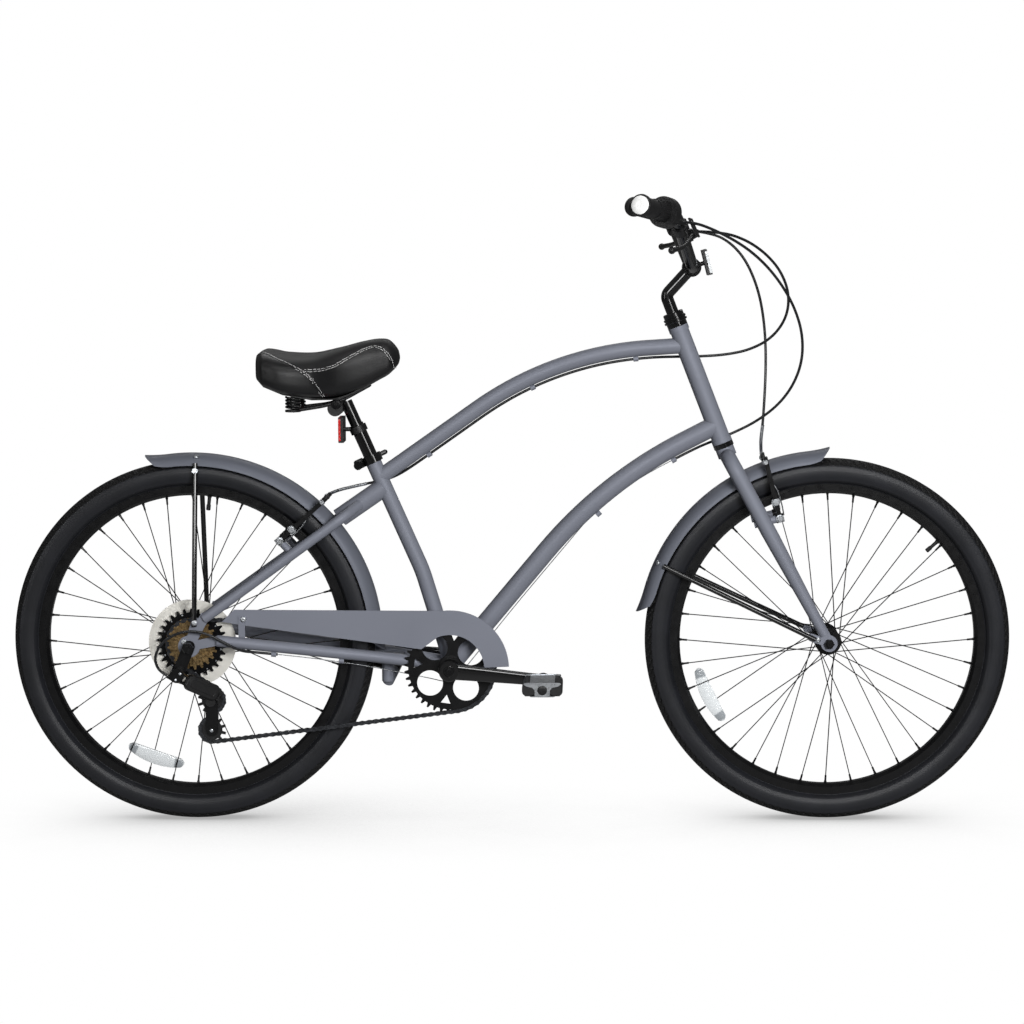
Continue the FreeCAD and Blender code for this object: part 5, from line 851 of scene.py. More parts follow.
@dataclass
class Studio:
    """The camera of the photograph, a white floor that keeps the shadow, and soft lamps."""

    eye: Triple = (137.0, -4742.0, 1100.6)
    yaw: float = -1.589
    pitch: float = 6.42
    roll: float = -0.346
    focal_px: float = 2617.6
    picture_px: float = 1024.0
    floor_half: float = 30000.0
    shadow_reach: float = 450.0
    sky: float = 0.03
    overhead_gloss: float = 0.16
    floor_gloss: float = 0.3
    horizon_gloss: float = 0.06
    pool_inner: float = 900.0
    pool_outer: float = 2200.0
    floor_grey: str = "#5c5c5c"
    shadow_open: tuple[float, float] = (0.3, 0.9)
    shadow_level: tuple[float, float] = (0.4, 1.0)
    overhead_rise: tuple[float, float] = (0.1, 0.75)
    lamps: tuple[tuple[str, Triple, float, tuple[float, float], float, Shine], ...] = (
        ("key_softbox", (1800, -4300, 1700), 450, (1500, 1500), 285.0, Shine.DULL),
        ("key_glow", (700, -4300, 1800), 450, (3800, 800), 105.0, Shine.GLOSS),
        ("fill_softbox", (-2000, -4600, 900), 500, (2200, 2200), 22.0, Shine.DULL),
        ("top_softbox", (200, -300, 4200), 400, (2600, 2600), 4.0, Shine.DULL),
        ("rear_softbox", (-500, 4600, 900), 500, (2400, 2400), 250.0, Shine.DULL),
        ("top_strip", (0, -1900, 3700), 500, (3600, 300), 26.0, Shine.GLOSS),
        ("left_strip", (-3300, -2500, 1300), 500, (300, 2200), 18.0, Shine.GLOSS),
        ("rear_strip", (0, 2600, 3300), 500, (3600, 300), 26.0, Shine.GLOSS))

    def build(self) -> None:
        """Builds the camera, the floor, the sky and the lamps."""
        bpy.context.scene.view_settings.view_transform = "Standard"
        self.camera()
        self.floor()
        self.world()
        for lamp in self.lamps:
            self.lamp(*lamp)

    def camera(self) -> None:
        """Builds the camera at the photograph's place."""
        yaw, pitch, roll = (math.radians(a) for a in (self.yaw, self.pitch, self.roll))
        forward = Vector((math.sin(yaw) * math.cos(pitch), math.cos(yaw) * math.cos(pitch), -math.sin(pitch)))
        right = Vector((math.cos(yaw), -math.sin(yaw), 0))
        up = right.cross(forward)
        right = right * math.cos(roll) + up * math.sin(roll)
        up = right.cross(forward)
        data = bpy.data.cameras.new("photo_camera")
        data.sensor_width = 36.0
        data.lens = self.focal_px / self.picture_px * data.sensor_width
        data.clip_end = 200.0
        camera = bpy.data.objects.new("photo_camera", data)
        turn = Matrix((right, up, -forward)).transposed().to_4x4()
        camera.matrix_world = Matrix.Translation(mm(self.eye)) @ turn
        bpy.context.scene.collection.objects.link(camera)
        bpy.context.scene.camera = camera

    def seen(self, tree: Tree, path: Sockets,
             shine: Socket) -> Socket:
        """Finds how much of the white background a ray sees.

        Args:
            tree: The floor's or the world's tree.
            path: The outputs of its Light Path node.
            shine: How white the background is in reflections.

        Returns:
            1 for camera and transmission rays, shine for glossy rays, and 0 for the light on the object.
        """
        glossy = add_node(tree, "ShaderNodeMath", {0: path["Is Glossy Ray"], 1: shine}, operation="MULTIPLY")
        plain = add_node(tree, "ShaderNodeMath", {0: path["Is Camera Ray"], 1: path["Is Transmission Ray"]},
                         operation="MAXIMUM")
        return add_node(tree, "ShaderNodeMath", {0: glossy.outputs[0], 1: plain.outputs[0]},
                        operation="MAXIMUM").outputs[0]

    def floor(self) -> None:
        """Builds the pale floor: white, with the soft shadow where the object stands close to it."""
        half = self.floor_half
        corners = [mm((x, y, -0.5)) for x, y in ((-half, -half), (half, -half), (half, half), (-half, half))]
        floor = make_piece("studio_floor", corners, [[0, 1, 2, 3]])
        material = bpy.data.materials.new("white_studio_floor")
        material.use_nodes = True
        tree = material.node_tree
        tree.nodes.clear()
        near = add_node(tree, "ShaderNodeAmbientOcclusion", {"Distance": self.shadow_reach * MM}, samples=16)
        level = add_node(tree, "ShaderNodeMapRange", {
            "Value": near.outputs["AO"], "From Min": self.shadow_open[0], "From Max": self.shadow_open[1],
            "To Min": self.shadow_level[0], "To Max": self.shadow_level[1]}).outputs[0]
        path = add_node(tree, "ShaderNodeLightPath").outputs
        reach = add_node(tree, "ShaderNodeVectorMath", {
            0: add_node(tree, "ShaderNodeTexCoord").outputs["Object"]}, operation="LENGTH").outputs["Value"]
        pool = add_node(tree, "ShaderNodeMapRange", {
            "Value": reach, "From Min": self.pool_inner * MM, "From Max": self.pool_outer * MM,
            "To Min": self.floor_gloss, "To Max": self.horizon_gloss}).outputs[0]
        seen = add_node(tree, "ShaderNodeEmission", {"Color": (1, 1, 1, 1), "Strength": level})
        lit = add_node(tree, "ShaderNodeBsdfDiffuse", {"Color": linear(self.floor_grey)})
        mixed = add_node(tree, "ShaderNodeMixShader", {0: self.seen(tree, path, pool), 1: lit.outputs[0],
                                                       2: seen.outputs[0]})
        add_node(tree, "ShaderNodeOutputMaterial", {"Surface": mixed.outputs[0]})
        floor.data.materials.append(material)

    def world(self) -> None:
        """Builds the sky: white behind the object, and a soft even light on it."""
        world = bpy.data.worlds.new("studio_white")
        bpy.context.scene.world = world
        world.use_nodes = True
        tree = world.node_tree
        tree.nodes.clear()
        path = add_node(tree, "ShaderNodeLightPath").outputs
        way = add_node(tree, "ShaderNodeTexCoord").outputs["Generated"]
        above = add_node(tree, "ShaderNodeMapRange", {
            "Value": add_node(tree, "ShaderNodeSeparateXYZ", {0: way}).outputs["Z"],
            "From Min": self.overhead_rise[0], "From Max": self.overhead_rise[1],
            "To Min": self.horizon_gloss, "To Max": self.overhead_gloss}).outputs[0]
        light = add_node(tree, "ShaderNodeBackground", {"Color": (1, 1, 1, 1), "Strength": self.sky})
        white = add_node(tree, "ShaderNodeBackground", {"Color": (1, 1, 1, 1), "Strength": 1.0})
        mixed = add_node(tree, "ShaderNodeMixShader", {0: self.seen(tree, path, above), 1: light.outputs[0],
                                                       2: white.outputs[0]})
        add_node(tree, "ShaderNodeOutputWorld", {"Surface": mixed.outputs[0]})

    def lamp(self, name: str, place: Triple, aim: float, size: tuple[float, float], power: float,
             shine: Shine) -> None:
        """Builds one softbox.

        Args:
            name: The lamp's name.
            place: Where it hangs, in millimetres.
            aim: The height of the point over the origin that it faces.
            size: The width and height of its face.
            power: Its power in watts.
            shine: Whether it lights colours or only draws highlights.
        """
        data = bpy.data.lights.new(name, "AREA")
        data.shape = "RECTANGLE"
        data.size, data.size_y = size[0] * MM, size[1] * MM
        data.energy = power
        lamp = bpy.data.objects.new(name, data)
        lamp.visible_glossy = shine is not Shine.DULL
        lamp.visible_diffuse = shine is not Shine.GLOSS
        way = mm((0, 0, aim)) - mm(place)
        lamp.matrix_world = Matrix.Translation(mm(place)) @ way.to_track_quat("-Z", "Y").to_matrix().to_4x4()
        bpy.context.scene.collection.objects.link(lamp)


# ---------------------------------------------------------------- cables


@dataclass
class Cables:
    """Brake and shift cables: sleeves on smooth lines and the bare shift wire."""

    sleeve_radius: float = 2.5
    wire_radius: float = 0.8
    rear_brake: tuple[Triple, ...] = (
        (336.7, -136.9, 1074.4), (380, -106, 1073), (422, -85, 1060), (459, -66, 1036), (489, -45, 1003),
        (506, -24, 961), (503, -3, 918), (478, 12, 881), (438, 22, 859), (392, 26, 850), (344, 26, 847.5),
        (298, 17, 847.8), (258.1, 0, 847.6), (207.5, 0, 842.7), (157.5, 0, 833.4), (108.5, 0, 819.8),
        (58.9, 0, 801.2), (13.1, 0, 779.2), (-30.6, 0, 753.2), (-81.5, 0, 717.4), (-128, 0, 685),
        (-176, 0.6, 651.3), (-204, 13, 633.5), (-228, 25, 624), (-262, 27, 617), (-294, 29, 610),
        (-316, 34, 604))
    shift_front: tuple[Triple, ...] = (
        (303, -202.2, 1090.7), (315, -180, 1091), (340, -159, 1087), (376, -141, 1072), (418, -121, 1049),
        (456, -100, 1018), (488, -78, 980), (513, -56, 938), (529, -34, 891), (531, -13, 842), (517, 4, 797),
        (490, 15, 759), (450, 24, 728), (406, 30, 706), (366, 24, 691), (336, 6, 680.2), (298, 0, 660.9))
    shift_wire: tuple[Triple, ...] = (
        (298, 0, 660.9), (187.5, 0, 605.5), (84.3, 0, 483.1), (-4, -1, 378), (-84, -4, 276), (-110, -8, 252),
        (-150, -16, 264), (-310.7, -47.6, 301.1), (-420, -60.8, 314.6))
    shift_rear: tuple[Triple, ...] = (
        (-420, -60.8, 314.6), (-458, -65.3, 319.3), (-486, -80, 324), (-514, -88, 341), (-542, -90, 357),
        (-574, -92, 364), (-606, -93, 356), (-630, -93, 337), (-639, -92, 316), (-637, -91, 300),
        (-629.5, -90, 288), (-618.2, -88, 280.5))
    front_brake: tuple[Triple, ...] = (
        (336.7, 136.9, 1074.4), (376, 111, 1069), (404, 94, 1054), (427, 77, 1030), (444, 60, 998),
        (457, 44, 958), (464, 30, 914), (467, 19, 867), (466.5, 10, 818), (464, 4, 770), (461, 1.5, 726),
        (458, 4, 701), (458.5, 12, 683), (460, 25, 672), (461.5, 35.4, 668))

    def build(self) -> None:
        """Builds the four sleeves and the long bare wire."""
        self.sleeve("rear_brake_sleeve", self.rear_brake, "rear_brake_cable",
                    blend=((450, 0, 1000), (450, 0, 862)))
        self.sleeve("shift_front_sleeve", self.shift_front, "shift_cable",
                    blend=((450, 0, 1000), (450, 0, 700)))
        self.sleeve("shift_rear_sleeve", self.shift_rear, None)
        self.sleeve("front_brake_sleeve", self.front_brake, "front_brake_cable", body=Body.STEERING)
        wire = tube("shift_bare_wire", smooth_line([mm(p) for p in self.shift_wire]), self.wire_radius, 8)
        dress(wire, WIRE_STEEL, Body.FRAME)

    def sleeve(self, name: str, route: Sequence[Triple], node: Optional[str],
               body: Body = Body.FRAME, blend: Optional[tuple[Triple, Triple]] = None) -> None:
        """Builds one sleeve as a tube along a smooth line over its route.

        Args:
            name: The piece's name.
            route: The control points in millimetres.
            node: The CAD node that it stands for, if any.
            body: The body that it rides on when no blend is given.
            blend: Where it leaves the steering and where it is held by the frame; these points are not used,
                and when blend is given the sleeve rides on no body.
        """
        path = smooth_line([mm(p) for p in route])
        piece = tube(name, path, self.sleeve_radius, 12)
        dress(piece, HOUSING, None if blend else body)
        if blend:
            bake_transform(piece)
        if node:
            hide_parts(node)


# ---------------------------------------------------------------- wheels


@dataclass
class Wheel:
    """One wheel's tyre, nipples, valve and spoke reflector."""

    body: Body
    tyre_node: str
    centre_x: float
    flange_radius: float
    flange_right: float
    flange_left: float
    valve_turn: float
    lens_turn: float
    lens_radius: float
    centre_z: float = 332.0
    tyre_radius: float = 332.0
    tyre_half_width: float = 26.5
    rim_radius: float = 286.0
    rim_depth: float = 18.0
    spokes: int = 36
    spoke_lean: float = 60.0
    spoke_lift: float = 2.55
    grooves: int = 132
    tread_reach: float = 28.0
    steps_per_groove: int = 8
    groove_depth: float = 2.4
    line_height: float = 0.7
    lens_length: float = 108.0
    lens_height: float = 25.0
    lens_thickness: float = 5.0
    lens_columns: int = 40
    lens_bow: float = 0.42
    lens_dark: tuple[float, float] = (0.66, 0.97)
    section_step: float = 5.2
    section_points: int = 31
    bead_power: float = 0.72
    moulded_lines: tuple[tuple[float, float], ...] = ((319.0, 1.54), (293.5, 1.4))
    bead: tuple[tuple[float, float], ...] = ((2.0, 11.2), (4.5, 9.0))
    groove_share: float = 0.34
    groove_slant: float = 0.075
    groove_start: float = 8.0

    def build(self) -> None:
        """Builds the wheel's pieces."""
        self.tyre()
        self.nipples()
        self.valve()
        self.reflector()

    def ray(self, degrees: float, radius: float, lateral: float) -> Vector:
        """Returns a point round the wheel's axle in metres."""
        return round_axle((self.centre_x, 0.0, self.centre_z), degrees, radius, lateral) * MM

    def section(self) -> tuple[Outline, list[float]]:
        """Lists the tyre's section.

        Returns:
            Pairs of radius and lateral place, and each pair's distance from the crown.
        """
        middle = (self.tyre_radius + self.rim_radius) / 2
        tall = (self.tyre_radius - self.rim_radius) / 2
        half = []
        for i in range(self.section_points):
            turn = math.radians(self.section_step * i)
            cosine, sine = math.cos(turn), math.sin(turn)
            if cosine >= 0:
                half.append((middle + tall * cosine, self.tyre_half_width * sine))
            else:
                half.append((middle - tall * abs(cosine) ** self.bead_power,
                             self.tyre_half_width * sine ** self.bead_power))
        half = [p for p in half if p[0] > self.rim_radius + 0.8]
        lines = []
        for radius, lateral in half:
            raised = any(abs(radius - place) < reach for place, reach in self.moulded_lines)
            lift = self.line_height if raised else 0.0
            lines.append((radius + lift * 0.3, lateral + lift))
        half = lines + [(self.rim_radius - depth, lateral) for depth, lateral in self.bead]
        ring = half + [(r, -y) for r, y in half[:0:-1]]
        reach = [0.0]
        for (r0, y0), (r1, y1) in zip(half, half[1:]):
            reach.append(reach[-1] + math.hypot(r1 - r0, y1 - y0))
        return ring, reach + reach[:0:-1]

    def tyre(self) -> None:
        """Builds the tyre with its moulded lines and slanted shoulder grooves."""
        ring, reach = self.section()
        count = self.grooves * self.steps_per_groove
        points = [self.ray(360 * i / count, r, y) for i in range(count) for r, y in ring]
        name = self.tyre_node + "_tread"
        piece = make_piece(name, points, loft_faces(count, len(ring), closed=True), 30.0)
        set_values(piece, "around", [i / count for i in range(count) for _ in ring])
        set_values(piece, "across", reach * count)
        TREAD.run(piece, {"Groove Count": float(self.grooves), "Groove Depth": self.groove_depth * MM,
                          "Groove Share": self.groove_share, "Slant": self.groove_slant,
                          "Inner": self.groove_start, "Outer": self.tread_reach - 1.0,
                          "Finish": TYRE_RUBBER.material()})
        # The tread band: duller, and darker in colour as painted shade.
        set_values(piece, "tread", [float(d < self.tread_reach) for d in reach * count])
        for label in ("around", "across"):
            piece.data.attributes.remove(piece.data.attributes[label])
        piece.data.set_sharp_from_angle(angle=math.radians(30))
        dress(piece, TYRE_RUBBER, self.body)
        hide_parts(self.tyre_node)

    def nipples(self) -> None:
        """Builds the nipple at the head of each spoke."""
        shape = lathe("nipple_shape", [(0, -1), (2.6, -1), (2.6, 2), (1.9, 3.5), (1.75, 13), (0, 13.5)],
                      HERE, 8)
        seeds = []
        for i in range(self.spokes):
            side = 1 if i % 2 else -1
            lean = 1 if i // 2 % 2 else -1
            flange = self.flange_left if side > 0 else self.flange_right
            turn = 360 / self.spokes * i
            foot = self.ray(turn + self.spoke_lean * lean, self.flange_radius - 3,
                            flange * side + lean * self.spoke_lift)
            head = self.ray(turn, self.rim_radius - self.rim_depth - 0.3, 4 * side)
            seeds.append((head, (foot - head).normalized(), Vector((0, 1, 0))))
        PLACING.place(self.tyre_node.replace("tyre", "nipples"), shape, seeds, SATIN_BLACK, self.body)
        drop(shape)

    def valve(self) -> None:
        """Builds the valve stem with its ribbed cap."""
        place = stand(self.ray(self.valve_turn, self.rim_radius - self.rim_depth + 1, 0) / MM,
                      self.ray(self.valve_turn + 180, 1, 0) / MM - Vector((self.centre_x, 0, self.centre_z)),
                      (0, 1, 0))
        profile = [(0, 0), (4.2, 0), (4.2, 3), (3.4, 4), (3.2, 17), (4.1, 17.5), (4.1, 19.5), (3.8, 20),
                   (4.1, 20.5), (4.1, 22.5), (3.8, 23), (4.1, 23.5), (4.1, 26), (3.4, 27.5), (0, 28)]
        dress(lathe(self.tyre_node.replace("tyre", "valve"), profile, place, 16), GRIP_RUBBER, self.body)

    def reflector(self) -> None:
        """Builds the bowed clear reflector that is clipped between the spokes."""
        points, facet, outline = [], [], []
        for i in range(self.lens_columns + 1):
            along = 2 * i / self.lens_columns - 1
            tall = self.lens_height / 2 * (1 - self.lens_bow * along ** 2)
            outline.append((along, tall * min(1, (1.03 - abs(along)) * 9)))
        half_turn = math.degrees(self.lens_length / 2 / self.lens_radius)
        layers = ((0.9, -0.5), (1.0, -0.36), (1.0, 0.36), (0.9, 0.5), (0.8, 0.5))
        for along, tall in outline:
            for share, level in layers + tuple((-s, v) for s, v in layers[::-1]):
                points.append(self.ray(self.lens_turn + along * half_turn, self.lens_radius + tall * share,
                                       level * self.lens_thickness))
                dark = self.lens_dark[0] < abs(along) < self.lens_dark[1] and abs(share) < 0.95
                facet.append(1.0 if dark else 0.0)
        across = 2 * len(layers)
        piece = make_piece(self.tyre_node.replace("tyre", "spoke_reflector"), points,
                           loft_faces(len(outline), across), 40.0)
        if len(piece.data.vertices) == len(facet):
            set_values(piece, "facet", facet)
        dress(piece, CLEAR_LENS, self.body)


# ---------------------------------------------------------------- saddle


def round_end(share: float) -> float:
    """Returns how far a quarter circle has risen at a share of its reach."""
    return math.sqrt(1 - (1 - min(share, 1.0)) ** 2)


def grow(least: float, share: float) -> float:
    """Returns a factor that grows from a least value to 1 with a share."""
    return least + (1 - least) * share


@dataclass
class Saddle:
    """The moulded foam saddle under its sewn vinyl cover."""

    tail: Triple = (-454.15, 0.0, 778.63)
    length: float = 258.0
    half_width: float = 107.0
    height: float = 102.0
    rows: tuple[tuple[float, float, float, float], ...] = (
        (0, .62, .31, .79), (.06, .88, .21, .86), (.2, 1, .08, .8), (.4, .88, .01, .79),
        (.58, .56, .02, .89), (.76, .4, .17, 1), (.9, .36, .36, 1.03), (1, .33, .5, .93))
    stations: int = 170
    around: int = 150
    seam_depth: float = 1.3
    seam_half: float = 2.4
    seam_power: float = 0.8
    stitch_gap: float = 4.0
    stitch_side: float = 1.9
    tail_reach: float = 0.07
    nose_reach: float = 0.085
    tail_least: tuple[float, float] = (0.62, 0.76)
    nose_least: tuple[float, float] = (0.1, 0.12)
    crown_power: float = 0.74
    under_power: float = 0.5
    widest: float = 0.46
    dip_depth: float = 3.5
    dip_half: float = 22.0
    dip_station: float = 0.42
    dip_reach: float = 0.4
    seams: tuple[tuple[tuple[float, float], ...], ...] = (
        ((.03, .95), (.19, .87), (.32, .70), (.39, .54), (.435, .34), (.484, .04)),
        ((.37, .66), (.516, .62), (.62, .72), (.72, .80), (.80, .855), (.858, .825), (.915, .68),
         (.955, .37), (.96, .05)))

    def build(self) -> None:
        """Builds the cover with its seams, and the stitches along them."""
        lines = [self.seam_line(seam, side) for seam in self.seams for side in Side]
        self.cover(lines)
        self.stitches(lines)

    def row(self, station: float) -> tuple[float, float, float]:
        """Reads the section at a station.

        Args:
            station: The place from the tail, 0, to the nose, 1.

        Returns:
            The half width, underside and crown in millimetres.
        """
        keys = [r[0] for r in self.rows]
        k = max(0, min(len(keys) - 2, next((i for i, s in enumerate(keys) if s > station), len(keys)) - 1))
        t = (station - keys[k]) / (keys[k + 1] - keys[k])
        values = []
        for c in (1, 2, 3):
            p = [self.rows[max(0, min(len(keys) - 1, k + d))][c] for d in (-1, 0, 1, 2)]
            values.append(p[1] + 0.5 * t * (p[2] - p[0] + t * (2 * p[0] - 5 * p[1] + 4 * p[2] - p[3]
                                                               + t * (3 * (p[1] - p[2]) + p[3] - p[0]))))
        return (values[0] * self.half_width, self.tail[2] + values[1] * self.height,
                self.tail[2] + values[2] * self.height)

    def ring(self, station: float, turn: float) -> Vector:
        """Returns a point of the cover in millimetres.

        Args:
            station: The place from the tail, 0, to the nose, 1.
            turn: The angle round the section, 0 on the left and a quarter turn at the crown.

        Returns:
            The point.
        """
        wide, low, high = self.row(station)
        tail = round_end(station / self.tail_reach)
        nose = round_end((1 - station) / self.nose_reach)
        shrink = min(grow(self.tail_least[0], tail), grow(self.nose_least[0], nose))
        cosine, sine = math.cos(turn), math.sin(turn)
        power = self.crown_power if sine > 0 else self.under_power
        lateral = math.copysign(abs(cosine) ** power, cosine) * wide * shrink
        middle = low + self.widest * (high - low)
        reach = (high - middle) if sine > 0 else (middle - low)
        level = math.copysign(abs(sine) ** power, sine) * reach * min(
            grow(self.tail_least[1], shrink), grow(self.nose_least[1], nose))
        dip = self.dip_depth * (max(0.0, 1 - abs(lateral) / self.dip_half) * max(0.0, sine)
                                * max(0.0, 1 - abs(station - self.dip_station) / self.dip_reach))
        return Vector((self.tail[0] + station * self.length, lateral, middle + level - dip))

    def turn_at(self, station: float, share: float) -> float:
        """Finds the angle round the section at a height.

        Args:
            station: The place from the tail, 0, to the nose, 1.
            share: The height between the underside, 0, and the crown, 1.

        Returns:
            The angle on the left side.
        """
        _, low, high = self.row(station)
        goal = low + share * (high - low)
        turns = [math.radians(-80 + i) for i in range(166)]
        return min(turns, key=lambda t: abs(self.ring(station, t).z - goal))

    def seam_line(self, seam: Sequence[tuple[float, float]], side: Side) -> list[Vector]:
        """Lays a seam on the cover.

        Args:
            seam: Stations and heights along it.
            side: The side of the saddle.

        Returns:
            Points along the seam in millimetres, about one each millimetre.
        """
        plan = smooth_line([(station, share, 0.0) for station, share in seam], 24)
        line = []
        for spot in plan:
            point = self.ring(spot.x, self.turn_at(spot.x, spot.y))
            line.append(Vector((point.x, point.y * side.value, point.z)))
        return line

    def cover(self, lines: Sequence[Sequence[Vector]]) -> None:
        """Builds the cover and presses the seams into it.

        Args:
            lines: The seams' points in millimetres.
        """
        places = np.array([self.ring((i + 0.5) / self.stations if 0 < i < self.stations - 1
                                     else (0.0 if i == 0 else 1.0), math.tau * j / self.around)
                           for i in range(self.stations) for j in range(self.around)])
        gap = np.full(len(places), 1e9)
        for line in lines:
            for point in np.array(line):
                gap = np.minimum(gap, np.linalg.norm(places - point, axis=1))
        press = self.seam_depth * np.clip(1 - gap / self.seam_half, 0, 1) ** self.seam_power
        centres = places.reshape(self.stations, self.around, 3).mean(axis=1).repeat(self.around, axis=0)
        inward = centres - places
        inward[:, 0] *= 0.2
        inward /= np.maximum(np.linalg.norm(inward, axis=1, keepdims=True), 1e-6)
        places = places + inward * press[:, None]
        piece = make_piece("saddle_cover", [mm(p) for p in places],
                           loft_faces(self.stations, self.around), 60.0)
        set_values(piece, "top_panel", [self.on_top(v.co / MM) for v in piece.data.vertices])
        dress(piece, VINYL, Body.SADDLE)
        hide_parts("saddle_cushion")

    def on_top(self, point: Vector) -> float:
        """Tells whether a point of the cover lies above both seams.

        Args:
            point: The point in millimetres.

        Returns:
            1 above the seams and 0 below.
        """
        station = min(1.0, max(0.0, (point.x - self.tail[0]) / self.length))
        _, low, high = self.row(station)
        share = (point.z - low) / max(high - low, 1e-6)
        for seam in self.seams:
            for (s0, h0), (s1, h1) in zip(seam, seam[1:]):
                if s0 <= station <= s1 and share < h0 + (h1 - h0) * (station - s0) / (s1 - s0):
                    return 0.0
        return 1.0

    def stitches(self, lines: Sequence[Sequence[Vector]]) -> None:
        """Builds the two rows of stitches beside each seam.

        Args:
            lines: The seams' points in millimetres.
        """
        shape = lathe("stitch_shape", [(0, -1.6), (0.42, -1.3), (0.55, 0), (0.42, 1.3), (0, 1.6)],
                      HERE, 6)
        seeds = []
        for line in lines:
            travelled, due = 0.0, 2.0
            for a, b in zip(line, line[1:]):
                step = (b - a).length
                travelled += step
                if travelled < due or step < 1e-6:
                    continue
                due += self.stitch_gap
                way = (b - a).normalized()
                station = (a.x - self.tail[0]) / self.length
                _, low, high = self.row(station)
                out = (a - Vector((a.x, 0, low + 0.45 * (high - low)))).normalized()
                beside = way.cross(out).normalized()
                for side in (-1, 1):
                    spot = a + beside * side * self.stitch_side + out * 0.1
                    seeds.append((spot * MM, way, out))
        PLACING.place("saddle_stitches", shape, seeds, THREAD, Body.SADDLE)
        drop(shape)


# ---------------------------------------------------------------- handlebar and reflectors

# A lens over its back: the round rim and the sunk face, as rows of round_layers.
LENS_ROWS = ((0, 0, 5, 4.4), (1.6, 1.6, 4.4, 5.0), (5, 5, 3, 5.0), (6, 6, 3, 4.6))


@dataclass
class Cockpit:
    """White bar ends, the ribbed twist grip and the lens of the front reflector."""

    bar_end: Triple = (234.6, 312.0, 1119.5)
    bar_way: Triple = (-0.42236, 0.89836, 0.12068)
    plug_height: float = 5.0
    twist_radius: float = 17.5
    twist_middle: float = 71.5
    twist_length: float = 34.0
    ribs: int = 30
    rib_width: float = 1.2
    head_top: Triple = (307.1, 0.0, 903.5)
    head_up: Triple = (-0.35837, 0.0, 0.93358)
    lamp_middle: Triple = (358.62, 0.0, 1018.54)
    lamp_tilt: float = 14.0
    lens_width: float = 52.6
    lens_height: float = 46.6

    def build(self) -> None:
        """Builds the pieces on the handlebar."""
        for side in Side:
            self.bar_cap(side)
        self.twist_ribs()
        self.front_lens()
        self.headset_rings()

    def end(self, side: Side) -> tuple[Vector, Vector]:
        """Returns a bar end and the way that it points, in millimetres."""
        return mirrored(self.bar_end, side.value), mirrored(self.bar_way, side.value)

    def bar_cap(self, side: Side) -> None:
        """Builds the flange and the white face of one bar end.

        Args:
            side: The side of the bar.
        """
        end, way = self.end(side)
        place = stand(end + way * self.plug_height, way)
        ring = [(0, -13), (16.2, -13), (17.4, -11.5), (18.8, -8), (19.2, -4), (18.6, -0.6), (17.2, 0.6),
                (0, 0.6)]
        dress(lathe("grip_flange_" + side.name.lower(), ring, place, 40), GRIP_RUBBER, Body.STEERING)
        profile = [(0, -1), (15.8, -1), (15.8, 0.9), (15, 1.5), (6.4, 1.9), (6.1, 1.5), (5.6, 1.5),
                   (5.3, 1.9), (1.4, 1.95), (1.1, 1.5), (0, 1.5)]
        dress(lathe("bar_cap_" + side.name.lower(), profile, place, 40), WHITE_CAP, Body.STEERING)

    def twist_ribs(self) -> None:
        """Builds the ribs round the twist grip."""
        end, way = self.end(Side.RIGHT)
        middle = end - way * self.twist_middle
        rows = ((0, 0, 0.5, -0.6), (0, 0, 0.5, 0.2), (0.7, 1.2, 0.2, 0.8))
        shape = layered("rib_shape", round_layers(self.rib_width, self.twist_length, rows, 2), HERE)
        first = way.orthogonal().normalized()
        seeds = []
        for i in range(self.ribs):
            out = Matrix.Rotation(math.tau * i / self.ribs, 3, way) @ first
            seeds.append(((middle + out * self.twist_radius) * MM, out, way.cross(out)))
        PLACING.place("twist_grip_ribs", shape, seeds, GRIP_RUBBER, Body.TWIST_GRIP)
        drop(shape)

    def front_lens(self) -> None:
        """Builds the clear lens over the front reflector's holder."""
        tilt = math.radians(self.lamp_tilt)
        place = stand(self.lamp_middle, (math.cos(tilt), 0, math.sin(tilt)), (0, 1, 0))
        layers = round_layers(self.lens_width, self.lens_height, ((0, 0, 5, 0.6), *LENS_ROWS))
        dress(layered("front_reflector_lens", layers, place), CLEAR_LENS, Body.STEERING)

    def headset_rings(self) -> None:
        """Builds the stepped rings of the headset above its upper cup."""
        place = stand(self.head_top, self.head_up)
        profile = [(0, 8.4), (20.5, 8.4), (21.3, 9.2), (21.3, 11.6), (19.4, 12.2), (19.4, 13.8), (20.8, 14.4),
                   (20.8, 17.6), (18.6, 18.4), (18.6, 25.4), (17.4, 26.6), (0, 26.8)]
        dress(lathe("headset_rings", profile, place, 36), GLOSS_BLACK, Body.STEERING)


@dataclass
class TailLight:
    """The red lens of the rear reflector on the seat post."""

    middle: Triple = (-303.02, 0.0, 719.46)
    width: float = 52.6
    height: float = 46.6

    def build(self) -> None:
        """Builds the red lens over its holder."""
        place = stand(self.middle, (-1, 0, 0), (0, 1, 0))
        layers = round_layers(self.width, self.height, ((0, 0, 5, 0.8), *LENS_ROWS))
        dress(layered("rear_reflector_lens", layers, place), RED_LENS, Body.SEAT_POST)


# ---------------------------------------------------------------- pedals and hardware


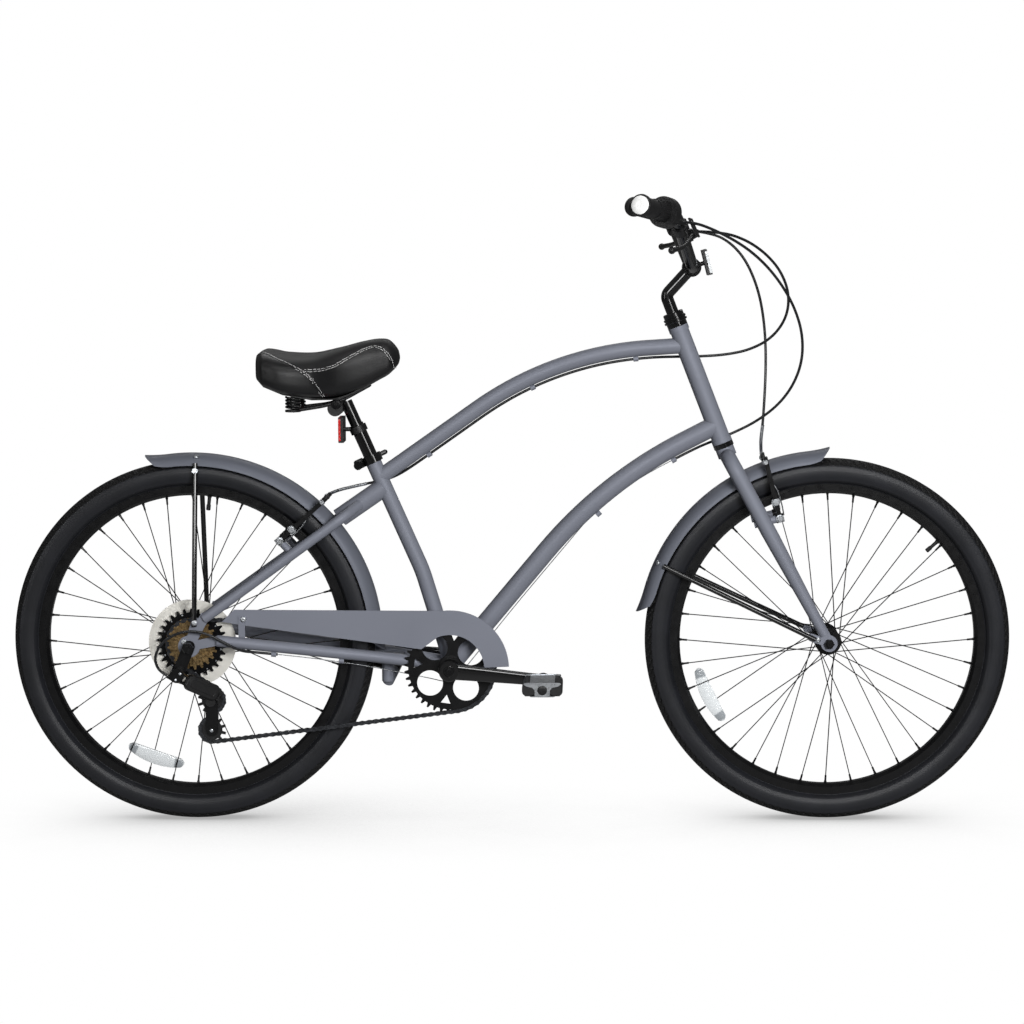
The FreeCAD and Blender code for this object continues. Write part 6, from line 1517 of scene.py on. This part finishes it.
@dataclass
class Pedal:
    """One pedal: a barrel, two ribbed rubber treads, two bright cage plates and an end cap."""

    body: Body
    middle: Triple
    side: Side
    inner: float = 93.0
    outer: float = 185.0
    length: float = 72.0
    height: float = 24.0
    tread: float = 25.0
    top_plate: float = 44.0
    ribs: int = 9
    rib_width: float = 4.2
    rib_margin: float = 9.0

    def build(self) -> None:
        """Builds the pedal's pieces."""
        name = self.body.value
        profile = [(0, 0), (10, 0), (11, 1.5), (9.5, 12), (9.5, 80), (11, 90), (0, 91)]
        barrel = lathe(name + "_barrel", profile, self.face(self.inner), 28)
        dress(barrel, NYLON, self.body)
        treads = joined(name + "_treads", [self.rubber(edge) for edge in (-1, 1)])
        dress(treads, GRIP_RUBBER, self.body)
        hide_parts(name)
        self.tread_ribs()
        parts = [self.plate(lateral) for lateral in (self.inner + 1, self.outer - 3)]
        middle = (self.middle[0], (self.inner + self.outer) / 2 * self.side.value, self.middle[2])
        outline = round_outline(self.top_plate, self.outer - self.inner - 3, 6)
        levels = [(outline, self.height / 2 - 1.2), (outline, self.height / 2 + 0.6)]
        parts += [layered("top_plate", levels, stand(middle, (0, 0, up), (1, 0, 0))) for up in (-1, 1)]
        plates = joined(name + "_cage_plates", parts)
        dress(plates, BRIGHT_STEEL, self.body)
        cap = [(0, -1), (8.6, -1), (8.6, 1.4), (7.6, 2.0), (3.6, 2.2), (3.0, 1.4), (0, 1.4)]
        dress(lathe(name + "_end_cap", cap, self.face(self.outer), 24), NYLON, self.body)

    def face(self, lateral: float) -> Matrix:
        """Returns the place of a shape that faces outwards at a distance from the middle plane."""
        return stand((self.middle[0], lateral * self.side.value, self.middle[2]), (0, self.side.value, 0))

    def rubber(self, edge: int) -> Thing:
        """Builds one tread block.

        Args:
            edge: -1 behind the axle and 1 ahead of it.

        Returns:
            The helper object.
        """
        middle = (self.middle[0] + edge * (self.length - self.tread) / 2, (self.inner + self.outer) / 2
                  * self.side.value, self.middle[2])
        half = (self.outer - self.inner) / 2
        rows = ((3, 6, 6, 1 - half), (0, 2.4, 8, 5 - half), (0, 2.4, 8, half - 5), (3, 6, 6, half - 1))
        return layered("tread_block", round_layers(self.tread, self.height, rows),
                       stand(middle, (0, self.side.value, 0)), 40.0)

    def tread_ribs(self) -> None:
        """Builds the ribs over and under both treads."""
        rows = ((9, 0, 1.2, -0.6), (9, 0, 1.2, 0.6), (11, 1.4, 0.8, 1.3))
        shape = layered("rib", round_layers(self.tread, self.rib_width, rows, 2), HERE)
        seeds = []
        first, last = self.inner + self.rib_margin, self.outer - self.rib_margin
        for edge, up, i in product((-1, 1), (-1, 1), range(self.ribs)):
            lateral = first + i * (last - first) / (self.ribs - 1)
            place = (self.middle[0] + edge * (self.length - self.tread) / 2, lateral * self.side.value,
                     self.middle[2] + up * (self.height / 2 - 1.3))
            seeds.append((mm(place), Vector((0, 0, up)), Vector((1, 0, 0))))
        PLACING.place(self.body.value + "_tread_ribs", shape, seeds, GRIP_RUBBER, self.body)
        drop(shape)

    def plate(self, lateral: float) -> Thing:
        """Builds one waisted cage plate.

        Args:
            lateral: Its distance from the middle plane.

        Returns:
            The helper object.
        """
        half = [(25, 13.4), (32, 12.8), (33, 10.6), (28, 7), (17, 4.4), (13.4, 0), (13.4, -9.4),
                (11.6, -12.4)]
        flip = -self.side.value
        outline = [(x * flip, y) for x, y in half[::-1]] + [(-x * flip, y) for x, y in half]
        place = Matrix.Translation(mm((self.middle[0], lateral * self.side.value, self.middle[2])))
        place = place @ Matrix(((1, 0, 0, 0), (0, 0, self.side.value, 0), (0, 1, 0, 0), (0, 0, 0, 1)))
        return layered("cage_plate", [(outline, 0.0), (outline, 3.2)], place)


class Head(Enum):
    """The kinds of fastener heads."""

    PAN = "pan"
    HEX = "hex"
    CAP = "cap"


@dataclass(frozen=True)
class Fastener:
    """One bolt or nut: where it sits, the way it faces, its head and its size."""

    body: Body
    place: Triple
    way: Triple
    head: Head
    radius: float
    both_sides: bool = False


@dataclass
class Hardware:
    """The bright and black fasteners of the whole bicycle, placed by body."""

    bright: tuple[Fastener, ...] = (
        Fastener(Body.FRAME, (-588, -77, 341), (0, -1, 0), Head.PAN, 5.0),
        Fastener(Body.FRAME, (-567, -85, 376.4), (0, -1, 0), Head.PAN, 5.2, True),
        Fastener(Body.FRAME, (-481.6, -59, 378.8), (0, -1, 0), Head.PAN, 5.4),
        Fastener(Body.FRAME, (-567.8, -40.6, 648), (0, -0.98, 0.17), Head.HEX, 4.6, True),
        Fastener(Body.FRAME, (-593.5, -95, 284.9), (0, -1, 0), Head.PAN, 2.6),
        Fastener(Body.FRAME, (-601.7, -95, 273.9), (0, -1, 0), Head.PAN, 2.6),
        Fastener(Body.STEERING, (558.6, -56, 338.8), (0, -1, 0), Head.PAN, 5.2, True),
        Fastener(Body.DERAILLEUR_CAGE, (-544.2, -51.6, 172.7), (0, -1, 0), Head.PAN, 3.6))
    black: tuple[Fastener, ...] = (
        Fastener(Body.CRANK, (-107.14, -88, 287), (0, -1, 0), Head.CAP, 8.4, True),
        Fastener(Body.SADDLE, (-311.2, -24.3, 767.1), (0, -1, 0), Head.CAP, 9.5, True))

    def shape(self, head: Head) -> Thing:
        """Builds a head of radius 1 mm at the origin.

        Args:
            head: The kind of head.

        Returns:
            The helper object.
        """
        if head is Head.PAN:
            profile = [(0, -0.3), (1, -0.3), (1, 0.2), (0.9, 0.5), (0.62, 0.68), (0.42, 0.7), (0.36, 0.3),
                       (0, 0.3)]
            return lathe("pan_head", profile, HERE, 12)
        if head is Head.HEX:
            profile = [(0, -0.3), (1.25, -0.3), (1.25, 0.05), (1.0, 0.05), (1.0, 0.75), (0.86, 0.9), (0, 0.9)]
            return lathe("hex_head", profile, HERE, 6, 20)
        profile = [(0, -0.2), (1, -0.2), (1, 0.12), (0.9, 0.24), (0.5, 0.28), (0.44, 0.1), (0, 0.1)]
        return lathe("cap_head", profile, HERE, 20)

    def build(self) -> None:
        """Builds one piece of fasteners for each finish, body, head and size."""
        shapes = {head: self.shape(head) for head in Head}
        for finish, fasteners in ((BRIGHT_STEEL, self.bright), (SATIN_BLACK, self.black)):
            groups: dict[tuple[Body, Head, float], list[Seed]] = {}
            for f in fasteners:
                seeds = groups.setdefault((f.body, f.head, f.radius), [])
                for flip in ((1, -1) if f.both_sides else (1,)):
                    seeds.append((mirrored(f.place, flip) * MM, mirrored(f.way, flip), Vector((1, 0, 0.3))))
            for number, ((body, head, radius), seeds) in enumerate(groups.items()):
                name = "%s_%s_%s_%d" % (finish.slot, body.value, head.value, number)
                PLACING.place(name, shapes[head], seeds, finish, body, radius)
        for shape in shapes.values():
            drop(shape)


# ---------------------------------------------------------------- drive train


@dataclass
class CrankArm:
    """One forged crank arm with its boss, its eye and the pedal's axle."""

    side: Side
    degrees: float
    boss_inner: float
    bracket: Triple = (-107.14, 0.0, 287.0)
    length: float = 170.0
    inset: float = 76.0
    thickness: float = 12.0
    root_width: float = 31.0
    tip_width: float = 21.0
    boss_radius: float = 19.0
    eye_radius: float = 13.0
    axle_length: float = 98.0
    taper_power: float = 0.8
    waist: float = 0.6
    edge_power: float = 0.62
    face_power: float = 0.8
    stations: int = 26
    around: int = 32

    def build(self) -> None:
        """Builds the arm as one piece in the place of its CAD node."""
        node = self.side.name.lower() + "_crank"
        outer = self.inset + self.thickness
        tall = outer - self.boss_inner
        rim, ring = self.boss_radius, self.eye_radius
        boss = [(0, 0), (rim + 3, 0), (rim + 3, 3), (rim - 1.5, 7), (rim - 1.5, tall - 9), (rim, tall - 6),
                (rim, tall - 1.5), (rim - 2, tall + 0.4), (10.4, tall + 0.4), (9.8, tall - 1.4),
                (0, tall - 1.4)]
        eye = [(0, 0), (ring - 1.5, 0), (ring, 1.5), (ring, 11), (ring - 1.5, 12.4), (7.4, 12.4), (7, 11.4),
               (0, 11.4)]
        axle = [(0, 0), (7, 0), (7, 4.4), (5, 4.8), (5, self.axle_length - 2), (0, self.axle_length - 1)]
        parts = [self.arm(), lathe("boss", boss, self.stand_at(0.0, self.boss_inner), 40),
                 lathe("eye", eye, self.stand_at(self.length, self.inset), 36),
                 lathe("axle", axle, self.stand_at(self.length, outer), 20)]
        piece = dress(joined(node + "_forging", parts, 32.0), GLOSS_BLACK, Body.CRANK)
        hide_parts(node)

    def way(self) -> Vector:
        """Returns the way from the bracket to the pedal."""
        return Vector((math.cos(math.radians(self.degrees)), 0, math.sin(math.radians(self.degrees))))

    def stand_at(self, along: float, lateral: float) -> Matrix:
        """Returns the place of a turned shape on the arm, facing outwards."""
        foot = Vector(self.bracket) + self.way() * along
        return stand((foot.x, lateral * self.side.value, foot.z), (0, self.side.value, 0))

    def arm(self) -> Thing:
        """Builds the arm with its rounded, slightly crowned section.

        Returns:
            The new object.
        """
        way, points = self.way(), []
        up = Vector((-way.z, 0, way.x))
        for i in range(self.stations):
            share = i / (self.stations - 1)
            tall = self.root_width / 2 + (self.tip_width - self.root_width) / 2 * share ** self.taper_power
            deep = self.thickness / 2 - self.waist * math.sin(math.pi * share)
            spot = Vector(self.bracket) + way * (self.length * share)
            for j in range(self.around):
                turn = math.tau * j / self.around
                rise = math.copysign(abs(math.cos(turn)) ** self.edge_power, math.cos(turn)) * tall
                out = math.copysign(abs(math.sin(turn)) ** self.face_power, math.sin(turn)) * deep
                lateral = (self.inset + self.thickness / 2 + out) * self.side.value
                points.append((spot + up * rise + Vector((0, lateral, 0))) * MM)
        return make_piece("arm", points, loft_faces(self.stations, self.around))


@dataclass
class Chain:
    """The roller chain: waisted plates, rollers and rivets round four toothed wheels."""

    pitch: float = 12.7
    line: float = -45.0
    wheels: tuple[tuple[float, float, int, int], ...] = (
        (-579.0, 332.0, 22, 1), (-107.14, 287.0, 40, 1), (-544.18, 172.73, 11, 1), (-543.73, 227.73, 11, -1))
    plate: float = 0.9
    inner_side: float = 1.75
    outer_side: float = 2.8
    end_radius: float = 4.1
    waist: float = 2.7

    def build(self) -> None:
        """Builds the plates, the rollers and the rivets."""
        pins = self.pins()
        links = list(zip(pins, pins[1:] + pins[:1]))
        plate = self.plate_shape()
        outer = self.lay("chain_outer_plates", plate, links[1::2], self.outer_side)
        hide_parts("chain")
        self.lay("chain_inner_plates", plate, links[0::2], self.inner_side)
        roller = lathe("roller", [(0, -1.3), (3.7, -1.3), (3.7, 1.3), (0, 1.3)], HERE, 10)
        rivet = lathe("rivet", [(0, -3.6), (1.9, -3.6), (1.9, 3.6), (0, 3.6)], HERE, 8)
        seeds = [(pin * MM, Vector((0, -1, 0)), Vector((1, 0, 0))) for pin in pins]
        PLACING.place("chain_rollers", roller, seeds, CHAIN_STEEL, Body.FRAME)
        PLACING.place("chain_rivets", rivet, seeds, CHAIN_STEEL, Body.FRAME)
        for shape in (plate, roller, rivet):
            drop(shape)

    def pin_circle(self, teeth: int) -> float:
        """Returns the radius on which the pins lie round a wheel."""
        return self.pitch / (2 * math.sin(math.pi / teeth))

    def pins(self) -> list[Vector]:
        """Lists the pins of the closed loop, from the sprocket's rear.

        Returns:
            The pins' places in millimetres.
        """
        lines = []
        for k, (x, z, teeth, turn) in enumerate(self.wheels):
            x2, z2, teeth2, turn2 = self.wheels[(k + 1) % len(self.wheels)]
            here, there = turn * self.pin_circle(teeth), turn2 * self.pin_circle(teeth2)
            lead = math.atan2(z2 - z, x2 - x) + math.asin((there - here) / math.hypot(x2 - x, z2 - z))
            side = Vector((math.sin(lead), 0, -math.cos(lead)))
            lines.append((Vector((x, self.line, z)) - side * here,
                          Vector((x2, self.line, z2)) - side * there))
        stretches = []
        for k, (x, z, teeth, turn) in enumerate(self.wheels):
            middle = Vector((x, self.line, z))
            arrive, depart = lines[k - 1][1] - middle, lines[k][0] - middle
            begin = math.atan2(arrive.z, arrive.x)
            sweep = (begin - math.atan2(depart.z, depart.x)) * turn % math.tau
            stretches.append((sweep * teeth / math.tau, middle, teeth, turn, begin))
            stretches.append(((lines[k][1] - lines[k][0]).length / self.pitch, lines[k][0], 0, 0, 0.0))
        count = 2 * round(sum(s[0] for s in stretches) / 2)
        return [self.pin_at(step, stretches, lines) for step in range(count)]

    def pin_at(self, step: float, stretches: Sequence[tuple],
               lines: Sequence[tuple[Vector, Vector]]) -> Vector:
        """Finds one pin.

        Args:
            step: Its number from the sprocket's rear.
            stretches: The round and straight stretches in turn.
            lines: The ends of the straight stretches.

        Returns:
            The pin's place in millimetres.
        """
        for k, (length, middle, teeth, turn, begin) in enumerate(stretches):
            if step <= length:
                if not teeth:
                    start, end = lines[k // 2]
                    return start + (end - start) * (step / length)
                angle = begin - turn * step * math.tau / teeth
                return middle + Vector((math.cos(angle), 0, math.sin(angle))) * self.pin_circle(teeth)
            step -= length
        return lines[-1][1].copy()

    def plate_shape(self) -> Thing:
        """Builds one waisted plate at the origin, along X.

        Returns:
            The new object.
        """
        half = [(self.pitch / 2 + self.end_radius * math.cos(math.radians(a)),
                 self.end_radius * math.sin(math.radians(a))) for a in (-115, -70, -25, 25, 70, 115)]
        outline = half + [(0.0, self.waist)] + [(-x, -y) for x, y in half] + [(0.0, -self.waist)]
        return layered("plate", [(outline, -self.plate / 2), (outline, self.plate / 2)], HERE)

    def lay(self, name: str, shape: Thing, links: Sequence[tuple[Vector, Vector]],
            side: float) -> Thing:
        """Lays plates on both sides of some links.

        Args:
            name: The piece's name.
            shape: The plate.
            links: The links' two pins.
            side: The plates' distance from the chain line.

        Returns:
            The new piece.
        """
        seeds = [((a + b) / 2 * MM + mm((0, side * sign, 0)), Vector((0, -1, 0)), (b - a).normalized())
                 for a, b in links for sign in (-1, 1)]
        return PLACING.place(name, shape, seeds, CHAIN_STEEL, Body.FRAME)


@dataclass
class Derailleur:
    """The moulded cover of the derailleur's link, the axle nut and the studs of the largest sprocket."""

    upper: Triple = (-581.0, -87.5, 269.9)
    lower: Triple = (-534.85, -60.26, 242.93)
    cover_length: float = 68.0
    cover_height: float = 30.0
    cover_rows: tuple[tuple[float, float, float, float], ...] = (
        (6, 4, 9, -7.0), (0, 0, 11, -4.0), (0, 0, 11, 6.0), (4, 4, 9.5, 9.0), (16, 14, 5, 9.6),
        (18, 16, 4, 8.8))
    axle: Triple = (-579.0, -95.0, 332.0)
    stud_circle: float = 54.0
    stud_side: float = -41.3
    studs: int = 15

    def build(self) -> None:
        """Builds the cover, the nut and the studs."""
        upper, lower = Vector(self.upper), Vector(self.lower)
        along = (lower - upper).normalized()
        rise = (Vector((0, 0, 1)) - along * along.z).normalized()
        place = stand((upper + lower) / 2, along.cross(rise) * -1, along)
        if (place.to_3x3() @ Vector((0, 0, 1))).y > 0:
            place = stand((upper + lower) / 2, along.cross(rise), along)
        layers = round_layers(self.cover_length, self.cover_height, self.cover_rows)
        dress(layered("derailleur_link_cover", layers, place, 25.0), NYLON, Body.DERAILLEUR_LINK)
        nut = [(0, -1), (10.6, -1), (10.6, 1.6), (9.4, 1.6), (9.4, 6.6), (8.4, 7.8), (5.4, 7.8), (5.2, 10.6),
               (4.4, 11.4), (0, 11.4)]
        dress(lathe("rear_axle_nut", nut, stand(self.axle, (0, -1, 0)), 6, 20), GLOSS_BLACK, Body.FRAME)
        stud = lathe("stud", [(0, -0.5), (1.7, -0.5), (1.7, 0.5), (1.0, 1.1), (0, 1.2)], HERE, 8)
        seeds = []
        for i in range(self.studs):
            turn = math.tau * (i + 0.5) / self.studs
            seeds.append((mm((self.axle[0] + self.stud_circle * math.cos(turn), self.stud_side,
                              self.axle[2] + self.stud_circle * math.sin(turn))), Vector((0, -1, 0)),
                          Vector((1, 0, 0))))
        PLACING.place("sprocket_studs", stud, seeds, BRIGHT_STEEL, Body.FREEWHEEL)
        drop(stud)


# ---------------------------------------------------------------- fenders and brakes


@dataclass
class Fender:
    """A rolled steel fender with flared tips, its bracket and its rivets."""

    node: str
    body: Body
    centre_x: float
    first: float
    last: float
    bracket_turn: float
    rivet_turn: float
    centre_z: float = 332.0
    radius: float = 346.0
    skirt: float = 22.0
    half_width: float = 30.0
    wall: float = 1.2
    slant: float = 17.0
    slant_reach: float = 60.0
    flare: float = 6.0
    flare_reach: float = 42.0
    bracket_length: float = 26.0
    bracket_radius: float = 5.0
    rivet_rise: float = 0.75
    rivet_lean: float = 0.66
    rivet_drop: float = 5.2
    rivet_side: float = 22.5
    stations: int = 90
    across: int = 22

    def build(self) -> None:
        """Builds the shell, the bracket and the rivets."""
        # The shell and its bracket take the frame's enamel darkened as painted shade.
        shell = dress(self.shell(), SHADED_FENDER_PAINT, self.body)
        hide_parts(self.node)
        ends = [self.ray(self.bracket_turn, self.radius + reach, 0) * MM
                for reach in (-0.6, self.bracket_length)]
        dress(tube(self.node + "_bracket", ends, self.bracket_radius, 16), SHADED_FENDER_PAINT, self.body)
        out = self.ray(self.rivet_turn, 1, 0) - self.ray(self.rivet_turn, 0, 0)
        rivets = []
        for side in Side:
            way = out * self.rivet_rise + Vector((0, side.value * self.rivet_lean, 0))
            place = stand(self.ray(self.rivet_turn, self.radius - self.rivet_drop,
                                   side.value * self.rivet_side), way)
            rivets.append(lathe("rivet", [(0, -1.5), (4.2, -1.5), (4.2, 0.4), (3, 1.6), (0, 2.1)], place, 16))
        dress(joined(self.node + "_rivets", rivets), BRIGHT_STEEL, self.body)

    def ray(self, degrees: float, radius: float, lateral: float) -> Vector:
        """Returns a point round the wheel's axle in millimetres."""
        return round_axle((self.centre_x, 0.0, self.centre_z), degrees, radius, lateral)

    def shell(self) -> Thing:
        """Builds the crowned shell; its crown reaches past its skirts and flares at both tips.

        Returns:
            The new object.
        """
        points = []
        for i in range(self.stations + 1):
            turn = self.first + (self.last - self.first) * i / self.stations
            starts, ends = (math.radians(abs(turn - t)) * self.radius for t in (self.first, self.last))
            flares = [max(0, 1 - way / self.flare_reach) ** 2 for way in (starts, ends)]
            slants = [max(0, 1 - way / self.slant_reach) for way in (starts, ends)]
            lift = self.flare * (flares[0] + flares[1])
            back = math.copysign(self.slant, self.last - self.first) * (slants[0] - slants[1])
            outer, inner = [], []
            for j in range(self.across + 1):
                lean = math.pi * (j / self.across - 0.5)
                crown = max(0.0, math.cos(lean))
                lateral = math.sin(lean) * self.half_width
                radius = self.radius - self.skirt * (1 - crown) + lift
                shift = turn + math.degrees(back * (1 - crown) / self.radius)
                outer.append(self.ray(shift, radius, lateral) * MM)
                inner.append(self.ray(shift, radius - self.wall * math.cos(lean),
                                      lateral - self.wall * math.sin(lean)) * MM)
            points += outer + inner[::-1]
        faces = loft_faces(self.stations + 1, 2 * (self.across + 1))
        return make_piece(self.node + "_shell", points, faces, 40.0)


@dataclass
class FenderStays:
    """A pair of gloss black bars from a fender's skirts to the eyelets beside the axle."""

    node: str
    body: Body
    head: Triple
    foot: Triple
    radius: float = 4.5
    foot_run: float = 18.0
    eyelet: float = 7.0

    def build(self) -> None:
        """Builds both bars as one piece."""
        bars = []
        for side in Side:
            head, foot = mirrored(self.head, side.value), mirrored(self.foot, side.value)
            rise = (Vector((head.x, foot.y, head.z)) - foot).normalized()
            line = smooth_line([foot - rise * self.eyelet, foot + rise * self.foot_run, head])
            bars.append(tube("bar", [p * MM for p in line], self.radius, 20))
        piece = dress(joined(self.node + "_bars", bars, 50.0), GLOSS_BLACK, self.body)
        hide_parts(self.node)


@dataclass
class BrakeHardware:
    """The bright bolts, spring wires, cable guide, wire and boot of one pair of brake arms."""

    name: str
    right: Body
    left: Body
    pivot: Triple
    way: Triple
    guide: tuple[Triple, ...]
    bolts: tuple[Triple, ...] = ((0.0, 51.0, 6.0), (30.0, 47.0, 6.4), (105.0, 47.0, 4.6))
    spring: tuple[Triple, ...] = ((4, 8, 46.5), (20, 10, 48), (58, 8, 48), (64, 2, 47.5))
    spring_radius: float = 1.2
    wire_level: float = 110.0
    wire_end: float = 45.0
    wire_radius: float = 0.9

    def build(self) -> None:
        """Builds the hardware of both arms."""
        for side, body in ((Side.RIGHT, self.right), (Side.LEFT, self.left)):
            end = side.name.lower()
            bolts = [self.bolt(*bolt, side) for bolt in self.bolts]
            dress(joined("%s_brake_bolts_%s" % (self.name, end), bolts), BRIGHT_STEEL, body)
            spring = [p * MM for p in smooth_line([self.spot(*spot, side) for spot in self.spring])]
            dress(tube("%s_brake_spring_%s" % (self.name, end), spring, self.spring_radius, 8), WIRE_STEEL,
                  body)
        top = self.wire_level
        wire = [self.spot(top, 0, self.wire_end, side) * MM for side in (Side.LEFT, Side.RIGHT)]
        dress(tube(self.name + "_brake_wire", wire, self.wire_radius, 8), WIRE_STEEL, self.left)
        boot = [(0, 0), (4.6, 0), (4.4, 5), (3.6, 12), (3.0, 22), (2.0, 28), (0, 28.4)]
        dress(lathe(self.name + "_brake_boot", boot, stand(self.spot(top, 0, 18, Side.LEFT), (0, -1, 0)), 16),
              GRIP_RUBBER, self.left)
        guide = smooth_line([mm(p) for p in self.guide])
        dress(tube(self.name + "_cable_guide", guide, 3.0, 14), BRIGHT_STEEL,
              Body.FRAME if self.name == "rear" else Body.STEERING)

    def spot(self, along: float, ahead: float, lateral: float, side: Side) -> Vector:
        """Returns a point beside an arm in millimetres.

        Args:
            along: The distance from the pivot towards the arm's end.
            ahead: The distance across the arm, away from the fender.
            lateral: The distance from the middle plane.
            side: The arm's side.

        Returns:
            The point.
        """
        way = Vector(self.way).normalized()
        across = Vector((way.z, 0, -way.x))
        spot = Vector(self.pivot) + way * along + across * ahead
        return Vector((spot.x, lateral * side.value, spot.z))

    def bolt(self, along: float, lateral: float, radius: float, side: Side) -> Thing:
        """Builds one hexagon bolt with its washer.

        Args:
            along: The distance from the pivot.
            lateral: The face that it sits on.
            radius: The head's radius.
            side: The arm's side.

        Returns:
            The helper object.
        """
        profile = [(0, -1), (radius * 1.25, -1), (radius * 1.25, 0.8), (radius, 0.8), (radius, 3.8),
                   (radius * 0.8, 4.8), (0, 4.8)]
        return lathe("bolt", profile, stand(self.spot(along, 0, lateral, side), (0, side.value, 0)), 12, 20)


# ---------------------------------------------------------------- CAD nodes


@dataclass
class CadFinishes:
    """The finish of each CAD node that stays in sight."""

    finishes: tuple[tuple[Finish, tuple[str, ...]], ...] = (
        (PAINT, ("head_tube", "top_tube", "down_tube", "seat_tube", "chain_stays", "seat_stays", "fork",
                 "chain_guard")),
        (GLOSS_BLACK, ("headset_locknut", "stem", "handlebar", "seat_post", "saddle_springs", "bearing_cups",
                       "seat_collar", "quick_release_lever")),
        (SATIN_BLACK, ("rear_rim", "front_rim", "kickstand_leg", "rear_hub", "front_hub", "chainring",
                       "derailleur_hanger", "derailleur_link", "derailleur_cage", "front_brake_arm_right",
                       "front_brake_arm_left", "rear_brake_arm_right", "rear_brake_arm_left", "rear_axle",
                       "front_axle")),
        (NYLON, ("saddle_frame", "control_clamps", "right_brake_lever", "left_brake_lever", "twist_grip",
                 "derailleur_knuckle", "guide_pulley", "tension_pulley", "front_reflector",
                 "rear_reflector")),
        (GRIP_RUBBER, ("grips",)),
        (BRIGHT_STEEL, ("crank_spindle",)),
        (SPROCKET_STEEL, ("sprockets",)),
        (MILKY, ("spoke_protector",)))

    def build(self) -> None:
        """Puts the finishes into the CAD objects' material slots."""
        for finish, nodes in self.finishes:
            for node in nodes:
                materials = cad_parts[node].data.materials
                materials.clear()
                materials.append(finish.material())
            LOG.info("%s on %d CAD nodes", finish.name, len(nodes))


def main() -> None:
    """Builds the studio, dresses the frame and builds every piece in order."""
    logging.basicConfig(level=logging.INFO, format="%(name)s: %(message)s")
    for name in ("Cube", "Light", "Camera"):
        if name in bpy.data.objects:
            bpy.data.objects.remove(bpy.data.objects[name])
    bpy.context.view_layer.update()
    for part in (
            Studio(),
            CadFinishes(),
            Cables(),
            Wheel(Body.REAR_WHEEL, "rear_tyre", -579.0, 31.0, 27.0, 34.0, 83.2, -109.5, 233.0),
            Wheel(Body.FRONT_WHEEL, "front_tyre", 579.0, 24.0, 33.0, 33.0, 41.8, -154.0, 240.0),
            Saddle(),
            Cockpit(),
            TailLight(),
            Pedal(Body.RIGHT_PEDAL, (62.05, -139.0, 270.41), Side.RIGHT),
            Pedal(Body.LEFT_PEDAL, (-276.33, 139.0, 303.59), Side.LEFT),
            CrankArm(Side.RIGHT, -5.6, 46.1),
            CrankArm(Side.LEFT, 174.4, 62.0),
            Chain(),
            Derailleur(),
            Fender("rear_fender", Body.FRAME, -579.0, 104.0, -3.0, 39.9, 88.0),
            Fender("front_fender", Body.STEERING, 579.0, 171.5, 89.5, 118.3, 155.0),
            FenderStays("rear_fender_stays", Body.FRAME, (-567.5, 34.3, 661.3), (-568.0, 81.3, 376.0)),
            FenderStays("front_fender_stays", Body.STEERING, (280.4, 34.3, 471.3), (547.0, 60.3, 343.0)),
            BrakeHardware("front", Body.FRONT_ARM_RIGHT, Body.FRONT_ARM_LEFT, (489.57, 0.0, 559.02),
                          (-28.1, 0.0, 109.0), ((461, 1.5, 724), (458, 4, 701), (458.5, 12, 683),
                                                (460, 25, 672), (461.5, 42, 667))),
            BrakeHardware("rear", Body.REAR_ARM_RIGHT, Body.REAR_ARM_LEFT, (-414.99, 0.0, 520.68),
                          (84.7, 0.0, 76.3), ((-262, 27, 617), (-294, 29, 610), (-316, 34, 604),
                                              (-329, 42, 598))),
            Hardware()):
        part.build()
        LOG.info("%s is built", type(part).__name__)


if __name__ == "__main__":
    main()
